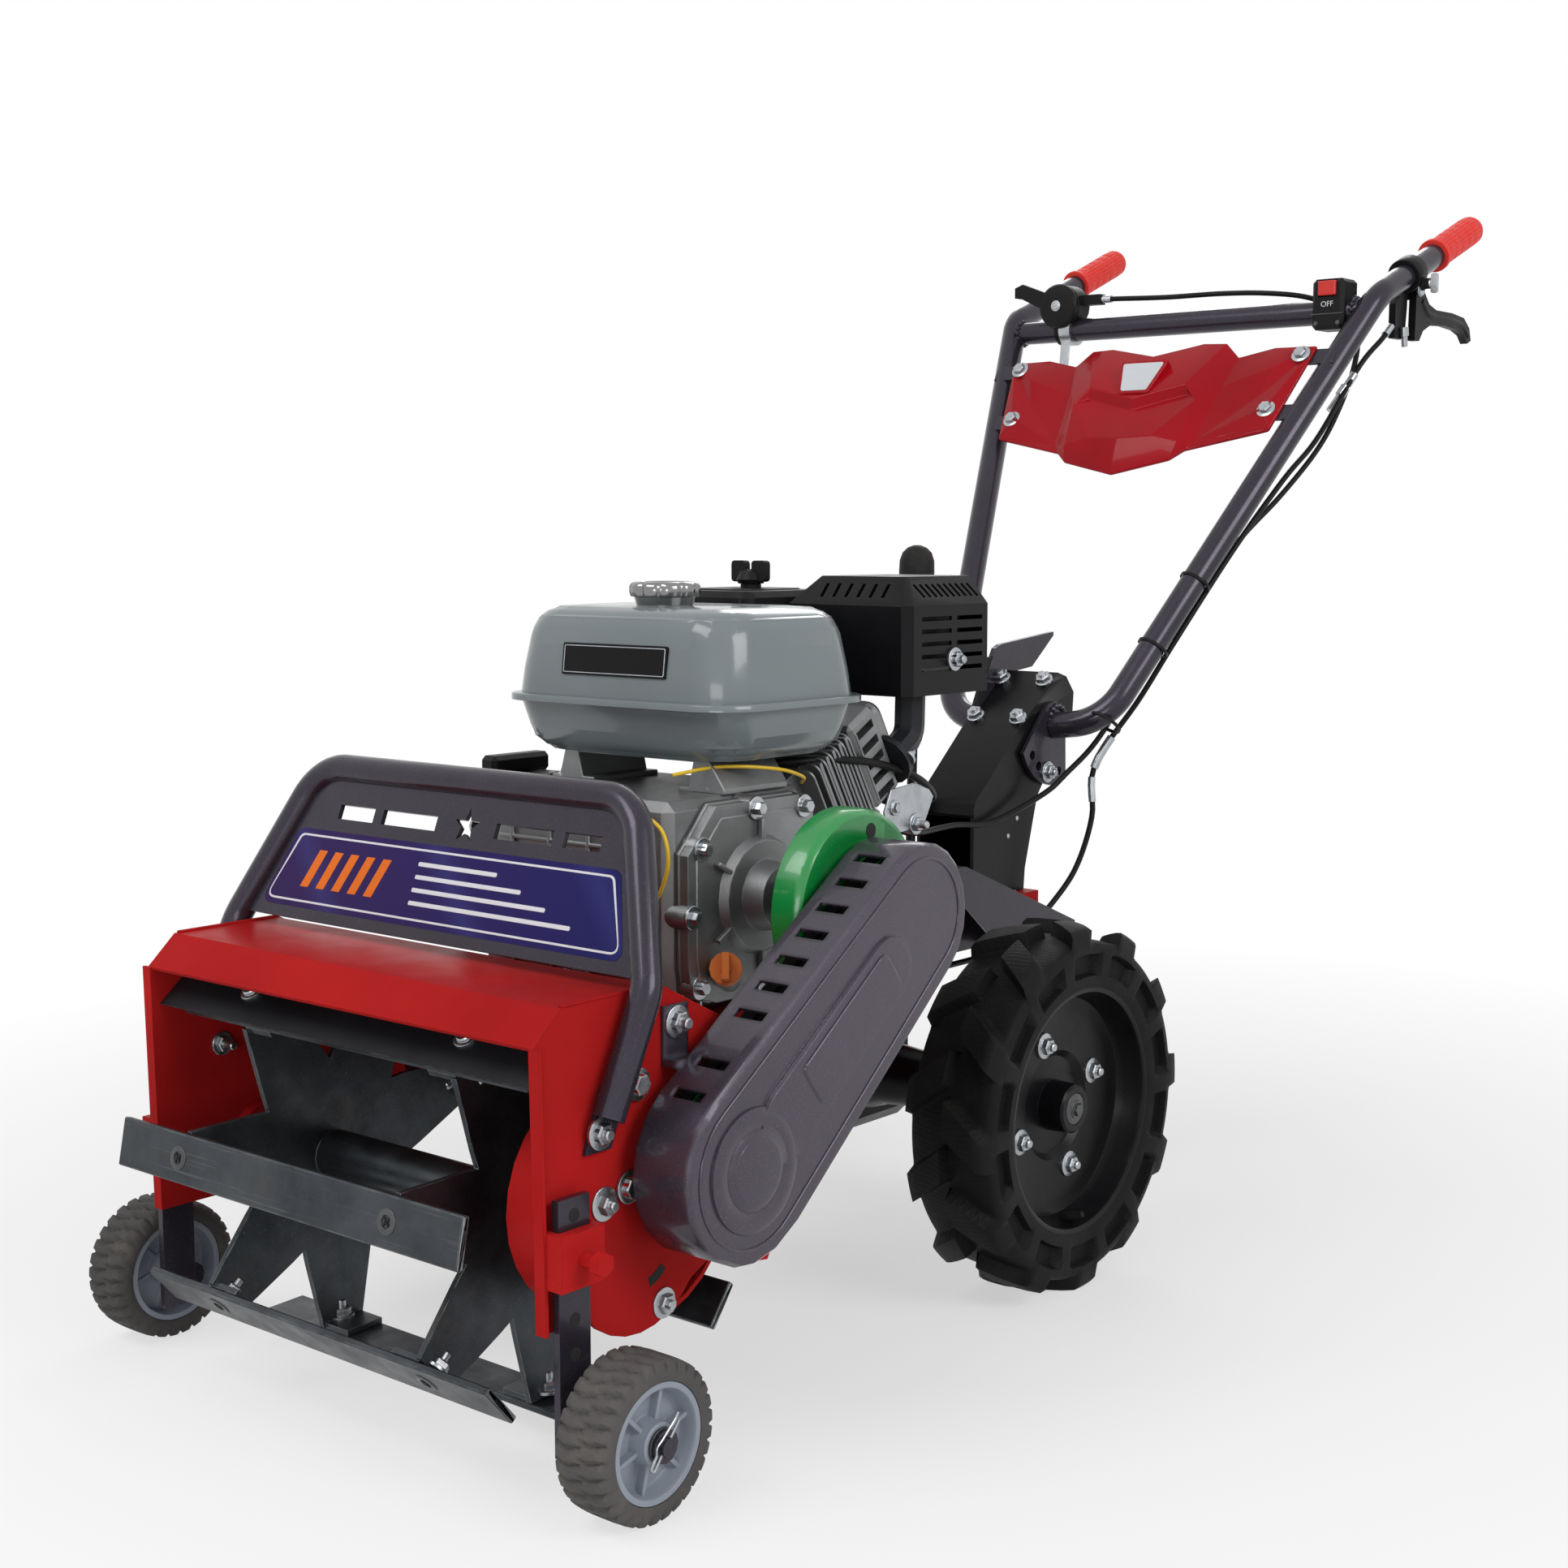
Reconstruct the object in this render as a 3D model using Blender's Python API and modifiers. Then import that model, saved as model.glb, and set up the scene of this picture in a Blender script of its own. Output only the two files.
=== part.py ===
"""Mini tiller with a front rotor, a single-cylinder engine and two driven wheels.

Metres, +Z up. The machine works towards -Y and the operator walks behind it, at +Y.
Its left-hand side, with the belt cover, is at +X. Measurements are taken from the line
between the front wheel axles, and one empty moves the whole machine so that its origin
lies on the ground under the middle of its outline.
"""

import math

import bmesh
import bpy
from mathutils import Vector

# Fits
GAP = 0.0003            # between two pieces that touch
RUNNING = 0.003         # between two pieces that pass each other
LOOP_GAP = 0.001        # between a belt or chain, drawn in short straight runs, and its wheel

# Where the origin lies on the machine, under the middle of its outline
ORIGIN_X = 0.0185
ORIGIN_Y = 0.7082

# Rotor and its blade bars
ROTOR_X = 0.0265        # middle of the rotor and of its housing
ROTOR_Y = 0.062
ROTOR_Z = 0.170
BLADE_COUNT = 7
BLADE_FIRST = 169.0     # degrees, measured from the rear, turning upwards
BLADE_RADIUS = 0.145    # inner face of a blade bar
BLADE_THICK = 0.006
BLADE_WIDTH = 0.038
BLADE_END_GAP = 0.021   # between the end of a blade bar and a side plate
BLADE_BOLT_SPAN = 0.245
STAR_THICK = 0.005
STAR_NOTCH = 0.080      # radius of the bottom of the notches
STAR_TIP = 0.040        # width of an arm at its tip
FOOT_LENGTH = 0.030
SHAFT_RADIUS = 0.020
SHAFT_END_RADIUS = 0.0125

# Rotor housing
HOUSING_HALF = 0.2235   # to the outer face of a side plate
SHEET = 0.004
FLANGE = 0.010
HOOD_TOP = 0.352
HOOD_LIP = 0.328
HOUSING_FRONT = -0.040
HOUSING_REAR = 0.2235
LOBE_RADIUS = 0.070
PLATE_LOW = 0.126

# Chain case and countershaft
CASE_RADIUS = 0.088
CASE_Y = 0.080
CASE_Z = 0.190
CASE_DEPTH = 0.060
COUNTER_Y = 0.110
COUNTER_Z = 0.223
COUNTER_RADIUS = 0.010
CHAIN_THICK = 0.006
CHAIN_WIDTH = 0.010
ROTOR_SPROCKET = 0.042
COUNTER_SPROCKET = 0.020

# Engine
CRANK_Y = 0.314
CRANK_Z = 0.379
ENGINE_BASE = 0.2853
ENGINE_LEFT = 0.135
SIDE_COVER_X = 0.148
CYLINDER_X = 0.065
CYLINDER_START = 0.127  # from the crankshaft to the first fin
HEAD_START = 0.190
CYLINDER_END = 0.230
ENGINE_RIGHT = -0.085
CRANKCASE_FRONT = 0.2190
CRANKCASE_REAR = 0.392
CRANKCASE_TOP = 0.462
CYLINDER_LEAN = 29.8    # degrees above the horizontal
TANK_X = 0.030
TANK_Y = 0.355
TANK_FLANGE_Z = 0.535
TANK_LENGTH = 0.275
TANK_DEPTH = 0.202
TANK_UP = 0.078
TANK_DOWN = 0.046
FILLER_Y = 0.330        # middle of the fuel filler
DRUM_RADIUS = 0.079
CRANK_RADIUS = 0.0125
KNOB_PLACE = (-0.045, 0.530, 0.622)

# Belt drive
BELT_START = 0.027      # from the left side plate to the middle of the inner belt
BELT_PITCH = 0.017      # between the two belts
BELT_WIDTH = 0.012
BELT_THICK = 0.008
DRIVE_PULLEY = 0.045
DRIVEN_PULLEY = 0.058
DRUM_REACH = 0.048      # from the inner belt to the open end of the drum
COVER_STAND = 0.0125    # from the left side plate to the cover
COVER_DEPTH = 0.0555
COVER_LOW_RADIUS = 0.070
COVER_HIGH_RADIUS = 0.058
COVER_WALL = 0.003
COVER_SLOTS = (0.005, 0.036, 0.086, 0.115, 0.143, 0.172, 0.201, 0.230, 0.258)
TENSION_Y = 0.185
TENSION_Z = 0.262
TENSION_STUD = 0.008

# Rear wheels
AXLE_Y = 0.585
TYRE_RADIUS = 0.165
TYRE_WIDTH = 0.085
TRACK_HALF = 0.2575
LUG_HEIGHT = 0.013
LUG_COUNT = 12
RIM_RADIUS = 0.110
AXLE_RADIUS = 0.014

# Front wheels
CASTER_RADIUS = 0.058
CASTER_WIDTH = 0.0475
CASTER_OFFSET = 0.05425 # from a side plate to the middle of its front wheel
CASTER_HUB = 0.043
CASTER_PIN = 0.007
STRUT_Y = -0.015
STRUT_WIDTH = 0.030
STRUT_THICK = 0.006
STRUT_TOP = 0.222
SOCKET_LOW = 0.160
SOCKET_HIGH = 0.200

# Frame behind the housing
BED_TOP = 0.285
BED_THICK = 0.008
BED_REAR = 0.500
RAIL_SIZE = 0.034
BEAM_HALF = 0.050
BEAM_TOP = 0.300
BEAM_LOW = 0.255
BEAM_REAR = 0.886
GEARBOX_HALF = 0.052
GEARBOX_FRONT = 0.515
GEARBOX_REAR = 0.665
GEARBOX_LOW = 0.105
LEVER_Y = 0.765
LEVER_Z = 0.3200
SHIFT_X = -0.030

# Column and handlebar
COLUMN_HALF = 0.036
COLUMN_SHEET = 0.004
COLUMN_FRONT = 0.7855
COLUMN_REAR = 0.879
CREASE_LOW = (0.8715, 0.475)    # y, z on the sloping top of the column
CREASE_HIGH = (0.940, 0.5275)
PIVOT_Y = 0.925
PIVOT_Z = 0.472
PIVOT_PIN = 0.008
BRACKET_THICK = 0.005
BAR_RADIUS = 0.0135
CROSSBAR_RADIUS = 0.013
BEND_Y = 0.930
BEND_Z = 0.478
BEND_HALF = 0.100
CROSSBAR_Y = 1.250
CROSSBAR_Z = 0.920
CROSSBAR_HALF = 0.2335
GRIP_RADIUS = 0.0165
GRIP_LENGTH = 0.104
TUBE_BEND = (CROSSBAR_HALF + 0.0050, 1.262, 0.9366)
GRIP_END = (CROSSBAR_HALF + 0.0085, 1.4915, 1.028)

# Pieces on the handlebar
DASH_REACH = 0.1495     # from the crossbar down the tubes to the lower dashboard bolts
DASH_SHEET = 0.003
CABLE_RADIUS = 0.003
LEVER_FACE = CROSSBAR_HALF + 0.0025     # between the lever housing and the lever
CLUTCH_X = LEVER_FACE + 0.004
CLUTCH_Y = 1.3575
CLUTCH_Z = 0.9490
SWITCH_OUT = 0.021      # from the switch to the end of the crossbar
SWITCH_WIDTH = 0.038
THROTTLE_X = -0.157
THROTTLE_Y = 1.247
THROTTLE_Z = 0.948

ALONG_X = (0.0, math.pi / 2, 0.0)
AGAINST_X = (0.0, -math.pi / 2, 0.0)
FACING_X = (math.pi / 2, 0.0, math.pi / 2)
FACING_Y = (math.pi / 2, 0.0, 0.0)

HOUSING_LEFT = ROTOR_X + HOUSING_HALF
HOUSING_RIGHT = ROTOR_X - HOUSING_HALF
CHAIN_X = HOUSING_LEFT - SHEET - 0.022
BLADE_LENGTH = 2 * (HOUSING_HALF - SHEET - BLADE_END_GAP)
BELT_X = (HOUSING_LEFT + BELT_START, HOUSING_LEFT + BELT_START + BELT_PITCH)
COVER_BASE_X = HOUSING_LEFT + COVER_STAND
COVER_FACE_X = COVER_BASE_X + COVER_DEPTH
CASTER_HALF = HOUSING_HALF + CASTER_OFFSET
FILLER_TOP = TANK_FLANGE_Z + TANK_UP
BELT_LINE = Vector((0.0, CRANK_Y - COUNTER_Y, CRANK_Z - COUNTER_Z))
COLUMN_SLOPE = math.atan2(CREASE_HIGH[1] - CREASE_LOW[1], CREASE_HIGH[0] - CREASE_LOW[0])
TUBE_SLOPE = math.atan2(CROSSBAR_Z - BEND_Z, CROSSBAR_Y - BEND_Y)
TUBE_LENGTH = math.hypot(CROSSBAR_Z - BEND_Z, CROSSBAR_Y - BEND_Y)
CYLINDER_TURN = (math.pi / 2 - math.radians(CYLINDER_LEAN), 0.0, math.pi)
FILLER_OUT = Vector((0.60, -0.70, 0.40)).normalized()
FILLER_TURN = FILLER_OUT.to_track_quat("Z", "Y").to_euler()
FILLER_FOOT = Vector((0.140, 0.283, 0.311))
FILLER_LENGTH = 0.034


def collection(name):
    found = bpy.data.collections.new(name)
    bpy.context.scene.collection.children.link(found)
    return found


def material(name, colour, roughness, metallic=0.0):
    made = bpy.data.materials.new(name)
    made.use_nodes = True
    shader = made.node_tree.nodes["Principled BSDF"]
    shader.inputs["Base Color"].default_value = (*colour, 1.0)
    shader.inputs["Roughness"].default_value = roughness
    shader.inputs["Metallic"].default_value = metallic
    return made


def new_object(name, data, at=(0, 0, 0), turn=(0, 0, 0)):
    obj = bpy.data.objects.new(name, data)
    PARTS.objects.link(obj)
    obj.location = at
    obj.rotation_euler = turn
    return obj


def mesh_object(name, shape, at=(0, 0, 0), turn=(0, 0, 0)):
    bmesh.ops.recalc_face_normals(shape, faces=shape.faces[:])
    data = bpy.data.meshes.new(name)
    shape.to_mesh(data)
    shape.free()
    return new_object(name, data, at, turn)


def box(name, low, high, bevel=0.0, segments=1):
    """A box between two corners, with rounded edges where bevel is given."""
    low, high = Vector(low), Vector(high)
    shape = bmesh.new()
    bmesh.ops.create_cube(shape, size=1.0)
    bmesh.ops.scale(shape, vec=high - low, verts=shape.verts[:])
    obj = mesh_object(name, shape, (low + high) / 2)
    if bevel:
        rounding = obj.modifiers.new("rounded edges", "BEVEL")
        rounding.width = bevel
        rounding.segments = segments
    return obj


def turned_ring(name, section, at=(0, 0, 0), turn=ALONG_X, steps=20, closed=True):
    """A section turned round its axis, listed as (distance along the axis, radius)."""
    points = [(radius, 0.0, along) for along, radius in reversed(section)]
    last = len(points) if closed else len(points) - 1
    data = bpy.data.meshes.new(name)
    data.from_pydata(points, [(i, (i + 1) % len(points)) for i in range(last)], [])
    obj = new_object(name, data, at, turn)
    spin = obj.modifiers.new("turned", "SCREW")
    spin.steps = spin.render_steps = steps
    spin.use_merge_vertices = True
    spin.merge_threshold = 0.00001
    spin.use_smooth_shade = True
    return obj


def turned(name, profile, at=(0, 0, 0), turn=ALONG_X, bore=0.0, steps=20):
    """A turned piece with the profile outside, bored right through where a bore is given."""
    section = [(profile[0][0], bore), *profile, (profile[-1][0], bore)]
    return turned_ring(name, section, at, turn, steps, closed=bore > 0.0)


def rod(name, start, length, radius, turn=ALONG_X, steps=14):
    return turned(name, [(0.0, radius), (length, radius)], start, turn, steps=steps)


def bore(name, start, length, radius, turn=ALONG_X, steps=16):
    """A cutter round a shaft of the radius, whose flats too keep clear of the shaft."""
    return rod(name, start, length, (radius + GAP) / math.cos(math.pi / steps), turn, steps)


def as_mesh(curve_object):
    """Replace a curve object by its welded mesh in the same place."""
    bpy.context.view_layer.update()
    graph = bpy.context.evaluated_depsgraph_get()
    data = bpy.data.meshes.new_from_object(curve_object.evaluated_get(graph))
    shape = bmesh.new()
    shape.from_mesh(data)
    bmesh.ops.remove_doubles(shape, verts=shape.verts[:], dist=0.00001)
    shape.to_mesh(data)
    shape.free()
    name = curve_object.name
    matrix = curve_object.matrix_world.copy()
    old = curve_object.data
    bpy.data.objects.remove(curve_object)
    bpy.data.curves.remove(old)
    obj = new_object(name, data)
    obj.name = name
    obj.matrix_world = matrix
    return obj


def plate(name, outlines, low, high, facing=FACING_X):
    """A flat plate cut to the outlines, the first the edge and the rest its holes.

    FACING_X takes (y, z) points and low and high along X. FACING_Y takes (x, z) points
    and low and high along Y. No turn takes (x, y) points and low and high along Z.
    """
    curve = bpy.data.curves.new(name, "CURVE")
    curve.dimensions = "2D"
    curve.fill_mode = "BOTH"
    curve.extrude = (high - low) / 2
    for outline in outlines:
        spline = curve.splines.new("POLY")
        spline.points.add(len(outline) - 1)
        for point, (a, b) in zip(spline.points, outline):
            point.co = (a, b, 0.0, 1.0)
        spline.use_cyclic_u = True
    middle = (low + high) / 2
    place = {FACING_X: (middle, 0, 0), FACING_Y: (0, middle, 0)}.get(facing, (0, 0, middle))
    return as_mesh(new_object(name, curve, place, facing))


def tube(name, points, radius, resolution=2):
    """A round bar along a list of points, as a mesh that can be joined and cut."""
    curve = bpy.data.curves.new(name, "CURVE")
    curve.dimensions = "3D"
    curve.bevel_depth = radius
    curve.bevel_resolution = resolution
    curve.use_fill_caps = True
    spline = curve.splines.new("POLY")
    spline.points.add(len(points) - 1)
    for point, place in zip(spline.points, points):
        point.co = (*place, 1.0)
    return as_mesh(new_object(name, curve))


def bent(corners, radius, steps=4):
    """A path through the corners with each inner corner rounded to the radius."""
    corners = [Vector(corner) for corner in corners]
    path = [corners[0]]
    for before, corner, after in zip(corners, corners[1:], corners[2:]):
        back, ahead = (before - corner).normalized(), (after - corner).normalized()
        half = back.angle(ahead) / 2
        reach = radius / math.tan(half)
        first, last = corner + back * reach, corner + ahead * reach
        centre = corner + (back + ahead).normalized() * (radius / math.sin(half))
        for step in range(steps + 1):
            mixed = (first - centre).lerp(last - centre, step / steps)
            path.append(centre + mixed.normalized() * radius)
    return path + [corners[-1]]


def smooth_path(corners, count):
    """Points of a smooth curve through the corners, for a cable."""
    corners = [Vector(corner) for corner in corners]
    ends = [2 * corners[0] - corners[1], *corners, 2 * corners[-1] - corners[-2]]
    path = []
    for step in range(count):
        along = step / (count - 1) * (len(corners) - 1)
        index = min(int(along), len(corners) - 2)
        t = along - index
        a, b, c, d = ends[index:index + 4]
        path.append(0.5 * ((2 * b) + (c - a) * t + (2 * a - 5 * b + 4 * c - d) * t * t
                           + (3 * b - a - 3 * c + d) * t ** 3))
    return path


def arc(centre, radius, first, last, steps):
    """Points of an arc, with its angles in degrees."""
    return [(centre[0] + radius * math.cos(math.radians(first + (last - first) * step / steps)),
             centre[1] + radius * math.sin(math.radians(first + (last - first) * step / steps)))
            for step in range(steps + 1)]


def circle(centre, radius, steps=16):
    return arc(centre, radius, 0.0, 360.0, steps)[:-1]


def rectangle(low, high):
    return [(low[0], low[1]), (high[0], low[1]), (high[0], high[1]), (low[0], high[1])]


def loop_round(first, first_radius, second, second_radius, steps=10):
    """The outline of a belt round two circles."""
    away = math.hypot(second[0] - first[0], second[1] - first[1])
    heading = math.degrees(math.atan2(second[1] - first[1], second[0] - first[0]))
    lean = math.degrees(math.acos((first_radius - second_radius) / away))
    return (arc(second, second_radius, heading - lean, heading + lean, steps)
            + arc(first, first_radius, heading + lean, heading + 360.0 - lean, steps))


def boolean(obj, tool, operation):
    change = obj.modifiers.new(tool.name, "BOOLEAN")
    change.operation = operation
    change.solver = "EXACT"
    change.object = tool
    TOOLS.setdefault(obj.name, []).append(tool)
    PARTS.objects.unlink(tool)
    CUTTERS.objects.link(tool)
    tool.hide_render = True
    tool.display_type = "WIRE"


def cut(obj, *tools):
    for tool in tools:
        boolean(obj, tool, "DIFFERENCE")


def join(obj, *tools):
    for tool in tools:
        boolean(obj, tool, "UNION")


def carry(parent, *objects):
    """Parent objects, with the tools that shape them, to an empty that isn't turned."""
    for obj in objects:
        for item in (obj, *TOOLS.get(obj.name, [])):
            if item.parent is None:
                item.parent = parent
                item.location -= PLACES[parent.name]


def joint_empty(name, place, parent=None):
    empty = bpy.data.objects.new(name, None)
    PARTS.objects.link(empty)
    empty.empty_display_size = 0.05
    PLACES[name] = Vector(place)
    empty.parent = parent
    empty.location = Vector(place) - (PLACES[parent.name] if parent else Vector())
    return empty


def finish(obj, finish_material):
    """Give a piece its material and shade its round faces smooth."""
    bpy.context.view_layer.update()
    if obj.type == "MESH":
        obj.data.materials.clear()
        obj.data.materials.append(finish_material)
        if obj.data.polygons:
            obj.data.shade_smooth()
            obj.data.set_sharp_from_angle(angle=math.radians(35))
    return obj


def hex_bolt(name, at, radius=0.008, height=0.006, turn=ALONG_X):
    """A washer with a hexagon head on it, standing on a face along the turned Z axis."""
    profile = [(-0.002, radius * 1.25), (0.0015, radius * 1.25), (0.0015, radius), (height, radius)]
    return turned(name, profile, at, turn, steps=6)


def clear_scene():
    for obj in list(bpy.data.objects):
        bpy.data.objects.remove(obj)


def front_housing():
    """Two folded side plates under a hood, with sockets for the wheel struts."""
    lobe = arc((ROTOR_Y, ROTOR_Z), LOBE_RADIUS, 219.0, 322.0, 8)
    top = [(HOUSING_REAR, 0.262), (0.150, 0.318), (0.085, HOOD_TOP), (-0.014, HOOD_TOP),
           (HOUSING_FRONT, HOOD_LIP), (HOUSING_FRONT + 0.004, PLATE_LOW)]
    left_edge = [*lobe, (0.158, 0.146), (0.178, 0.122), (0.205, 0.118), (HOUSING_REAR, 0.150), *top]
    right_edge = [(HOUSING_REAR, PLATE_LOW), *top]
    left = HOUSING_LEFT - SHEET
    right = HOUSING_RIGHT + SHEET
    body = plate("front_housing", [left_edge], left, HOUSING_LEFT)
    join(body, plate("housing right side", [right_edge], HOUSING_RIGHT, right))
    hood = [(HOUSING_FRONT, HOOD_LIP), (-0.014, HOOD_TOP), (0.085, HOOD_TOP), (0.150, 0.318),
            (HOUSING_REAR, 0.262), (HOUSING_REAR, 0.215)]
    under = HOOD_TOP - 0.003
    inner = [(HOUSING_REAR - 0.003, 0.215), (HOUSING_REAR - 0.003, 0.2605), (0.1485, 0.315),
             (0.0843, under), (-0.0128, under), (HOUSING_FRONT + 0.002, HOOD_LIP - 0.0025)]
    join(body, plate("hood sheet", [hood + inner], right - 0.001, left + 0.001))
    for outer, inward in ((HOUSING_LEFT, left), (HOUSING_RIGHT, right)):
        low, high = sorted((inward, outer + math.copysign(FLANGE - SHEET, outer)))
        front = [(HOUSING_FRONT - 0.001, HOOD_LIP), (HOUSING_FRONT + 0.003, PLATE_LOW),
                 (HOUSING_FRONT + 0.006, PLATE_LOW), (HOUSING_FRONT + 0.002, HOOD_LIP)]
        join(body, plate("front flange", [front], low, high))
        away = math.copysign(1.0, outer)
        near, far = sorted((outer - away * 0.001, outer + away * 0.021))
        half = STRUT_WIDTH / 2 + 0.006
        join(body, box("strut socket", (near, STRUT_Y - half, SOCKET_LOW),
                       (far, STRUT_Y + half, SOCKET_HIGH)))
        near, far = sorted((strut_face(away, -1) - away * GAP, strut_face(away, 1) + away * GAP))
        slot = STRUT_WIDTH / 2 + GAP
        cut(body, box("strut slot", (near, STRUT_Y - slot, SOCKET_LOW - 0.01),
                      (far, STRUT_Y + slot, SOCKET_HIGH + 0.01)))
        start = outer + away * 0.020
        turn = ALONG_X if away > 0 else AGAINST_X
        screw = [(0.0, 0.0055), (0.014, 0.0055), (0.014, 0.009), (0.022, 0.009)]
        join(body, turned("clamp screw", screw, (start, STRUT_Y, 0.180), turn, steps=6))
        for y, z in ((0.060, 0.285), (0.050, 0.212)):
            join(body, hex_bolt("side bolt", (outer + away * 0.0015, y, z), turn=turn))
    join(body, rod("tension stud", (left + 0.001, TENSION_Y, TENSION_Z), COVER_BASE_X - left + 0.006,
                   TENSION_STUD, steps=12))
    cut(body,
        bore("countershaft hole", (left - 0.01, COUNTER_Y, COUNTER_Z), 0.03, COUNTER_RADIUS),
        bore("left bearing bore", (left - 0.01, ROTOR_Y, ROTOR_Z), 0.012, SHAFT_END_RADIUS))
    boss = turned("right bearing boss", [(0.0, 0.028), (0.012, 0.028)],
                  (right - 0.001, ROTOR_Y, ROTOR_Z))
    join(body, boss)
    cut(body, bore("right bearing bore", (right - 0.002, ROTOR_Y, ROTOR_Z), 0.03,
                   SHAFT_END_RADIUS))
    return finish(body, RED)


def strut_face(away, side):
    """X of the inner (-1) or outer (1) face of a strut, on the left (1) or right (-1)."""
    plate_face = ROTOR_X + away * HOUSING_HALF
    return plate_face + away * (0.009 + side * STRUT_THICK / 2)


def scraper_plate():
    low = HOUSING_RIGHT + SHEET + GAP
    high = HOUSING_LEFT - SHEET - GAP
    top = HOOD_TOP - 0.003 - GAP
    outline = [(-0.033, 0.297), (-0.030, 0.2955), (0.012, 0.3315), (0.012, top),
               (0.009, top), (0.009, 0.333)]
    shelf = plate("scraper_plate", [outline], low, high)
    for x in (-0.10, 0.15):
        join(shelf, turned("scraper bolt", [(-0.002, 0.007), (0.004, 0.007)],
                           (x, -0.010, 0.3170), (math.radians(40.6), 0, 0), steps=8))
    return finish(shelf, BLACK_STEEL)


def front_guard():
    """A bent tube over the hood with a plate welded in it."""
    low = Vector((HOUSING_HALF + 0.0135, 0.058, HOOD_TOP + 0.003))
    top = Vector((HOUSING_HALF - 0.0425, 0.108, HOOD_TOP + 0.1295))
    corners = []
    for away in (1, -1):
        leg = [(ROTOR_X + away * low.x, 0.018, 0.270), (ROTOR_X + away * low.x, low.y, low.z),
               (ROTOR_X + away * top.x, top.y, top.z)]
        corners += leg if away > 0 else leg[::-1]
    guard = tube("front_guard", bent(corners, 0.045), 0.011)
    for away in (1, -1):
        face = ROTOR_X + away * (HOUSING_HALF + GAP)
        near, far = sorted((face, face + away * 0.004))
        foot = [(0.005, 0.245), (0.030, 0.245), (0.045, 0.280), (0.022, 0.290)]
        join(guard, plate("guard foot", [foot], near, far))
        turn = ALONG_X if away > 0 else AGAINST_X
        join(guard, hex_bolt("guard bolt", (face + away * 0.005, 0.0175, 0.259), turn=turn))
    stand = (math.pi / 2 - math.atan2(top.y - low.y, top.z - low.z), 0, 0)
    wide, narrow = low.x - 0.011, top.x - 0.003
    edge = [(-wide, -0.130), (wide, -0.130), (narrow, 0.002), (-narrow, 0.002)]
    star_middle = (0.012, -0.036)
    star = []
    for tip in range(5):
        star += arc(star_middle, 0.0145, 90 + 72 * tip, 90, 1)[:1]
        star += arc(star_middle, 0.006, 126 + 72 * tip, 126, 1)[:1]
    holes = [star]
    for first, last in ((-0.142, -0.0985), (-0.088, -0.023), (0.045, 0.108), (0.120, 0.159)):
        holes.append(rectangle((first, -0.043), (last, -0.031)))
    for outline, half in [(edge, 0.002)] + [(hole, 0.010) for hole in holes]:
        piece = plate("guard panel", [outline], -half, half, FACING_Y)
        piece.location = (ROTOR_X, top.y, top.z)
        piece.rotation_euler = stand
        (join if outline is edge else cut)(guard, piece)
    return finish(guard, FRAME_PAINT)


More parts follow.
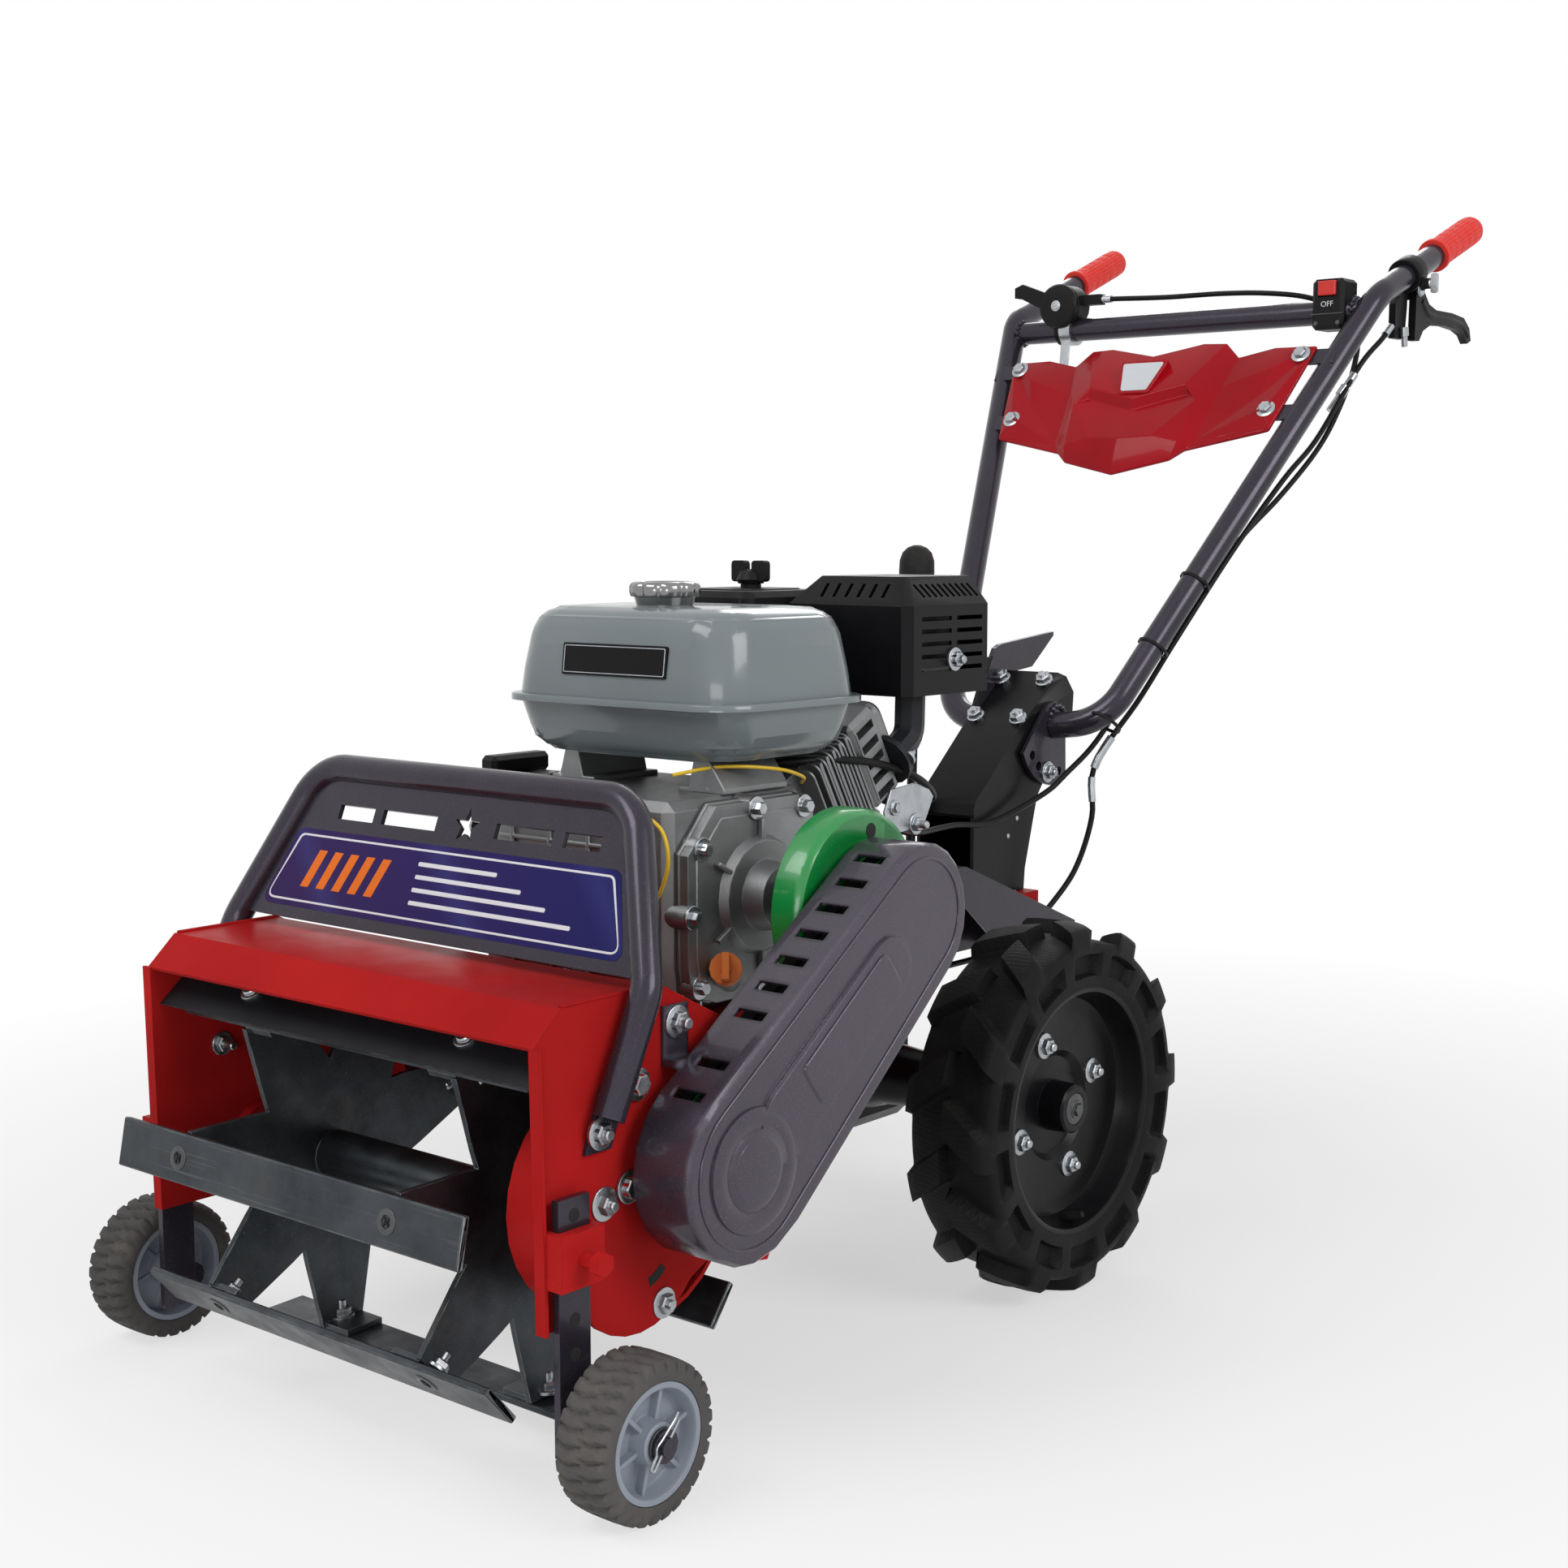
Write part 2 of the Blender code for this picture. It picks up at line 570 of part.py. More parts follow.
def rotor_pieces():
    """The welded rotor with its two star plates, and the blade bars bolted to it."""
    left = HOUSING_LEFT - SHEET - RUNNING
    right = HOUSING_RIGHT + SHEET - GAP
    centre = (0.0, ROTOR_Y, ROTOR_Z)
    case_face = HOUSING_LEFT - SHEET - CASE_DEPTH
    profile = [(right, SHAFT_END_RADIUS), (right + 0.020, SHAFT_END_RADIUS),
               (right + 0.020, SHAFT_RADIUS), (case_face - RUNNING, SHAFT_RADIUS),
               (case_face - RUNNING, SHAFT_END_RADIUS), (left, SHAFT_END_RADIUS)]
    spider = turned("rotor_spider", profile, centre, steps=16)
    pitch = 2 * math.pi / BLADE_COUNT
    tip = BLADE_RADIUS - GAP - 0.0012
    outline = []
    for arm in range(BLADE_COUNT):
        heading = math.radians(BLADE_FIRST) + arm * pitch
        for side in (-1, 1):
            across = side * STAR_TIP / 2
            outline.append((ROTOR_Y + tip * math.cos(heading) - across * math.sin(heading),
                            ROTOR_Z + tip * math.sin(heading) + across * math.cos(heading)))
        for turn in (-0.10, 0.0, 0.10):
            angle = heading + pitch * (0.5 + turn)
            radius = STAR_NOTCH + 0.012 * (turn / 0.10) ** 2
            outline.append((ROTOR_Y + radius * math.cos(angle), ROTOR_Z + radius * math.sin(angle)))
    for side in (-1, 1):
        face = ROTOR_X + side * BLADE_BOLT_SPAN / 2
        join(spider, plate("star plate", [outline], face - STAR_THICK / 2, face + STAR_THICK / 2))
        for arm in range(BLADE_COUNT):
            heading = math.radians(BLADE_FIRST) + arm * pitch
            reach = BLADE_RADIUS - GAP - STAR_THICK / 2
            foot = box("blade foot", (-FOOT_LENGTH / 2, -STAR_TIP / 2 + 0.002, -STAR_THICK / 2),
                       (FOOT_LENGTH / 2, STAR_TIP / 2 - 0.002, STAR_THICK / 2))
            foot.location = (face - side * FOOT_LENGTH / 2, ROTOR_Y + reach * math.cos(heading),
                             ROTOR_Z + reach * math.sin(heading))
            foot.rotation_euler = (heading - math.pi / 2, 0, 0)
            join(spider, foot)
    sprocket = turned("rotor sprocket", [(-0.003, ROTOR_SPROCKET), (0.003, ROTOR_SPROCKET)],
                      (CHAIN_X, ROTOR_Y, ROTOR_Z))
    join(spider, sprocket)
    bars = []
    for arm in range(BLADE_COUNT):
        heading = math.radians(BLADE_FIRST) + arm * pitch
        bar = box(f"blade_bar_{arm + 1}", (-BLADE_LENGTH / 2, -BLADE_WIDTH / 2, 0.0),
                  (BLADE_LENGTH / 2, BLADE_WIDTH / 2, BLADE_THICK), 0.001)
        reach = BLADE_RADIUS + BLADE_THICK / 2
        bar.location = (ROTOR_X, ROTOR_Y + reach * math.cos(heading),
                        ROTOR_Z + reach * math.sin(heading))
        bar.rotation_euler = (heading - math.pi / 2, 0, 0)
        bars.append(finish(bar, DARK_STEEL))
    return finish(spider, DARK_STEEL), bars


def rotor_chain_case():
    """A round cup on the inside of the left side plate, open towards the plate."""
    face = HOUSING_LEFT - SHEET - GAP
    start = HOUSING_LEFT - SHEET - CASE_DEPTH
    cup = turned("rotor_chain_case", [(start, CASE_RADIUS), (face, CASE_RADIUS)],
                 (0, CASE_Y, CASE_Z), steps=28)
    cut(cup, turned("case hollow", [(start + SHEET, CASE_RADIUS - SHEET),
                                    (face + 0.01, CASE_RADIUS - SHEET)],
                    (0, CASE_Y, CASE_Z), steps=28),
        bore("case shaft hole", (start - 0.01, ROTOR_Y, ROTOR_Z), 0.03, SHAFT_END_RADIUS))
    return finish(cup, RED)


def chain_loop():
    outer = loop_round((ROTOR_Y, ROTOR_Z), ROTOR_SPROCKET + LOOP_GAP + CHAIN_THICK,
                       (COUNTER_Y, COUNTER_Z), COUNTER_SPROCKET + LOOP_GAP + CHAIN_THICK)
    inner = loop_round((ROTOR_Y, ROTOR_Z), ROTOR_SPROCKET + LOOP_GAP,
                       (COUNTER_Y, COUNTER_Z), COUNTER_SPROCKET + LOOP_GAP)
    chain = plate("rotor_chain", [outer, inner], CHAIN_X - CHAIN_WIDTH / 2,
                  CHAIN_X + CHAIN_WIDTH / 2)
    return finish(chain, DARK_STEEL)


def countershaft():
    """The shaft between the belts and the chain, with its sprocket and the driven pulley."""
    start = CHAIN_X - 0.012
    profile = [(start, COUNTER_RADIUS), (CHAIN_X - 0.003, COUNTER_RADIUS),
               (CHAIN_X - 0.003, COUNTER_SPROCKET), (CHAIN_X + 0.003, COUNTER_SPROCKET),
               (CHAIN_X + 0.003, COUNTER_RADIUS), *pulley_profile(DRIVEN_PULLEY, COUNTER_RADIUS)]
    return finish(turned("countershaft", profile, (0.0, COUNTER_Y, COUNTER_Z), steps=16), DRUM_GREEN)


def pulley_profile(radius, hub):
    """Two grooves, one for each belt, between flanges, on a hub that shows at both ends."""
    half = BELT_WIDTH / 2 + GAP
    groove = radius - BELT_THICK
    profile = [(BELT_X[0] - half - 0.003, hub), (BELT_X[0] - half - 0.003, radius)]
    for middle in BELT_X:
        profile += [(middle - half, radius), (middle - half, groove),
                    (middle + half, groove), (middle + half, radius)]
    last = BELT_X[1] + half + 0.003
    return profile + [(last, radius), (last, hub), (last + 0.006, hub)]


def belts():
    made = []
    for name, x in zip(("drive_belt_inner", "drive_belt_outer"), BELT_X):
        low_groove = DRIVEN_PULLEY - BELT_THICK + LOOP_GAP
        high_groove = DRIVE_PULLEY - BELT_THICK + LOOP_GAP
        outer = loop_round((COUNTER_Y, COUNTER_Z), low_groove + BELT_THICK,
                           (CRANK_Y, CRANK_Z), high_groove + BELT_THICK)
        inner = loop_round((COUNTER_Y, COUNTER_Z), low_groove, (CRANK_Y, CRANK_Z), high_groove)
        belt = plate(name, [outer, inner], x - BELT_WIDTH / 2, x + BELT_WIDTH / 2)
        made.append(finish(belt, RUBBER))
    return made


def crank_pieces():
    """The crankshaft with its web and big end, and the green drum with the drive pulley."""
    centre = (0.0, CRANK_Y, CRANK_Z)
    profile = [(-0.060, 0.010), (-0.020, 0.010), (-0.020, 0.040), (-0.005, 0.040),
               (-0.005, 0.016), (0.020, 0.016), (0.020, 0.040), (0.035, 0.040),
               (0.035, CRANK_RADIUS), (BELT_X[1] + 0.013, CRANK_RADIUS)]
    shaft = turned("crankshaft", profile, centre, steps=14)
    hole = CRANK_RADIUS + GAP
    start = BELT_X[0] - DRUM_REACH
    web, face = start + 0.019, start + 0.027
    outer = [(start, DRUM_RADIUS), (face - 0.005, DRUM_RADIUS), (face, DRUM_RADIUS - 0.005),
             (face, 0.020)]
    pulley = pulley_profile(DRIVE_PULLEY, 0.020)
    inner = [(pulley[-1][0], hole), (start, hole), (start, 0.024), (web, 0.026),
             (web, DRUM_RADIUS - 0.005), (start, DRUM_RADIUS - 0.005)]
    drum = turned_ring("drive_pulley", outer + pulley + inner, centre, steps=18)
    return finish(shaft, DARK_STEEL), finish(drum, DRUM_GREEN)


def belt_cover():
    """A pressed cover over the belts, open towards the machine, slotted along its top."""
    low, high = (COUNTER_Y, COUNTER_Z), (CRANK_Y, CRANK_Z)
    outer = loop_round(low, COVER_LOW_RADIUS, high, COVER_HIGH_RADIUS)
    inner = loop_round(low, COVER_LOW_RADIUS - COVER_WALL, high, COVER_HIGH_RADIUS - COVER_WALL)
    cover = plate("belt_cover", [outer], COVER_BASE_X, COVER_FACE_X)
    rounding = cover.modifiers.new("pressed edge", "BEVEL")
    rounding.width = 0.006
    rounding.segments = 1
    rounding.limit_method = "ANGLE"
    rounding.angle_limit = math.radians(60)
    cut(cover, plate("cover hollow", [inner], COVER_BASE_X - 0.01, COVER_FACE_X - COVER_WALL))
    ridge = plate("cover ridge", [loop_round(belt_point(0.045)[1:], 0.030, belt_point(0.200)[1:],
                                             0.026, 6)], COVER_FACE_X - 0.001, COVER_FACE_X + 0.003)
    emboss = turned("cover emboss", [(0.0, 0.031), (0.003, 0.031), (0.005, 0.027)],
                    (COVER_FACE_X - 0.001, COUNTER_Y, COUNTER_Z))
    join(cover, ridge, emboss)
    along = BELT_LINE.normalized()
    for reach in COVER_SLOTS:
        share = reach / BELT_LINE.length
        middle = belt_point(reach, COVER_LOW_RADIUS + (COVER_HIGH_RADIUS - COVER_LOW_RADIUS) * share)
        slot = box("cover slot", (-0.014, -0.0045, -0.008), (0.014, 0.0045, 0.008))
        slot.location = ((COVER_BASE_X + COVER_FACE_X) / 2, middle.y, middle.z)
        slot.rotation_euler = (math.atan2(along.z, along.y), 0, 0)
        cut(cover, slot)
    strap = HOUSING_LEFT + GAP
    join(cover, box("cover strap", (strap, 0.086, 0.2935), (strap + 0.003, 0.112, 0.3370)),
         box("strap web", (strap, 0.086, 0.2930), (COVER_BASE_X + 0.003, 0.112, 0.2985)),
         hex_bolt("strap bolt", (strap + 0.0035, 0.099, 0.324)))
    return finish(cover, FRAME_PAINT)


def belt_point(reach, up=0.0):
    """A point along the line from the countershaft to the crankshaft, and up across it."""
    along = BELT_LINE.normalized()
    return Vector((0, COUNTER_Y, COUNTER_Z)) + along * reach + Vector((0, -along.z, along.y)) * up


def crankcase():
    """The hollow casting with its side cover and the finned barrel, open at the head end."""
    case = box("crankcase", (ENGINE_RIGHT, CRANKCASE_FRONT, ENGINE_BASE),
               (ENGINE_LEFT, CRANKCASE_REAR, CRANKCASE_TOP), 0.008)
    side = [(0.232, 0.306), (0.262, 0.296), (0.370, 0.296), (0.386, 0.320), (0.386, 0.440),
            (0.366, 0.457), (0.262, 0.457), (0.228, 0.420), (0.228, 0.330)]
    join(case, plate("side cover", [side], ENGINE_LEFT - 0.002, SIDE_COVER_X))
    boss = [(SIDE_COVER_X - 0.002, 0.052), (SIDE_COVER_X + 0.008, 0.046),
            (SIDE_COVER_X + 0.008, 0.030), (0.175, 0.026)]
    join(case, turned("side cover boss", boss, (0, CRANK_Y, CRANK_Z)))
    join(case, along_cylinder_box("cylinder barrel", 0.078, HEAD_START, 0.042, -0.042, 0.030))
    for fin in range(5):
        place = CYLINDER_START + 0.014 + fin * 0.010
        join(case, along_cylinder_box("barrel fin", place, place + 0.0035, 0.062, -0.050, 0.0315))
    cut(case, box("case hollow", (-0.066, 0.238, 0.305), (0.118, 0.374, 0.442)))
    cut(case, bore("crank bore", (-0.100, CRANK_Y, CRANK_Z), 0.300, CRANK_RADIUS))
    cut(case, rod("cylinder bore", along_cylinder(0.045), 0.20, 0.026, CYLINDER_TURN))
    for y, z in ((0.244, 0.424), (0.372, 0.447), (0.240, 0.312), (0.376, 0.318)):
        join(case, hex_bolt("cover bolt", (SIDE_COVER_X + 0.001, y, z), 0.0055, 0.007))
    join(case, turned("oil filler neck", [(0.0, 0.012), (FILLER_LENGTH, 0.012)],
                      FILLER_FOOT, FILLER_TURN, steps=12))
    return finish(case, CAST_ALUMINIUM)


def along_cylinder(distance, up=0.0):
    lean = math.radians(CYLINDER_LEAN)
    return Vector((CYLINDER_X, CRANK_Y + distance * math.cos(lean) - up * math.sin(lean),
                   CRANK_Z + distance * math.sin(lean) + up * math.cos(lean)))


def along_cylinder_box(name, first, last, half, low, high, bevel=0.0):
    """A box in line with the leaning cylinder, from first to last along its axis."""
    made = box(name, (-half, -(last - first) / 2, -(high - low) / 2),
               (half, (last - first) / 2, (high - low) / 2), bevel)
    made.location = along_cylinder((first + last) / 2, (low + high) / 2)
    made.rotation_euler = (math.radians(CYLINDER_LEAN), 0, 0)
    return made


def cylinder_head():
    start = HEAD_START + GAP
    head = along_cylinder_box("cylinder_head", start, CYLINDER_END, 0.062, -0.052, 0.036, 0.004)
    for fin in range(5):
        low = -0.046 + fin * 0.016
        cut(head, along_cylinder_box("head groove", start + 0.006, CYLINDER_END - 0.008, 0.080,
                                     low, low + 0.008))
    core = along_cylinder_box("head core", start + 0.004, CYLINDER_END - 0.004, 0.046, -0.048, 0.032)
    join(head, core)
    return finish(head, CAST_ALUMINIUM)


def tank_section(half_x, half_y, corner, steps=5):
    points = []
    for sx, sy, first in ((1, 1, 0), (-1, 1, 90), (-1, -1, 180), (1, -1, 270)):
        points += arc((sx * (half_x - corner), sy * (half_y - corner)), corner,
                      first, first + 90, steps)
    return points


def lofted(name, rings, at):
    """A closed solid through rings of equal length, each a list of (x, y) and a height."""
    shape = bmesh.new()
    rows = [[shape.verts.new((x, y, z)) for x, y in points] for points, z in rings]
    count = len(rows[0])
    for lower, upper in zip(rows, rows[1:]):
        for i in range(count):
            j = (i + 1) % count
            shape.faces.new((lower[i], lower[j], upper[j], upper[i]))
    shape.faces.new(rows[0][::-1])
    shape.faces.new(rows[-1])
    return mesh_object(name, shape, at)


def fuel_tank():
    """Two pressed halves on a seam flange with feet, hollow, open at the filler neck."""
    half_x, half_y = TANK_LENGTH / 2, TANK_DEPTH / 2

    def shell(inset, steps):
        levels = [(0.030, 0.030, -TANK_DOWN + inset), (0.016, 0.036, -TANK_DOWN + 0.012 + inset / 2),
                  (0.007, 0.040, 0.0), (0.014, 0.040, TANK_UP - 0.022),
                  (0.020, 0.038, TANK_UP - 0.008 - inset / 2), (0.034, 0.030, TANK_UP - inset)]
        return [(tank_section(half_x - side - inset, half_y - side - inset, corner, steps), height)
                for side, corner, height in levels]

    centre = (TANK_X, TANK_Y, TANK_FLANGE_Z)
    tank = lofted("fuel_tank", shell(0.0, 3), centre)
    seam = tank_section(half_x, half_y, 0.045, 3)
    join(tank, lofted("tank seam", [(seam, -0.0025), (seam, 0.0025)], centre))
    neck = turned("filler neck", [(-0.010, 0.021), (0.008, 0.021)],
                  (TANK_X, FILLER_Y, FILLER_TOP), (0, 0, 0), steps=16)
    join(tank, neck)
    foot = CRANKCASE_TOP + GAP
    seat = TANK_FLANGE_Z - TANK_DOWN + 0.001
    legs = [(-0.070, foot), (-0.020, foot), (-0.020, foot + 0.003), (-0.034, foot + 0.003),
            (-0.040, seat - 0.003), (0.098, seat - 0.003), (0.092, foot + 0.003),
            (0.080, foot + 0.003), (0.080, foot), (0.130, foot), (0.130, foot + 0.003),
            (0.112, seat), (-0.052, seat), (-0.060, foot + 0.003), (-0.070, foot + 0.003)]
    join(tank, plate("tank feet", [legs], 0.292, 0.372, FACING_Y))
    cut(tank, lofted("tank hollow", shell(0.003, 2), centre))
    cut(tank, rod("neck bore", (TANK_X, FILLER_Y, FILLER_TOP - 0.02), 0.04, 0.018, (0, 0, 0)))
    return finish(tank, TANK_GREY)


def fuel_cap():
    cap = turned("fuel_cap", [(-0.014, 0.0175), (0.0085, 0.0175), (0.0085, 0.026), (0.013, 0.030),
                              (0.020, 0.030), (0.023, 0.025)],
                 (TANK_X, FILLER_Y, FILLER_TOP), (0, 0, 0))
    for x, y in circle((TANK_X, FILLER_Y), 0.0325, 10):
        cut(cap, rod("cap scallop", (x, y, FILLER_TOP + 0.009), 0.02, 0.005, (0, 0, 0), steps=6))
    return finish(cap, CHROME)


def muffler_pieces():
    """The silencer drum on its exhaust pipe, inside a louvred black guard."""
    low, high = Vector((0.012, 0.5175, 0.530)), Vector((0.150, 0.6405, 0.6365))
    shoulder, inset = 0.611, 0.022
    drum = box("muffler", low + Vector((0.014, 0.014, 0.012)), high - Vector((0.014, 0.014, 0.019)),
               0.012)
    port = along_cylinder(CYLINDER_END + GAP, -0.026) + Vector((0.054, 0, 0))
    out = (along_cylinder(1.0) - along_cylinder(0.0)).normalized()
    elbow = port + out * 0.040
    pipe = tube("exhaust pipe", bent([port, elbow, (elbow.x, elbow.y + 0.002, 0.555)], 0.020, 4), 0.014)
    flange = turned("exhaust flange", [(0.0, 0.025), (0.006, 0.025)], port, CYLINDER_TURN, steps=16)
    join(drum, pipe, flange)

    def level(inward, corner):
        return [(low.x + inward, high.y), (low.x + inward, low.y + inward),
                (high.x - inward - corner, low.y + inward), (high.x - inward, low.y + inward + corner),
                (high.x - inward, high.y)]

    guard = lofted("muffler_guard", [(level(0.0, 0.008), low.z), (level(0.0, 0.008), shoulder),
                                     (level(inset, 0.008), high.z)], (0, 0, 0))
    wall = 0.003
    inside = [(level(wall, 0.008), low.z - 0.02), (level(wall, 0.008), shoulder - 0.001),
              (level(inset + wall, 0.008), high.z - wall)]
    inside = [([(x, min(y, high.y - wall)) for x, y in points], z) for points, z in inside]
    cut(guard, lofted("guard hollow", inside, (0, 0, 0)))
    for first, length in ((0.5375, 0.046), (0.5912, 0.041)):
        for row in range(5):
            z = 0.5537 + row * 0.0113
            cut(guard, box("louvre", (high.x - 0.010, first, z - 0.002),
                           (high.x + 0.010, first + length, z + 0.002)))
    lean = math.atan2(inset, high.z - shoulder)
    middle = (shoulder + high.z) / 2
    slots = [((high.x - inset / 2, 0.548 + slot * 0.0092, middle), (math.radians(15), -lean, 0))
             for slot in range(10)]
    slots += [((0.046 + slot * 0.014, low.y + inset / 2, middle), (-lean, 0, 0)) for slot in range(6)]
    for place, turn in slots:
        slot = box("guard slot", (-0.002, -0.002, -0.008), (0.002, 0.002, 0.008))
        grow = 5.0 if turn[0] > 0 else 1.0
        slot.scale = (grow, 6.0 - grow, 1.0)
        slot.location = place
        slot.rotation_euler = turn
        cut(guard, slot)
    join(guard, hex_bolt("guard bolt", (high.x + 0.0015, 0.5860, 0.5615), 0.007, 0.006))
    join(guard, box("guard stay", (0.060, 0.6000, low.z + 0.003),
                    (0.090, high.y - 0.0015, low.z + 0.012 - GAP)))
    return finish(drum, DARK_STEEL), finish(guard, BLACK_PAINT)


def air_cleaner_pieces():
    low, high = Vector((-0.112, 0.470, 0.500)), Vector((0.002, 0.590, 0.622))
    case = box("air_cleaner", low, high, 0.010, 2)
    cut(case, box("filter space", low + Vector((0.004,) * 3), high - Vector((0.004,) * 3), 0.008),
        rod("intake hole", (-0.017, 0.495, low.z - 0.002), 0.010, 0.010, (0, 0, 0)))
    stem = Vector(KNOB_PLACE)
    join(case, rod("knob seat", stem - Vector((0, 0, 0.003)), 0.009, 0.010, (0, 0, 0), 12))
    knob = turned("air_cleaner_knob", [(0.0063, 0.012), (0.010, 0.014), (0.018, 0.010),
                                       (0.020, 0.006)], stem, (0, 0, 0), steps=16)
    for side in (-1, 1):
        wing = stem + Vector((side * 0.013, 0, 0))
        join(knob, box("knob wing", wing + Vector((-0.004, -0.004, 0.009)),
                       wing + Vector((0.004, 0.004, 0.026)), 0.002))
    return finish(case, BLACK_PLASTIC), finish(knob, BLACK_PLASTIC)


def carburettor():
    face = CYLINDER_X - 0.062 - GAP
    body = box("carburettor", (face - 0.040, 0.476, 0.455), (face, 0.514, 0.4997), 0.003)
    join(body, turned("float bowl", [(-0.020, 0.014), (0.002, 0.016)], (face - 0.022, 0.495, 0.455),
                      (0, 0, 0), steps=16))
    return finish(body, CAST_ALUMINIUM)


def recoil_pieces():
    """The fan housing on the right of the crankcase and its pull grip."""
    centre = (0.0, CRANK_Y, CRANK_Z)
    start = ENGINE_RIGHT - GAP
    cover = turned("recoil_housing", [(start - 0.065, 0.030), (start - 0.060, 0.060),
                                      (start - 0.030, 0.082), (start - 0.025, 0.086),
                                      (start, 0.086)], centre, steps=24)
    cut(cover, turned("fan space", [(start - 0.050, 0.050), (start - 0.030, 0.074),
                                    (start + 0.01, 0.074)], centre, steps=24))
    outlet = Vector((start - 0.045, CRANK_Y - 0.010, CRANK_Z + 0.070))
    join(cover, box("rope outlet", outlet - Vector((0.012, 0.012, 0.020)),
                    outlet + Vector((0.012, 0.012, 0.012))))
    grip = box("recoil_grip", outlet + Vector((-0.010, -0.035, 0.0123)),
               outlet + Vector((0.010, 0.035, 0.030)), 0.004)
    return finish(cover, BLACK_PAINT), finish(grip, BLACK_PLASTIC)


def oil_cap():
    away = FILLER_OUT
    base = FILLER_FOOT + away * (FILLER_LENGTH + GAP)
    cap = turned("oil_cap", [(0.0, 0.0135), (0.009, 0.0135), (0.009, 0.005), (0.011, 0.005)],
                 base, FILLER_TURN, steps=12)
    wing = box("cap wing", (-0.003, -0.011, 0.010), (0.003, 0.011, 0.020))
    wing.location = base + away * 0.0145
    wing.rotation_euler = FILLER_TURN
    join(cap, wing)
    return finish(cap, ORANGE_PLASTIC)


def chassis_frame():
    """The engine bed on two rails and the box beam behind it, all open tubes."""
    bed = box("chassis_frame", (-0.095, 0.232, BED_TOP - BED_THICK), (0.150, BED_REAR, BED_TOP))
    rail_low = BED_TOP - BED_THICK - RAIL_SIZE
    wall = 0.003
    for x in (-0.075, 0.100):
        join(bed, box("rail", (x, HOUSING_REAR + GAP, rail_low),
                      (x + RAIL_SIZE, BED_REAR - 0.010, BED_TOP - BED_THICK + 0.001)))
    join(bed, box("cross member", (-0.095, 0.470, BEAM_LOW - 0.010), (0.150, 0.508, BED_TOP - 0.001)))
    join(bed, box("beam", (-BEAM_HALF, 0.480, BEAM_LOW), (BEAM_HALF, BEAM_REAR, BEAM_TOP)))
    socket = [(-0.003, 0.016), (0.007, 0.016), (LEVER_Z - BEAM_TOP - 0.0083, 0.012)]
    join(bed, turned("lever socket", socket, (SHIFT_X, LEVER_Y, BEAM_TOP), (0, 0, 0), steps=16))
    for x in (-0.075, 0.100):
        cut(bed, box("rail hollow", (x + wall, HOUSING_REAR - 0.02, rail_low + wall),
                     (x + RAIL_SIZE - wall, 0.462, BED_TOP - BED_THICK - wall)))
    cut(bed, box("beam hollow", (-BEAM_HALF + wall, 0.520, BEAM_LOW + wall),
                 (BEAM_HALF - wall, BEAM_REAR + 0.02, BEAM_TOP - wall)))
    return finish(bed, RED)


def gearbox_pieces():
    """The reduction case under the beam with the wheel axle and its gear in it."""
    axle = (0.0, AXLE_Y, TYRE_RADIUS)
    case = box("gearbox_case", (-GEARBOX_HALF, GEARBOX_FRONT, GEARBOX_LOW),
               (GEARBOX_HALF, GEARBOX_REAR, BEAM_LOW - GAP), 0.012)
    for turn in (ALONG_X, AGAINST_X):
        join(case, turned("axle housing", [(GEARBOX_HALF - 0.005, 0.042), (GEARBOX_HALF + 0.03, 0.030),
                                           (GEARBOX_HALF + 0.075, 0.026)], axle, turn, steps=16))
    cut(case, box("gear space", (-GEARBOX_HALF + 0.006, GEARBOX_FRONT + 0.006, GEARBOX_LOW + 0.006),
                  (GEARBOX_HALF - 0.006, GEARBOX_REAR - 0.006, BEAM_LOW - 0.006), 0.006))
    cut(case, bore("axle bore", (-0.2, AXLE_Y, TYRE_RADIUS), 0.4, AXLE_RADIUS))
    reach = TRACK_HALF + 0.030
    shaft = turned("wheel_axle", [(-reach, AXLE_RADIUS), (-0.010, AXLE_RADIUS), (-0.010, 0.050),
                                  (0.010, 0.050), (0.010, AXLE_RADIUS), (reach, AXLE_RADIUS)],
                   axle, steps=16)
    return finish(case, BLACK_PAINT), finish(shaft, DARK_STEEL)


def lugged_ring(name, stations, lugs, lug_height, at, steps, slant=0.0):
    """A tyre with lugs, staggered left and right and slanting back from its middle.

    Stations are (x, radius, 1 where the tread is) round its section. A lug takes half of
    the steps that one pitch has.
    """
    shape = bmesh.new()
    count = lugs * steps
    pitch = 2 * math.pi / lugs
    rows = []
    for x, radius, tread in stations:
        lean = (slant * abs(x) + (0.5 if x > 0 else 0.0)) * pitch * tread
        row = []
        for step in range(count):
            height = lug_height * tread if step % steps < steps / 2 else 0.0
            angle = 2 * math.pi * step / count + lean
            row.append(shape.verts.new((x, (radius + height) * math.cos(angle),
                                        (radius + height) * math.sin(angle))))
        rows.append(row)
    for first, second in zip(rows, rows[1:] + rows[:1]):
        for i in range(count):
            j = (i + 1) % count
            shape.faces.new((first[i], first[j], second[j], second[i]))
    return mesh_object(name, shape, at)


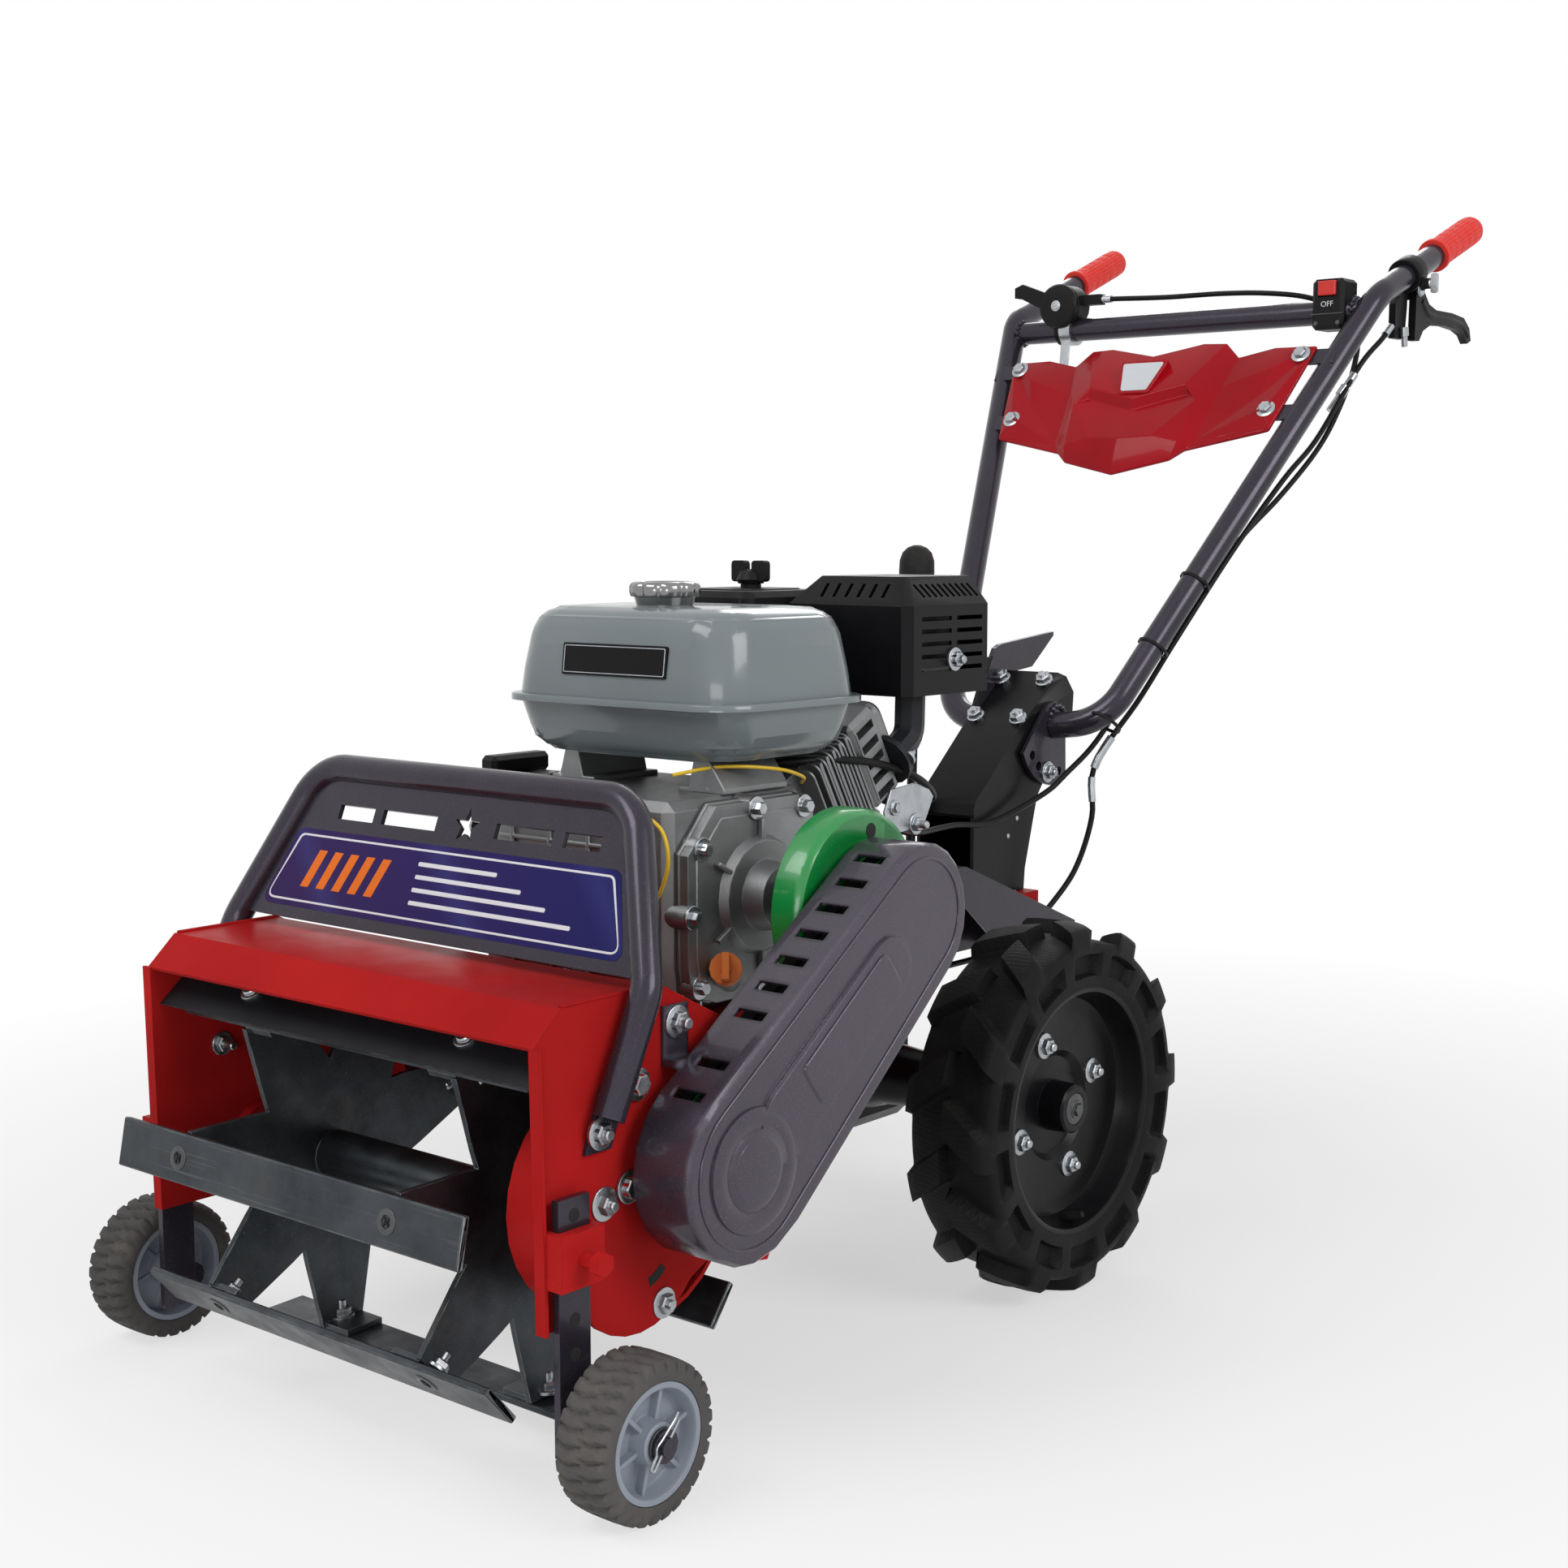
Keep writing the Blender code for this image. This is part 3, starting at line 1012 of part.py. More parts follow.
def rear_wheel(side, away):
    """A lugged tyre and its dished rim, bolted to a hub on the axle."""
    centre = (away * TRACK_HALF, AXLE_Y, TYRE_RADIUS)
    half = TYRE_WIDTH / 2
    base = TYRE_RADIUS - LUG_HEIGHT
    stations = [(-half + 0.004, RIM_RADIUS, 0), (-half, base - 0.012, 0),
                (-half + 0.004, base - 0.004, 1), (-0.002, base, 1), (0.002, base, 1),
                (half - 0.004, base - 0.004, 1), (half, base - 0.012, 0),
                (half - 0.004, RIM_RADIUS, 0)]
    tyre = lugged_ring(f"rear_tyre_{side}", stations, LUG_COUNT, LUG_HEIGHT, centre, 4, 9.0)
    outer = RIM_RADIUS - GAP
    wall = outer - 0.004
    bore = AXLE_RADIUS + GAP
    section = [(-0.034, outer), (0.034, outer), (0.034, wall), (0.014, wall), (0.010, 0.050),
               (0.004, 0.030), (0.030, 0.028), (0.030, bore), (-0.030, bore), (-0.030, 0.026),
               (-0.001, 0.026), (0.005, 0.048), (0.009, wall), (-0.034, wall)]
    turn = ALONG_X if away > 0 else AGAINST_X
    rim = turned_ring(f"rear_rim_{side}", section, centre, turn, 20)
    for angle in (20, 110, 200, 290):
        place = (centre[0] + away * 0.0105, AXLE_Y + 0.062 * math.cos(math.radians(angle)),
                 TYRE_RADIUS + 0.062 * math.sin(math.radians(angle)))
        join(rim, turned("wheel bolt", [(-0.003, 0.010), (0.004, 0.010), (0.004, 0.007), (0.010, 0.007)],
                         place, turn, steps=6))
    return finish(tyre, RUBBER), finish(rim, BLACK_PAINT)


def front_wheel(side, away):
    """A solid tyre on a plastic hub, on the pin of a strut that slides in its socket."""
    middle = ROTOR_X + away * CASTER_HALF
    centre = (middle, 0.0, CASTER_RADIUS)
    half = CASTER_WIDTH / 2
    turn = ALONG_X if away > 0 else AGAINST_X
    tread = [(-half, CASTER_HUB), (-half, CASTER_RADIUS - 0.006), (-half + 0.004, CASTER_RADIUS),
             (half - 0.004, CASTER_RADIUS), (half, CASTER_RADIUS - 0.006), (half, CASTER_HUB)]
    tyre = turned_ring(f"front_tyre_{side}", tread, centre, turn, 20)
    hub_half = half - 0.002
    rim = CASTER_HUB - GAP
    bore = CASTER_PIN + GAP
    section = [(-hub_half, rim), (hub_half, rim), (hub_half, rim - 0.005), (0.006, rim - 0.007),
               (0.004, 0.015), (hub_half + 0.002, 0.015), (hub_half + 0.002, bore),
               (-hub_half, bore), (-hub_half, 0.015), (-0.004, 0.015), (-0.002, rim - 0.007),
               (-hub_half, rim - 0.005)]
    hub = turned_ring(f"front_hub_{side}", section, centre, turn, 20)
    near, far = sorted((strut_face(away, -1), strut_face(away, 1)))
    strut = box(f"front_strut_{side}", (near, STRUT_Y - STRUT_WIDTH / 2, CASTER_RADIUS - 0.020),
                (far, STRUT_Y + STRUT_WIDTH / 2, STRUT_TOP))
    start = strut_face(away, 0)
    length = abs(middle + away * (half + 0.009) - start)
    pin = turned("wheel pin", [(0.0, CASTER_PIN), (length - 0.0055, CASTER_PIN),
                               (length - 0.0055, 0.012), (length - 0.0035, 0.012),
                               (length - 0.0035, CASTER_PIN), (length, CASTER_PIN)],
                 (start, 0.0, CASTER_RADIUS), turn, steps=12)
    shoulder = abs(middle - away * (hub_half + GAP) - start)
    join(strut, pin, turned("pin shoulder", [(0.0, 0.011), (shoulder, 0.011)],
                            (start, 0.0, CASTER_RADIUS), turn, steps=12))
    return finish(tyre, RUBBER_GREY), finish(hub, RIM_GREY), finish(strut, FRAME_PAINT)


def frame_wing():
    """The sloping plate beside the beam, over the inner side of the left wheel."""
    outline = [(0.590, 0.3670), (0.610, 0.3670), (0.800, 0.2910), (0.800, 0.2550), (0.797, 0.2550),
               (0.797, 0.2885), (0.609, 0.3635), (0.590, 0.3635)]
    wing = plate("frame_wing", [outline], BEAM_HALF + GAP, 0.150)
    web = [(0.590, 0.3660), (0.610, 0.3660), (0.799, 0.2905), (0.799, 0.2560), (0.700, 0.2560),
           (0.612, 0.3280), (0.590, 0.3280)]
    join(wing, plate("wing web", [web], 0.147, 0.150))
    join(wing, plate("wing seat", [[(0.700, 0.2560), (0.799, 0.2560), (0.799, 0.2905),
                                    (0.700, 0.3290)]], BEAM_HALF + GAP, BEAM_HALF + 0.0033))
    return finish(wing, FRAME_PAINT)


def handle_column():
    """A folded channel on the beam with a sloping, bolted top and a fin on its right side."""
    foot = BEAM_TOP + GAP
    side = [(COLUMN_FRONT, foot), (COLUMN_REAR, foot), (0.881, 0.323), (0.897, 0.378),
            (0.903, 0.398), (0.970, 0.480), (0.972, 0.505), (0.957, 0.5225), CREASE_HIGH,
            CREASE_LOW, (0.790, 0.4035), (COLUMN_FRONT, 0.396)]
    hollow = [(COLUMN_FRONT + COLUMN_SHEET, 0.0), (COLUMN_REAR - COLUMN_SHEET, 0.0), (0.877, 0.324),
              (0.893, 0.379), (0.899, 0.400), (0.966, 0.4815), (0.968, 0.504), (0.955, 0.5175),
              (0.941, 0.5230), (0.874, 0.4705), (0.7935, 0.3995), (COLUMN_FRONT + COLUMN_SHEET, 0.394)]
    inside = COLUMN_HALF - COLUMN_SHEET
    column = plate("handle_column", [side], -COLUMN_HALF, COLUMN_HALF)
    cut(column, plate("column hollow", [hollow], -inside, inside),
        box("column mouth", (-inside, COLUMN_FRONT - 0.01, foot - 0.01),
            (inside, COLUMN_FRONT + 0.01, 0.388)))
    for x in (-0.027, 0.027):
        for reach in (0.0095, 0.0712):
            y = CREASE_LOW[0] + reach * math.cos(COLUMN_SLOPE)
            z = CREASE_LOW[1] + reach * math.sin(COLUMN_SLOPE)
            join(column, hex_bolt("column bolt", (x, y, z), 0.008, 0.008, (COLUMN_SLOPE, 0, 0)))
    fin = [(0.874, 0.474), (0.936, 0.522), (0.945, 0.524), (0.992, 0.529), (1.034, 0.5615),
           (1.030, 0.5640), (0.909, 0.5424)]
    join(column, plate("column fin", [fin], -COLUMN_HALF, -COLUMN_HALF + 0.005))
    pin = BRACKET_THICK - 0.001
    for away, turn in ((1, ALONG_X), (-1, AGAINST_X)):
        join(column, turned("pivot pin", [(0.0, PIVOT_PIN), (pin, PIVOT_PIN)],
                            (away * (COLUMN_HALF - 0.001), PIVOT_Y, PIVOT_Z), turn, steps=16))
    return finish(column, BLACK_PAINT)


def handlebar():
    """Two bent tubes, their crossbar, dashboard tabs and drilled pivot brackets, welded."""
    bracket_face = COLUMN_HALF + 0.001
    start = bracket_face + BRACKET_THICK - 0.0005
    made = None
    for away in (1, -1):
        corners = [(start, PIVOT_Y, PIVOT_Z), (BEND_HALF, BEND_Y, BEND_Z), TUBE_BEND, GRIP_END]
        corners = [(away * x, y, z) for x, y, z in corners]
        side = tube("handlebar" if made is None else "right tube", bent(corners, 0.055, 4),
                    BAR_RADIUS, 2)
        if made is None:
            made = side
        else:
            join(made, side)
    join(made, rod("crossbar", (-CROSSBAR_HALF, CROSSBAR_Y, CROSSBAR_Z), 2 * CROSSBAR_HALF,
                   CROSSBAR_RADIUS, steps=12))
    for away, turn in ((1, ALONG_X), (-1, AGAINST_X)):
        low, high = sorted((away * bracket_face, away * (bracket_face + BRACKET_THICK)))
        edge = (arc((PIVOT_Y, PIVOT_Z), 0.064, 204.0, 292.0, 6)
                + arc((PIVOT_Y, PIVOT_Z), 0.026, -30.0, 150.0, 6))
        holes = [circle((PIVOT_Y, PIVOT_Z), PIVOT_PIN + GAP, 16)]
        for angle in (215.0, 235.0, 281.0):
            holes.append(circle(bracket_point(angle), 0.0053, 8))
        join(made, plate("pivot bracket", [edge, *holes], low, high))
        y, z = bracket_point(255.0)
        join(made, hex_bolt("height bolt", (away * (bracket_face + BRACKET_THICK), y, z), 0.007,
                            0.007, turn))
        for reach in (0.0, 0.076):
            x = tube_side(0.0) - 0.0209 + reach * 0.34
            tab = box("dashboard tab", (-0.020, -0.010, -0.0015), (0.020, 0.010, 0.0015))
            tab.location = dash_point(away * x, reach, BAR_RADIUS - 0.0015)
            tab.rotation_euler = (TUBE_SLOPE, 0, 0)
            join(made, tab)
    return finish(made, FRAME_PAINT)


def bracket_point(angle):
    """Centre of a hole for the height bolt, at its angle round the pivot."""
    return (PIVOT_Y + 0.0505 * math.cos(math.radians(angle)),
            PIVOT_Z + 0.0505 * math.sin(math.radians(angle)))


def dash_point(x, up, out):
    """A point of the plane of the handlebar tubes, up along them and out towards the front."""
    along = up - DASH_REACH
    return (x, CROSSBAR_Y + along * math.cos(TUBE_SLOPE) - out * math.sin(TUBE_SLOPE),
            CROSSBAR_Z + along * math.sin(TUBE_SLOPE) + out * math.cos(TUBE_SLOPE))


def tube_side(up):
    """X of the middle of the left tube, at a place up along the tubes."""
    along = up - DASH_REACH
    return CROSSBAR_HALF + along * (CROSSBAR_HALF - BEND_HALF) / TUBE_LENGTH


def mirrored(half):
    """The whole outline from its right half, which starts and ends on the centre line."""
    return half + [(-x, y) for x, y in reversed(half) if x > 0]


def grips():
    made = []
    for side, away in (("left", 1), ("right", -1)):
        heading, turn = grip_heading(away)
        end = Vector((away * GRIP_END[0], GRIP_END[1], GRIP_END[2])) + heading * 0.0063
        start = end - heading * GRIP_LENGTH
        grip = turned(f"grip_{side}", [(0.0, GRIP_RADIUS), (GRIP_LENGTH, GRIP_RADIUS),
                                       (GRIP_LENGTH + 0.004, GRIP_RADIUS - 0.004)],
                      start, turn, steps=20)
        cut(grip, bore("grip bore", start - heading * 0.01, 0.010 + GRIP_LENGTH - 0.0060,
                       BAR_RADIUS, turn))
        made.append(finish(grip, RED_RUBBER))
    return made


def grip_heading(away):
    """Direction of a grip's tube, and the turn that brings local Z onto it."""
    heading = (Vector(GRIP_END) - Vector(TUBE_BEND)).normalized()
    heading.x *= away
    return heading, heading.to_track_quat("Z", "Y").to_euler()


def dashboard():
    """The faceted panel across the tubes, with a raised middle and four bolts."""
    outline = mirrored([(0.0, -0.085), (0.068, -0.066), (0.083, -0.052), (0.176, -0.027),
                        (0.198, 0.088), (0.148, 0.089), (0.107, 0.077), (0.088, 0.095),
                        (0.060, 0.095), (0.0, 0.080)])
    foot = mirrored([(0.0, -0.083), (0.067, -0.064), (0.082, -0.050), (0.104, 0.070),
                     (0.086, 0.090), (0.0, 0.076)])
    crest = mirrored([(0.0, -0.024), (0.040, -0.012), (0.058, 0.002), (0.078, 0.060),
                      (0.074, 0.084), (0.0, 0.070)])
    brow = mirrored([(0.0, -0.010), (0.071, 0.016), (0.082, 0.094), (0.060, 0.0945), (0.0, 0.0795)])
    panel = lofted("dashboard", [(outline, 0.0), (outline, DASH_SHEET)], (0, 0, 0))
    centre = lofted("dashboard centre", [(foot, 0.001), (foot, 0.006), (crest, 0.016)], (0, 0, 0))
    ledge = lofted("dashboard brow", [(brow, 0.002), (brow, 0.022)], (0, 0, 0))
    for piece in (panel, centre, ledge):
        piece.location = dash_point(0.0, 0.0, BAR_RADIUS + GAP)
        piece.rotation_euler = (TUBE_SLOPE, 0, 0)
    join(panel, centre, ledge)
    for away in (-1, 1):
        for x, up in ((0.166, 0.0), (0.184, 0.075)):
            join(panel, hex_bolt("dashboard bolt", dash_point(away * x, up, BAR_RADIUS + DASH_SHEET),
                                 0.007, 0.006, (TUBE_SLOPE, 0, 0)))
    return finish(panel, RED)


def clutch_lever_pieces():
    """The clamp on the left tube with its lever housing, and the lever."""
    heading, turn = grip_heading(1)
    middle = Vector(TUBE_BEND) + heading * 0.080
    clamp = rod("lever_clamp", middle - heading * 0.010, 0.020, 0.019, turn)
    cut(clamp, bore("clamp bore", middle - heading * 0.015, 0.030, BAR_RADIUS, turn))
    body = [(1.3150, 0.894), (1.3400, 0.894), (1.3450, 0.930), (1.3450, 0.9505), (1.3270, 0.9435),
            (1.3150, 0.932)]
    inner = LEVER_FACE - 0.008
    join(clamp, plate("lever housing", [body], inner, LEVER_FACE))
    ear = [(CLUTCH_Y - 0.020, CLUTCH_Z - 0.012), (CLUTCH_Y + 0.010, CLUTCH_Z - 0.008),
           (CLUTCH_Y + 0.009, CLUTCH_Z + 0.008), (CLUTCH_Y - 0.010, CLUTCH_Z + 0.004),
           (CLUTCH_Y - 0.018, CLUTCH_Z - 0.001)]
    pin = 0.004
    join(clamp, plate("pivot ear", [ear], inner, LEVER_FACE),
         rod("lever pin", (LEVER_FACE - 0.001, CLUTCH_Y, CLUTCH_Z), 0.012, pin, steps=10),
         hex_bolt("clamp wing", middle + Vector((0.018, 0.002, -0.012)), 0.006, 0.008))
    blade = [(1.3480, 0.893), (1.3600, 0.893), (1.3700, 0.905), (1.3900, 0.913), (1.4300, 0.915),
             (1.4650, 0.913), (1.4850, 0.908), (1.4960, 0.899), (1.5060, 0.903), (1.5010, 0.917),
             (1.4840, 0.928), (1.4500, 0.931), (1.4050, 0.931), (1.3850, 0.936), (1.3730, 0.947),
             (1.3640, 0.957), (1.3555, 0.955), (1.3495, 0.943)]
    lever = plate("clutch_lever", [blade, circle((CLUTCH_Y, CLUTCH_Z), pin + GAP, 12)],
                  LEVER_FACE + GAP, LEVER_FACE + 0.009)
    return finish(clamp, BLACK_PLASTIC), finish(lever, BLACK_PLASTIC)


def throttle_pieces():
    """A round case strapped to the crossbar, and its thumb lever."""
    centre = Vector((THROTTLE_X, THROTTLE_Y, THROTTLE_Z))
    half, post = 0.013, 0.004
    case = turned("throttle_case", [(-half, 0.026), (0.010, 0.026), (half, 0.022)], centre,
                  FACING_Y, steps=20)
    join(case, rod("throttle strap", (centre.x - 0.007, CROSSBAR_Y, CROSSBAR_Z), 0.014, 0.0175),
         box("cable outlet", centre + Vector((0.020, -0.006, 0.0)), centre + Vector((0.052, 0.006, 0.012))),
         rod("lever post", centre + Vector((0, 0.001 - half, 0)), 0.008, post, FACING_Y, 10))
    cut(case, bore("strap bore", (centre.x - 0.035, CROSSBAR_Y, CROSSBAR_Z), 0.070, CROSSBAR_RADIUS))
    front = centre.y - half - GAP
    arm = [(centre.x - 0.004, centre.z - 0.011), (centre.x + 0.009, centre.z - 0.004),
           (centre.x + 0.008, centre.z + 0.009), (centre.x - 0.004, centre.z + 0.012),
           (centre.x - 0.050, centre.z + 0.029), (centre.x - 0.061, centre.z + 0.025),
           (centre.x - 0.061, centre.z + 0.013), (centre.x - 0.050, centre.z + 0.011)]
    lever = plate("throttle_lever", [arm, circle((centre.x, centre.z), post + GAP, 12)],
                  front - 0.006, front, FACING_Y)
    return finish(case, BLACK_PLASTIC), finish(lever, BLACK_PLASTIC)


def switch_pieces():
    """The stop switch on the left end of the crossbar, with its rocker."""
    high = Vector((CROSSBAR_HALF - SWITCH_OUT, 1.2690, 0.9555))
    low = high - Vector((SWITCH_WIDTH, 0.0380, 0.0555))
    case = box("switch_case", low, high, 0.004)
    cut(case, bore("switch bore", (low.x - 0.01, CROSSBAR_Y, CROSSBAR_Z), 0.07, CROSSBAR_RADIUS))
    middle = (low.x + high.x) / 2
    hinge = Vector((middle, low.y + 0.0040, 0.9450))
    half = Vector((0.0105, 0.0, 0.0080))
    cut(case, box("rocker pocket", (middle - half.x - GAP, low.y - 0.01, hinge.z - half.z - 0.0016),
                  (middle + half.x + GAP, low.y + 0.0055, hinge.z + half.z + 0.0016)))
    rocker = box("switch_rocker", (middle - half.x, low.y - 0.0030, hinge.z - half.z),
                 (middle + half.x, low.y + 0.0036, hinge.z + half.z), 0.001)
    return finish(case, BLACK_PLASTIC), finish(rocker, RED_RUBBER), hinge


def gear_lever():
    """A bent rod in a ball socket on the beam, with a rubber knob."""
    ball = Vector((SHIFT_X, LEVER_Y, LEVER_Z))
    profile = [(0.008 * math.sin(math.radians(angle)), 0.008 * math.cos(math.radians(angle)))
               for angle in (-60, -30, 0, 30)]
    lever = turned("gear_lever", [(-0.008, 0.001), *profile, (0.009, 0.005), (0.278, 0.005)], ball,
                   (math.radians(-1.6), 0, 0), steps=12)
    knob = [(0.275, 0.011), (0.280, 0.0150), (0.315, 0.0175), (0.332, 0.0165), (0.340, 0.0110),
            (0.343, 0.004)]
    join(lever, turned("lever knob", knob, ball, (math.radians(-1.6), 0, 0), steps=16))
    return finish(lever, BLACK_PLASTIC)


def tension_arm():
    """The arm inside the cover whose roller tightens the belts."""
    pivot = (TENSION_Y, TENSION_Z)
    roller = belt_point(0.135, 0.020)[1:]
    face = COVER_BASE_X + 0.004
    arm = plate("tension_arm", [loop_round(pivot, 0.013, roller, 0.010, 6),
                                circle(pivot, TENSION_STUD + GAP, 12)], face - 0.003, face)
    join(arm, turned("tension roller", [(face - 0.001, 0.010), (face + 0.0025, 0.010),
                                        (face + 0.0025, 0.018), (face + 0.0345, 0.018)],
                     (0, *roller), steps=20))
    return finish(arm, DARK_STEEL)


def cables():
    """The throttle cable and the clutch cable, clipped behind the left tube."""
    def behind(up, side, back=0.0):
        return dash_point(tube_side(up) + side, up, -(BAR_RADIUS + CABLE_RADIUS + 0.001 + back))

    clutch = [(0.232, 1.3130, 0.9070), (0.229, 1.297, 0.892), (0.216, 1.268, 0.860),
              behind(0.010, 0.0, 0.028), behind(-0.060, 0.006, 0.010), behind(-0.160, 0.008),
              behind(-0.280, 0.008), (0.110, 0.985, 0.500), (0.078, 0.950, 0.430),
              (0.080, 0.942, 0.375), (0.074, 0.923, 0.324), (0.066, 0.893, 0.290),
              (0.061, 0.850, 0.264), (0.060, 0.800, 0.249), (0.060, 0.700, 0.247),
              (0.062, 0.600, 0.250), (0.072, 0.550, 0.258), (0.120, 0.530, 0.262),
              (0.165, 0.500, 0.262), (0.176, 0.440, 0.262), (0.182, 0.350, 0.258),
              (0.210, 0.290, 0.250), (0.250, 0.250, 0.244), (0.2545, 0.228, 0.241),
              (0.2540, 0.205, 0.240)]
    throttle = [(-0.1047, THROTTLE_Y, 0.954), (-0.085, 1.248, 0.9535), (-0.020, 1.250, 0.9510),
                (0.050, 1.252, 0.9505), (0.106, 1.256, 0.9475), (0.150, 1.271, 0.941),
                (0.185, 1.286, 0.925), (0.204, 1.286, 0.900), (0.210, 1.268, 0.860),
                (0.203, 1.245, 0.810), (0.190, 1.2225, 0.767), (0.171, 1.175, 0.716),
                (0.151, 1.118, 0.666), behind(-0.250, -0.005, 0.004), (0.094, 0.988, 0.505),
                (0.076, 0.952, 0.453), (0.0655, 0.914, 0.4235), (0.055, 0.8862, 0.403),
                (0.0445, 0.8078, 0.3806), (0.046, 0.7344, 0.3841), (0.060, 0.660, 0.386),
                (0.080, 0.600, 0.396), (0.090, 0.560, 0.412), (0.088, 0.5385, 0.425)]
    made = []
    for name, route, count in (("clutch_cable", clutch, 36), ("throttle_cable", throttle, 34)):
        made.append(finish(tube(name, smooth_path(route, count), CABLE_RADIUS), BLACK_PLASTIC))
    return made


def main():
    root = joint_empty("mini_tiller_root", (ORIGIN_X, ORIGIN_Y, 0.0))
    root.location = (0, 0, 0)
    clutch_cable, throttle_cable = cables()
    muffler, muffler_guard = muffler_pieces()
    cleaner, cleaner_knob = air_cleaner_pieces()
    recoil, recoil_grip = recoil_pieces()
    gearbox, axle = gearbox_pieces()
    carry(root, front_housing(), scraper_plate(), front_guard(), rotor_chain_case(), chain_loop(),
          belt_cover(), *belts(), crankcase(), cylinder_head(), fuel_tank(), carburettor(),
          chassis_frame(), frame_wing(), handle_column(), muffler, muffler_guard, cleaner, recoil,
          gearbox)

    rotor, bars = rotor_pieces()
    carry(joint_empty("rotor_joint", (ROTOR_X, ROTOR_Y, ROTOR_Z), root), rotor, *bars)
    carry(joint_empty("countershaft_joint", (HOUSING_LEFT, COUNTER_Y, COUNTER_Z), root),
          countershaft())
    carry(joint_empty("crank_joint", (0, CRANK_Y, CRANK_Z), root), *crank_pieces())
    carry(joint_empty("tension_joint", (HOUSING_LEFT, TENSION_Y, TENSION_Z), root), tension_arm())
    carry(joint_empty("fuel_cap_joint", (TANK_X, FILLER_Y, FILLER_TOP), root), fuel_cap())
    carry(joint_empty("oil_cap_joint", FILLER_FOOT, root), oil_cap())
    carry(joint_empty("cleaner_knob_joint", KNOB_PLACE, root), cleaner_knob)
    carry(joint_empty("recoil_joint", (ENGINE_RIGHT - 0.045, CRANK_Y, CRANK_Z + 0.080), root),
          recoil_grip)
    carry(joint_empty("gear_lever_joint", (SHIFT_X, LEVER_Y, LEVER_Z), root), gear_lever())
    wheels = joint_empty("rear_wheel_joint", (0, AXLE_Y, TYRE_RADIUS), root)
    carry(wheels, axle, *rear_wheel("left", 1), *rear_wheel("right", -1))
    for side, away in (("left", 1), ("right", -1)):
        tyre, hub, strut = front_wheel(side, away)
        slide = joint_empty(f"strut_joint_{side}", (ROTOR_X + away * HOUSING_HALF, STRUT_Y, 0.18), root)
        carry(slide, strut)
        spin = joint_empty(f"front_wheel_joint_{side}",
                           (ROTOR_X + away * CASTER_HALF, 0.0, CASTER_RADIUS), slide)
        carry(spin, tyre, hub)

    handle = joint_empty("handle_joint", (0, PIVOT_Y, PIVOT_Z), root)
    clamp, clutch_lever = clutch_lever_pieces()
    throttle_case, throttle_lever = throttle_pieces()
    switch_case, rocker, hinge = switch_pieces()
    carry(handle, handlebar(), *grips(), dashboard(), clamp, throttle_case, switch_case,
          clutch_cable, throttle_cable)
    carry(joint_empty("clutch_joint", (CLUTCH_X, CLUTCH_Y, CLUTCH_Z), handle), clutch_lever)
    carry(joint_empty("throttle_joint", (THROTTLE_X, THROTTLE_Y, THROTTLE_Z), handle),
          throttle_lever)
    carry(joint_empty("rocker_joint", hinge, handle), rocker)


clear_scene()
PLACES = {}
TOOLS = {}
PARTS = collection("mini_tiller")
CUTTERS = collection("cutters")
RED = material("red_paint", (0.42, 0.010, 0.014), 0.35)
FRAME_PAINT = material("frame_paint", (0.066, 0.056, 0.080), 0.35, 0.4)
BLACK_PAINT = material("black_paint", (0.012, 0.012, 0.013), 0.45)
BLACK_STEEL = material("black_steel", (0.020, 0.022, 0.025), 0.5, 0.4)
DARK_STEEL = material("dark_steel", (0.060, 0.068, 0.075), 0.45, 0.8)
DRUM_GREEN = material("drum_green", (0.004, 0.22, 0.040), 0.35)
CAST_ALUMINIUM = material("cast_aluminium", (0.42, 0.43, 0.44), 0.45, 0.8)
TANK_GREY = material("tank_grey", (0.26, 0.30, 0.31), 0.25)
CHROME = material("chrome", (0.72, 0.72, 0.72), 0.15, 1.0)
BLACK_PLASTIC = material("black_plastic", (0.012, 0.012, 0.012), 0.55)
ORANGE_PLASTIC = material("orange_plastic", (0.80, 0.20, 0.010), 0.45)
RUBBER = material("rubber", (0.018, 0.018, 0.018), 0.8)
RUBBER_GREY = material("grey_rubber", (0.080, 0.075, 0.075), 0.8)
RIM_GREY = material("rim_grey", (0.22, 0.25, 0.30), 0.4)
RED_RUBBER = material("red_rubber", (0.72, 0.020, 0.012), 0.6)
main()
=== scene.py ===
import math

import bmesh
import bpy
from mathutils import Matrix, Vector

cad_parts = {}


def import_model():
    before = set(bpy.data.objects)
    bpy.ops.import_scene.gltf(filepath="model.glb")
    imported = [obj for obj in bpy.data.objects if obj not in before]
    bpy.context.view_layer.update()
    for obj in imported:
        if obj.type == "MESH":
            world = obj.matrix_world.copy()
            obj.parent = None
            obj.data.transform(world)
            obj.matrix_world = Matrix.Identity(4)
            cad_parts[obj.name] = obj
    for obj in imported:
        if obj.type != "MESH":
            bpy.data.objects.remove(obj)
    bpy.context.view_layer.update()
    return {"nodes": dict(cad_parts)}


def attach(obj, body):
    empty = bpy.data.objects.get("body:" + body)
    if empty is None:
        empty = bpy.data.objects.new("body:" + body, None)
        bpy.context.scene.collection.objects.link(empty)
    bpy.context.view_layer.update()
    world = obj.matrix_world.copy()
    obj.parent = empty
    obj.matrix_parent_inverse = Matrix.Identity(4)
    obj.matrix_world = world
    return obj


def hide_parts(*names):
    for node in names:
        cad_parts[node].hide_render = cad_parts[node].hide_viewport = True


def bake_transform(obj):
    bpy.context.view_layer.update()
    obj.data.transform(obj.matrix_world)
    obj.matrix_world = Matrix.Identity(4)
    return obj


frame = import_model()
NODES = frame["nodes"]

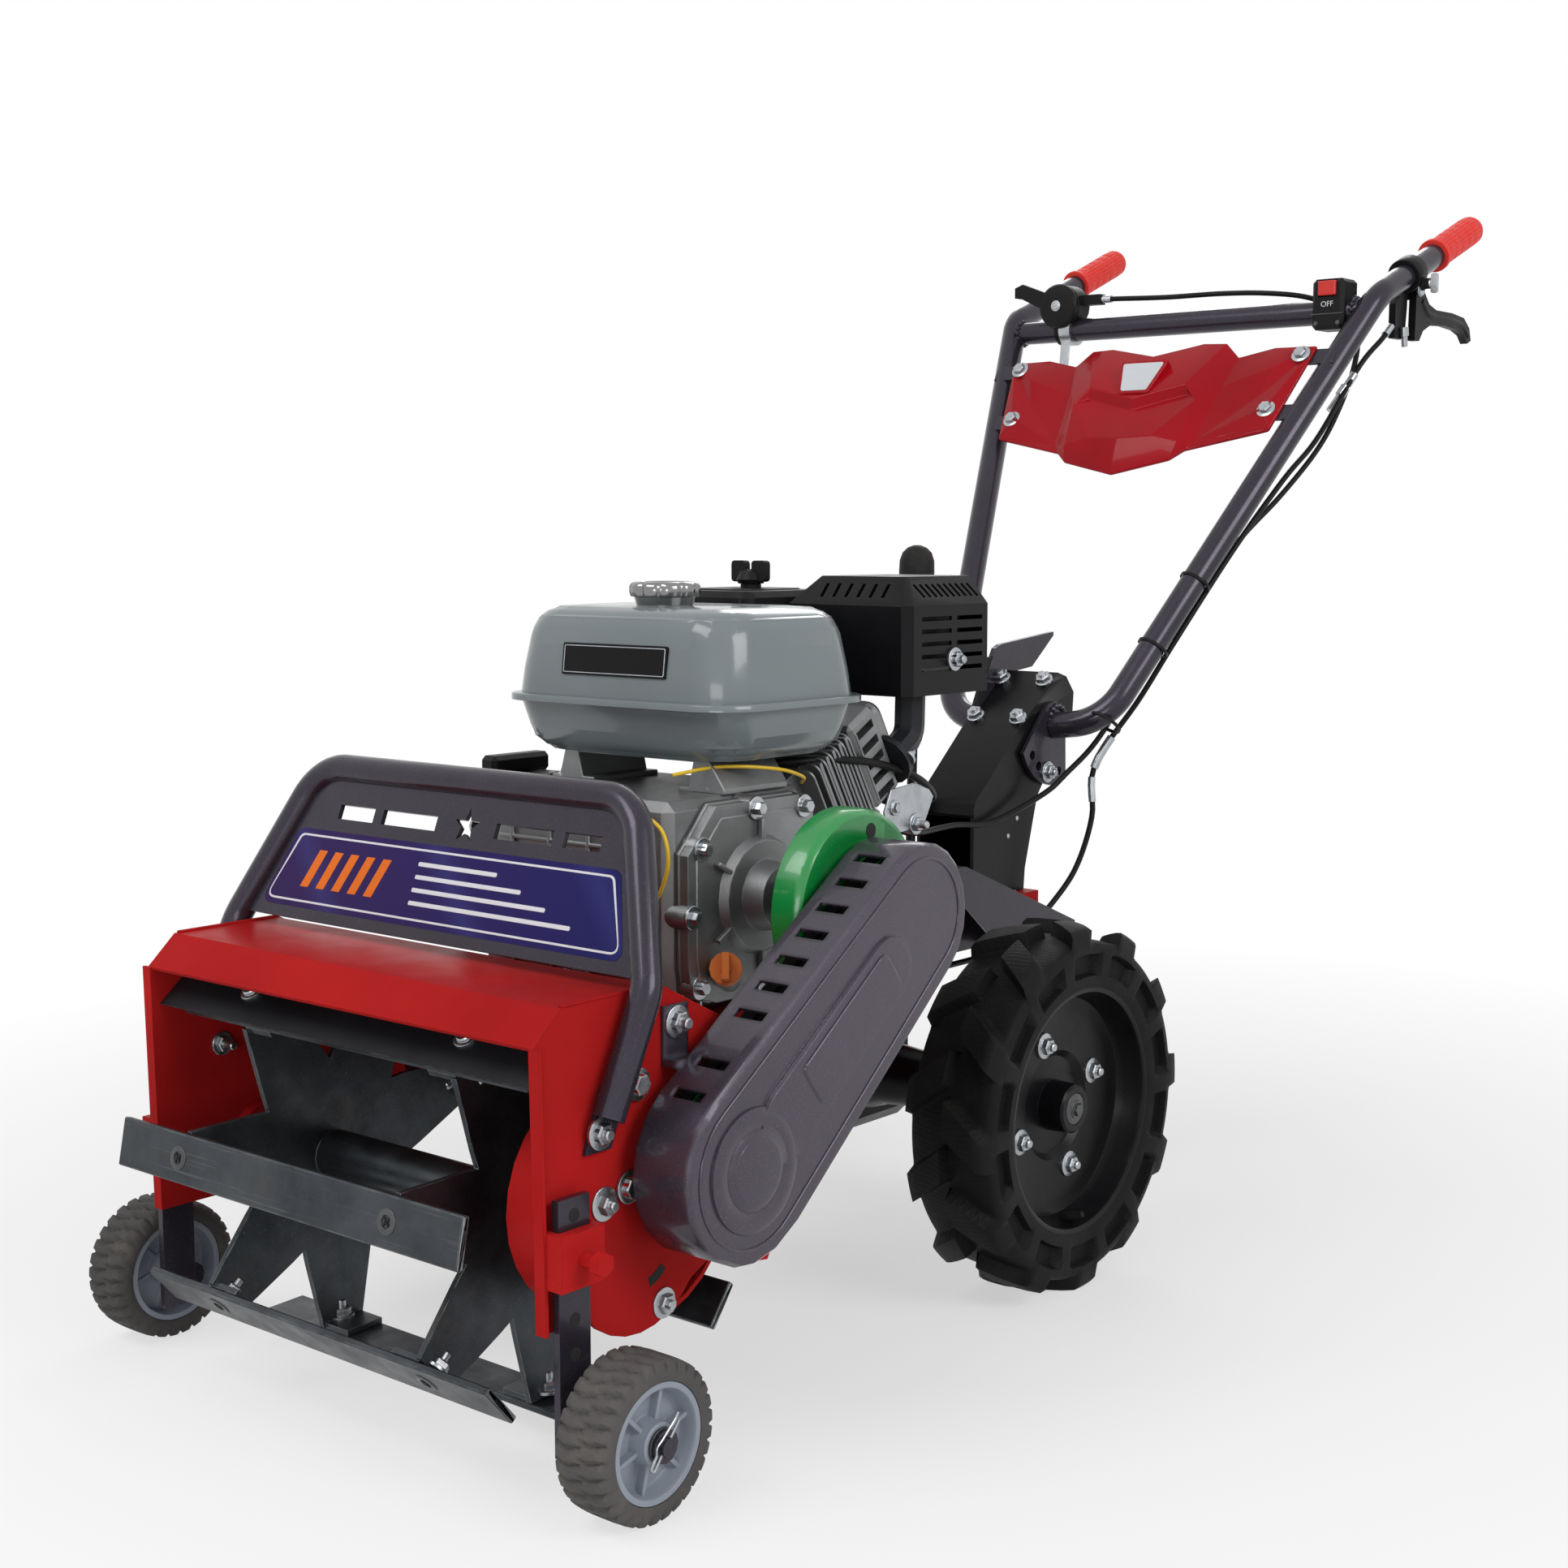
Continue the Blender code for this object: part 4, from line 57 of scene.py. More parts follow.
# Places are measured from the line between the front wheel axles, as on the solids
ORIGIN = Vector((0.0185, 0.7082, 0.0))
MACHINE = Matrix.Translation(-ORIGIN)
SIDES = (("left", 1), ("right", -1))
ROTOR = Vector((0.0265, 0.062, 0.170))
HOUSING_HALF = 0.2235
PLATE_LEFT = ROTOR.x + HOUSING_HALF
PLATE_RIGHT = ROTOR.x - HOUSING_HALF
HOOD_Z = 0.3525
CRANK = Vector((0.0, 0.314, 0.379))
COUNTER = Vector((0.0, 0.110, 0.223))
CYLINDER_X = 0.065
CYLINDER_LEAN = math.radians(29.8)
CASE_FRONT = 0.2188
COVER_SCREWS = ((0.244, 0.424), (0.372, 0.447), (0.240, 0.312), (0.376, 0.318), (0.232, 0.370),
                (0.310, 0.302), (0.310, 0.451))
TANK = Vector((0.030, 0.355, 0.535))
FILLER = Vector((0.030, 0.330, 0.613))
AXLE = Vector((0.0, 0.585, 0.165))
TRACK_HALF = 0.2575
CROSSBAR = Vector((0.0, 1.250, 0.920))
CROSSBAR_HALF = 0.2335
BEND = Vector((0.100, 0.930, 0.478))
PIVOT = Vector((0.0, 0.925, 0.472))
TUBE_BEND = Vector((0.2385, 1.262, 0.9366))
GRIP_END = Vector((0.2420, 1.4915, 1.028))
BAR_RADIUS = 0.0135
DASH_REACH = 0.1495
TUBE_SLOPE = math.atan2(CROSSBAR.z - BEND.z, CROSSBAR.y - BEND.y)
GUARD_TOP = Vector((0.1810, 0.108, 0.4815))
GUARD_LOW = Vector((0.2370, 0.058, 0.355))
GUARD_SLOPE = math.atan2(GUARD_TOP.z - GUARD_LOW.z, GUARD_TOP.y - GUARD_LOW.y)
X = Vector((1, 0, 0))
Y = Vector((0, 1, 0))
Z = Vector((0, 0, 1))


def basis(place, along, side=None):
    """A matrix with local Z along a direction, and local X near to the side direction."""
    along = Vector(along).normalized()
    if side is None:
        side = X if abs(along.x) < 0.9 else Y
    across = along.cross(side).normalized()
    side = across.cross(along).normalized()
    turned = Matrix((side, across, along)).transposed().to_4x4()
    return Matrix.Translation(Vector(place) - ORIGIN) @ turned


def plane(place, right, up):
    """A matrix whose local X points right, local Y points up and local Z stands out."""
    right, up = Vector(right).normalized(), Vector(up).normalized()
    turned = Matrix((right, up, right.cross(up))).transposed().to_4x4()
    return Matrix.Translation(Vector(place) - ORIGIN) @ turned


def placed(points):
    """Points measured as on the solids, in the frame's coordinates."""
    return [Vector(point) - ORIGIN for point in points]


def spoke(angle):
    """A direction across the X axis, turned from Y towards Z."""
    return Vector((0, math.cos(angle), math.sin(angle)))


def arc(centre, radius, first, last, steps):
    return [(centre[0] + radius * math.cos(math.radians(first + (last - first) * step / steps)),
             centre[1] + radius * math.sin(math.radians(first + (last - first) * step / steps)))
            for step in range(steps + 1)]


def rounded(corners, radius, steps=5):
    """A closed outline with each corner rounded."""
    corners = [Vector(corner) for corner in corners]
    points = []
    for before, corner, after in zip(corners[-1:] + corners[:-1], corners, corners[1:] + corners[:1]):
        back, ahead = (before - corner).normalized(), (after - corner).normalized()
        reach = radius / math.tan(back.angle(ahead) / 2)
        for step in range(steps + 1):
            t = step / steps
            points.append((corner + back * reach).lerp(corner, t).lerp(
                corner.lerp(corner + ahead * reach, t), t))
    return [tuple(point) for point in points]


def oblong(half_x, half_y, radius=0.0, steps=5):
    """A rectangle round the middle, with rounded corners where a radius is given."""
    corners = [(-half_x, -half_y), (half_x, -half_y), (half_x, half_y), (-half_x, half_y)]
    return rounded(corners, radius, steps) if radius else corners


def bent(corners, radius, steps=10):
    """A path through the corners with each inner corner rounded."""
    corners = [Vector(corner) for corner in corners]
    path = [corners[0]]
    for before, corner, after in zip(corners, corners[1:], corners[2:]):
        back, ahead = (before - corner).normalized(), (after - corner).normalized()
        half = back.angle(ahead) / 2
        reach = radius / math.tan(half)
        first, last = corner + back * reach, corner + ahead * reach
        centre = corner + (back + ahead).normalized() * (radius / math.sin(half))
        for step in range(steps + 1):
            mixed = (first - centre).lerp(last - centre, step / steps)
            path.append(centre + mixed.normalized() * radius)
    return path + [corners[-1]]


def smooth_path(corners, count):
    """Points of a smooth curve through the corners."""
    corners = [Vector(corner) for corner in corners]
    ends = [2 * corners[0] - corners[1], *corners, 2 * corners[-1] - corners[-2]]
    path = []
    for step in range(count):
        along = step / (count - 1) * (len(corners) - 1)
        index = min(int(along), len(corners) - 2)
        t = along - index
        a, b, c, d = ends[index:index + 4]
        path.append(0.5 * ((2 * b) + (c - a) * t + (2 * a - 5 * b + 4 * c - d) * t * t
                           + (3 * b - a - 3 * c + d) * t ** 3))
    return path


class Shape:
    """Mesh parts that are gathered into one piece."""

    def __init__(self):
        self.mesh = bmesh.new()

    def rows(self, rows, closed=True, caps=True):
        """Skin over rows of points of equal count."""
        made = [[self.mesh.verts.new(point) for point in row] for row in rows]
        count = len(made[0])
        for first, second in zip(made, made[1:]):
            for i in range(count if closed else count - 1):
                j = (i + 1) % count
                self.mesh.faces.new((first[i], first[j], second[j], second[i]))
        if caps:
            self.mesh.faces.new(made[0][::-1])
            self.mesh.faces.new(made[-1])
        return self

    def turned(self, matrix, profile, steps, cut, loop=False):
        """A profile of (distance, radius, weight) round local Z, less the weighted cut."""
        rows = []
        for along, radius, weight in profile:
            row = []
            for i in range(steps):
                angle = 2 * math.pi * i / steps
                reach = radius - weight * cut(along, angle)
                row.append(matrix @ Vector((reach * math.cos(angle), reach * math.sin(angle), along)))
            rows.append(row)
        if loop:
            rows.append(rows[0])
        return self.rows(rows, caps=not loop)

    def lathe(self, matrix, profile, steps=32, loop=False):
        """A profile of (distance, radius) turned round local Z."""
        plain = [(along, radius, 0.0) for along, radius in profile]
        return self.turned(matrix, plain, steps, lambda along, angle: 0.0, loop)

    def block(self, matrix, low, high):
        (x, y, z), (far_x, far_y, far_z) = low, high
        return self.slab(matrix, [(x, y), (far_x, y), (far_x, far_y), (x, far_y)], z, far_z)

    def slab(self, matrix, outline, low, high, inset=0.0):
        """An outline raised from low to high, its top drawn in by inset."""
        middle = sum((Vector(point) for point in outline), Vector((0, 0))) / len(outline)
        levels = [(low, 0.0), (high - inset, 0.0)]
        if inset:
            levels.append((high, inset))
        rows = []
        for height, pull in levels:
            spots = [Vector(point) for point in outline]
            spots = [spot + (middle - spot).normalized() * pull for spot in spots]
            rows.append([matrix @ Vector((spot.x, spot.y, height)) for spot in spots])
        return self.rows(rows)

    def strip(self, matrix, outer, inner, low, high):
        """A flat band between two outlines of equal count."""
        rows = [[matrix @ Vector((a, b, height)) for a, b in outline]
                for outline, height in ((outer, low), (outer, high), (inner, high), (inner, low),
                                        (outer, low))]
        return self.rows(rows, caps=False)

    def tube(self, points, radius, sides=12, ends=True):
        """A round bar along a path, in frame coordinates."""
        points = [Vector(point) for point in points]
        rows = []
        side = None
        for i, point in enumerate(points):
            ahead = points[min(i + 1, len(points) - 1)] - points[max(i - 1, 0)]
            ahead.normalize()
            if side is None:
                side = ahead.orthogonal().normalized()
            side = (side - ahead * side.dot(ahead)).normalized()
            across = ahead.cross(side)
            rows.append([point + (side * math.cos(2 * math.pi * k / sides)
                                  + across * math.sin(2 * math.pi * k / sides)) * radius
                         for k in range(sides)])
        return self.rows(rows, caps=ends)

    def bolt(self, place, out, radius=0.008, height=0.0065, steps=6, stub=0.0, washer=1.45):
        """A washer, a chamfered hexagon head and, where asked for, the end of its thread."""
        matrix = basis(place, out)
        self.lathe(matrix, [(-0.001, radius * washer), (0.0014, radius * washer),
                            (0.0018, radius * (washer - 0.08))], 28)
        self.lathe(matrix, [(0.0, radius), (height - 0.0012, radius), (height, radius * 0.86)], steps)
        if stub:
            self.lathe(matrix, [(height - 0.001, radius * 0.52), (height + stub, radius * 0.52),
                                (height + stub + 0.001, radius * 0.40)], 14)
        return self

    def weld(self, centre, radius, profile, count=14):
        """A ring of small weld beads on each side of the middle plane."""
        for away in (1, -1):
            for k in range(count):
                spot = Vector((away * centre.x, centre.y, centre.z))
                spot += spoke(2 * math.pi * k / count) * radius
                self.lathe(basis(spot, X * away), profile, 9)
        return self

    def piece(self, name, body, surface, slot=None, replaces=(), angle=35, bevel=0.0):
        bmesh.ops.remove_doubles(self.mesh, verts=self.mesh.verts[:], dist=0.000002)
        bmesh.ops.recalc_face_normals(self.mesh, faces=self.mesh.faces[:])
        data = bpy.data.meshes.new(name)
        self.mesh.to_mesh(data)
        self.mesh.free()
        data.materials.append(surface)
        data.shade_smooth()
        data.set_sharp_from_angle(angle=math.radians(angle))
        obj = bpy.data.objects.new(name, data)
        bpy.context.scene.collection.objects.link(obj)
        if bevel:
            rounding = obj.modifiers.new("rounded edges", "BEVEL")
            rounding.width = bevel
            rounding.segments = 2
            rounding.limit_method = "ANGLE"
            rounding.angle_limit = math.radians(40)
        if body:
            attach(obj, body)
        if replaces:
            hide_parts(*replaces)
        return obj


# Surfaces


class Surface:
    """A node material on object coordinates."""

    def __init__(self, name):
        self.material = bpy.data.materials.new(name)
        self.material.use_nodes = True
        self.tree = self.material.node_tree
        self.shader = self.tree.nodes["Principled BSDF"]
        self.coordinates = self.node("ShaderNodeTexCoord").outputs["Object"]

    def node(self, kind, **settings):
        made = self.tree.nodes.new(kind)
        for key, value in settings.items():
            setattr(made, key, value)
        return made

    def link(self, source, socket):
        self.tree.links.new(source, socket)

    def noise(self, scale, detail=3.0, roughness=0.55, stretch=None):
        made = self.node("ShaderNodeTexNoise")
        made.inputs["Scale"].default_value = scale
        made.inputs["Detail"].default_value = detail
        made.inputs["Roughness"].default_value = roughness
        source = self.coordinates
        if stretch:
            mapping = self.node("ShaderNodeMapping")
            mapping.inputs["Scale"].default_value = stretch
            self.link(source, mapping.inputs["Vector"])
            source = mapping.outputs["Vector"]
        self.link(source, made.inputs["Vector"])
        return made.outputs["Fac"]

    def cells(self, scale):
        made = self.node("ShaderNodeTexVoronoi")
        made.inputs["Scale"].default_value = scale
        self.link(self.coordinates, made.inputs["Vector"])
        return made.outputs["Color"]

    def spread(self, source, low, high, to_low=0.0, to_high=1.0):
        made = self.node("ShaderNodeMapRange")
        for key, value in (("From Min", low), ("From Max", high), ("To Min", to_low),
                           ("To Max", to_high)):
            made.inputs[key].default_value = value
        self.link(source, made.inputs["Value"])
        return made.outputs["Result"]

    def maths(self, operation, first, second):
        made = self.node("ShaderNodeMath", operation=operation)
        for socket, value in zip(made.inputs, (first, second)):
            if isinstance(value, (int, float)):
                socket.default_value = value
            else:
                self.link(value, socket)
        return made.outputs["Value"]

    def mix(self, factor, first, second):
        made = self.node("ShaderNodeMix", data_type="RGBA")
        self.link(factor, made.inputs[0])
        for socket, value in ((made.inputs[6], first), (made.inputs[7], second)):
            if isinstance(value, tuple):
                socket.default_value = (*value, 1.0)
            else:
                self.link(value, socket)
        return made.outputs[2]

    def rounded_normal(self, radius):
        made = self.node("ShaderNodeBevel", samples=4)
        made.inputs["Radius"].default_value = radius
        return made.outputs["Normal"]

    def edges(self, radius, low=0.02, high=0.25):
        """One on worn edges and zero on flat faces."""
        made = self.node("ShaderNodeVectorMath", operation="DOT_PRODUCT")
        self.link(self.rounded_normal(radius), made.inputs[0])
        self.link(self.node("ShaderNodeNewGeometry").outputs["Normal"], made.inputs[1])
        return self.spread(made.outputs["Value"], 1.0 - low, 1.0 - high)

    def bump(self, height, strength, distance, normal=None):
        made = self.node("ShaderNodeBump")
        made.inputs["Strength"].default_value = strength
        made.inputs["Distance"].default_value = distance
        self.link(height, made.inputs["Height"])
        if normal is not None:
            self.link(normal, made.inputs["Normal"])
        return made.outputs["Normal"]


def shade(colour, factor):
    return tuple(min(1.0, channel * factor) for channel in colour)


def coated(name, colour, roughness=0.35, metallic=0.0, tone=0.12, blotch=7.0, grain=(900.0, 0.05),
           flake=0.0, wear=None, edge=0.0007, coat=0.0, dust=0.0, gloss=0.5):
    """A coated, cast or moulded surface with tone, grain, flake, dust and worn edges.

    Grain is the fine noise's scale and its bump's strength, and gloss is the plain reflection.
    """
    surface = Surface(name)
    broad = surface.noise(blotch, 5.0)
    mixed = surface.mix(surface.spread(broad, 0.32, 0.68), shade(colour, 1 - tone),
                        shade(colour, 1 + tone))
    fine = surface.noise(grain[0], 2.0)
    if flake:
        sparkle = surface.spread(surface.cells(1500.0), 0.80, 1.0, 0.0, flake)
        mixed = surface.mix(sparkle, mixed, shade(colour, 3.2))
    if dust:
        settled = surface.spread(surface.noise(28.0, 8.0, 0.7), 0.52, 0.78, 0.0, dust)
        mixed = surface.mix(settled, mixed, (0.20, 0.17, 0.13))
    if wear:
        rubbed = surface.maths("MULTIPLY", surface.edges(0.0012),
                               surface.spread(surface.noise(60.0, 6.0, 0.7), 0.50, 0.62))
        mixed = surface.mix(rubbed, mixed, wear)
    surface.link(mixed, surface.shader.inputs["Base Color"])
    surface.link(surface.spread(surface.noise(blotch * 5, 4.0), 0.25, 0.75, roughness - 0.05,
                                roughness + 0.09), surface.shader.inputs["Roughness"])
    surface.shader.inputs["Metallic"].default_value = metallic
    surface.shader.inputs["Specular IOR Level"].default_value = gloss
    surface.shader.inputs["Coat Weight"].default_value = coat
    surface.shader.inputs["Coat Roughness"].default_value = 0.06
    normal = surface.bump(fine, grain[1], 0.001, surface.rounded_normal(edge))
    surface.link(normal, surface.shader.inputs["Normal"])
    return surface.material


RED = coated("housing_red", (0.42, 0.014, 0.014), 0.34, tone=0.16, blotch=5.0, grain=(160.0, 0.05),
             wear=(0.06, 0.015, 0.012), gloss=0.02)
DASH_RED = coated("dash_red", (0.35, 0.004, 0.010), 0.20, tone=0.10, grain=(120.0, 0.03), edge=0.0016,
                  coat=0.12, gloss=0.07)
PURPLE = coated("purple_grey", (0.038, 0.032, 0.045), 0.24, metallic=0.5, tone=0.14, flake=0.6,
                grain=(700.0, 0.06), coat=0.2, gloss=0.2)
COVER = coated("cover_paint", (0.060, 0.049, 0.068), 0.28, metallic=0.5, tone=0.14, flake=0.6,
               grain=(700.0, 0.06), edge=0.006, coat=0.4, gloss=0.3)
RELIEF = coated("cover_relief", (0.060, 0.049, 0.068), 0.28, metallic=0.5, tone=0.14, flake=0.6,
                grain=(700.0, 0.06), coat=0.4, gloss=0.3)
BLACK = coated("black_paint", (0.004, 0.004, 0.005), 0.28, tone=0.25, grain=(380.0, 0.07),
               wear=(0.03, 0.03, 0.03), gloss=0.15)
BLACK_STEEL = coated("black_steel", (0.012, 0.013, 0.016), 0.42, gloss=0.2, tone=0.3,
                     grain=(500.0, 0.10), wear=(0.12, 0.12, 0.12))
GREEN = coated("drum_green", (0.005, 0.24, 0.045), 0.28, tone=0.12, grain=(240.0, 0.05), coat=0.5,
               wear=(0.10, 0.22, 0.10))
CAST = coated("cast_aluminium", (0.24, 0.245, 0.25), 0.38, metallic=0.85, tone=0.16, blotch=14.0,
              grain=(1300.0, 0.35), edge=0.0016)
TANK_PAINT = coated("tank_grey", (0.170, 0.200, 0.210), 0.18, tone=0.05, grain=(90.0, 0.012),
                    coat=0.35, gloss=0.3)
CHROME = coated("chrome", (0.24, 0.24, 0.24), 0.14, metallic=1.0, tone=0.05, grain=(300.0, 0.02))
ZINC = coated("zinc", (0.40, 0.42, 0.44), 0.28, metallic=0.95, tone=0.15, blotch=60.0,
              grain=(900.0, 0.08), edge=0.0005)
BRIGHT = coated("cut_steel", (0.46, 0.49, 0.50), 0.34, metallic=0.9, tone=0.25, blotch=90.0,
                grain=(900.0, 0.15))
PLASTIC = coated("black_plastic", (0.007, 0.007, 0.008), 0.42, tone=0.15, grain=(1500.0, 0.16),
                 gloss=0.14)
ORANGE = coated("orange_plastic", (0.80, 0.19, 0.012), 0.42, tone=0.08, grain=(900.0, 0.08))
RED_PLASTIC = coated("red_plastic", (0.62, 0.020, 0.012), 0.38, tone=0.08, grain=(900.0, 0.06))
RUBBER = coated("rubber", (0.008, 0.008, 0.008), 0.60, tone=0.25, grain=(700.0, 0.25), dust=0.12,
                gloss=0.2)
BELT = coated("belt_rubber", (0.008, 0.008, 0.008), 0.7, tone=0.2, grain=(900.0, 0.3), gloss=0.2)
GREY_RUBBER = coated("grey_rubber", (0.084, 0.079, 0.077), 0.74, tone=0.16, grain=(800.0, 0.25),
                     dust=0.45, gloss=0.2)
RIM_GREY = coated("rim_grey", (0.25, 0.28, 0.33), 0.40, tone=0.06, grain=(900.0, 0.08))
GRIP_RED = coated("grip_red", (0.76, 0.028, 0.018), 0.50, tone=0.06, grain=(1200.0, 0.20))
CABLE = coated("cable_sheath", (0.006, 0.006, 0.006), 0.42, tone=0.1, grain=(900.0, 0.05), gloss=0.15)
YELLOW = coated("yellow_wire", (0.80, 0.52, 0.02), 0.45, tone=0.06, grain=(900.0, 0.04))
DARK_STEEL = coated("machine_steel", (0.085, 0.088, 0.092), 0.36, metallic=0.85, tone=0.2,
                    blotch=40.0, grain=(700.0, 0.1))
# Near black painted shade, for thin sheets where a slot, hole, screw cross or keyhole shows only shade.
PAINTED_SHADE = coated("painted_shade", (0.003, 0.003, 0.003), 0.8, tone=0.1)
WHITE_LINE = coated("white_line", (0.72, 0.72, 0.76), 0.35, tone=0.03)
BADGE = coated("badge_face", (0.62, 0.64, 0.68), 0.24, tone=0.04)
GREEN_DOT = coated("green_label", (0.01, 0.36, 0.08), 0.40, tone=0.05)
LABEL_BLACK = coated("label_black", (0.005, 0.005, 0.006), 0.25, tone=0.1, gloss=0.12)
LABEL_ORANGE = coated("label_orange", (0.80, 0.17, 0.015), 0.30, tone=0.06, gloss=0.15)
SEAL = coated("gasket", (0.05, 0.05, 0.05), 0.7)


def blued_steel():
    """Hot rolled plate: blue grey mill scale with brown patches, scratches and worn edges."""
    surface = Surface("blued_steel")
    scale = surface.mix(surface.spread(surface.noise(9.0, 6.0, 0.65), 0.35, 0.65),
                        (0.026, 0.031, 0.037), (0.068, 0.076, 0.084))
    brown = surface.spread(surface.noise(17.0, 8.0, 0.75), 0.56, 0.74, 0.0, 0.55)
    scale = surface.mix(brown, scale, (0.090, 0.062, 0.042))
    streak = surface.spread(surface.noise(1.0, 3.0, 0.6, (14.0, 600.0, 600.0)), 0.60, 0.75, 0.0, 0.35)
    scale = surface.mix(streak, scale, (0.20, 0.22, 0.23))
    rubbed = surface.maths("MULTIPLY", surface.edges(0.0014),
                           surface.spread(surface.noise(70.0, 6.0), 0.40, 0.60, 0.0, 0.8))
    surface.link(surface.mix(rubbed, scale, (0.34, 0.37, 0.38)), surface.shader.inputs["Base Color"])
    surface.link(surface.spread(surface.noise(40.0, 5.0), 0.3, 0.7, 0.30, 0.50),
                 surface.shader.inputs["Roughness"])
    surface.shader.inputs["Metallic"].default_value = 0.75
    surface.link(surface.bump(surface.noise(300.0, 4.0), 0.10, 0.001, surface.rounded_normal(0.0008)),
                 surface.shader.inputs["Normal"])
    return surface.material


def tyre_rubber():
    """Tyre rubber with a cross-hatched carcass between the lugs."""
    surface = Surface("tyre_rubber")
    surface.link(surface.mix(surface.spread(surface.noise(30.0, 7.0, 0.7), 0.54, 0.84, 0.0, 0.20),
                             (0.005, 0.005, 0.005), (0.05, 0.045, 0.037)),
                 surface.shader.inputs["Base Color"])
    surface.shader.inputs["Specular IOR Level"].default_value = 0.12
    surface.link(surface.spread(surface.noise(22.0, 4.0), 0.3, 0.7, 0.50, 0.66),
                 surface.shader.inputs["Roughness"])
    layout = surface.node("ShaderNodeUVMap", uv_map="round")
    hatch = None
    for slope in (1.0, -1.0):
        mapping = surface.node("ShaderNodeMapping")
        mapping.inputs["Rotation"].default_value = (0.0, 0.0, slope * math.radians(45))
        surface.link(layout.outputs["UV"], mapping.inputs["Vector"])
        wave = surface.node("ShaderNodeTexWave", bands_direction="X")
        wave.inputs["Scale"].default_value = 90.0
        surface.link(mapping.outputs["Vector"], wave.inputs["Vector"])
        band = surface.spread(wave.outputs["Fac"], 0.55, 0.9)
        hatch = band if hatch is None else surface.maths("MAXIMUM", hatch, band)
    surface.link(surface.bump(hatch, 0.35, 0.0006, surface.rounded_normal(0.001)),
                 surface.shader.inputs["Normal"])
    return surface.material


def decal_field():
    """A blue and violet field that changes along the panel, with slanted light bands."""
    surface = Surface("decal_field")
    split = surface.node("ShaderNodeSeparateXYZ")
    surface.link(surface.coordinates, split.inputs["Vector"])
    along = surface.spread(split.outputs["X"], -0.21, 0.22)
    base = surface.mix(along, (0.030, 0.008, 0.085), (0.010, 0.010, 0.105))
    slant = surface.maths("ADD", split.outputs["X"], split.outputs["Z"])
    glow = surface.spread(surface.maths("PINGPONG", slant, 0.085), 0.060, 0.085, 0.0, 0.30)
    base = surface.mix(glow, base, (0.05, 0.06, 0.26))
    surface.link(base, surface.shader.inputs["Base Color"])
    surface.shader.inputs["Roughness"].default_value = 0.24
    surface.shader.inputs["Specular IOR Level"].default_value = 0.12
    return surface.material


BLUED = blued_steel()
TYRE = tyre_rubber()
DECAL = decal_field()

SURFACES = {
    RED: ("front_housing", "rotor_chain_case", "chassis_frame"),
    DASH_RED: ("dashboard",),
    COVER: ("belt_cover",),
    PURPLE: ("front_guard", "frame_wing", "front_strut_left", "front_strut_right",
             "handlebar"),
    BLACK: ("handle_column", "muffler_guard", "recoil_housing", "gearbox_case", "rear_rim_left",
            "rear_rim_right"),
    BLACK_STEEL: ("scraper_plate", "muffler"),
    BLUED: ("rotor_spider", "blade_bar_1", "blade_bar_2", "blade_bar_3", "blade_bar_4",
            "blade_bar_5", "blade_bar_6", "blade_bar_7"),
    DARK_STEEL: ("rotor_chain", "crankshaft", "wheel_axle", "tension_arm"),
    GREEN: ("countershaft", "drive_pulley"),
    CAST: ("crankcase", "cylinder_head", "carburettor"),
    TANK_PAINT: ("fuel_tank",),
    CHROME: ("fuel_cap",),
    PLASTIC: ("air_cleaner", "air_cleaner_knob", "recoil_grip", "gear_lever", "lever_clamp",
              "clutch_lever", "throttle_case", "throttle_lever", "switch_case"),
    CABLE: ("clutch_cable", "throttle_cable"),
    ORANGE: ("oil_cap",),
    RUBBER: ("rear_tyre_left", "rear_tyre_right"),
    BELT: ("drive_belt_inner", "drive_belt_outer"),
    GREY_RUBBER: ("front_tyre_left", "front_tyre_right"),
    RIM_GREY: ("front_hub_left", "front_hub_right"),
    GRIP_RED: ("grip_left", "grip_right"),
    RED_PLASTIC: ("switch_rocker",),
}


def smoothing():
    """Modifier nodes that weld a solid's faces and shade its round faces smooth."""
    group = bpy.data.node_groups.new("smooth faces", "GeometryNodeTree")
    group.interface.new_socket("Geometry", in_out="INPUT", socket_type="NodeSocketGeometry")
    group.interface.new_socket("Geometry", in_out="OUTPUT", socket_type="NodeSocketGeometry")
    start, end = group.nodes.new("NodeGroupInput"), group.nodes.new("NodeGroupOutput")
    weld = group.nodes.new("GeometryNodeMergeByDistance")
    weld.inputs["Distance"].default_value = 0.00001
    faces = group.nodes.new("GeometryNodeSetShadeSmooth")
    creases = group.nodes.new("GeometryNodeSetShadeSmooth")
    creases.domain = "EDGE"
    creases.inputs["Shade Smooth"].default_value = False
    angle = group.nodes.new("GeometryNodeInputMeshEdgeAngle")
    sharp = group.nodes.new("FunctionNodeCompare")
    sharp.operation = "GREATER_THAN"
    sharp.inputs[1].default_value = math.radians(35)
    for source, socket in ((start.outputs[0], weld.inputs["Geometry"]),
                           (weld.outputs["Geometry"], faces.inputs["Geometry"]),
                           (faces.outputs["Geometry"], creases.inputs["Geometry"]),
                           (angle.outputs["Unsigned Angle"], sharp.inputs[0]),
                           (sharp.outputs["Result"], creases.inputs["Selection"]),
                           (creases.outputs["Geometry"], end.inputs[0])):
        group.links.new(source, socket)
    return group


def dress_nodes():
    group = smoothing()
    for surface, names in SURFACES.items():
        for name in names:
            node = NODES[name]
            node.data.materials.clear()
            node.data.materials.append(surface)
            node.modifiers.new("smooth faces", "NODES").node_group = group


# Guard


def panel_point(x, up, out):
    return Vector((ROTOR.x + x, GUARD_TOP.y + up * math.cos(GUARD_SLOPE) - out * math.sin(GUARD_SLOPE),
                   GUARD_TOP.z + up * math.sin(GUARD_SLOPE) + out * math.cos(GUARD_SLOPE)))


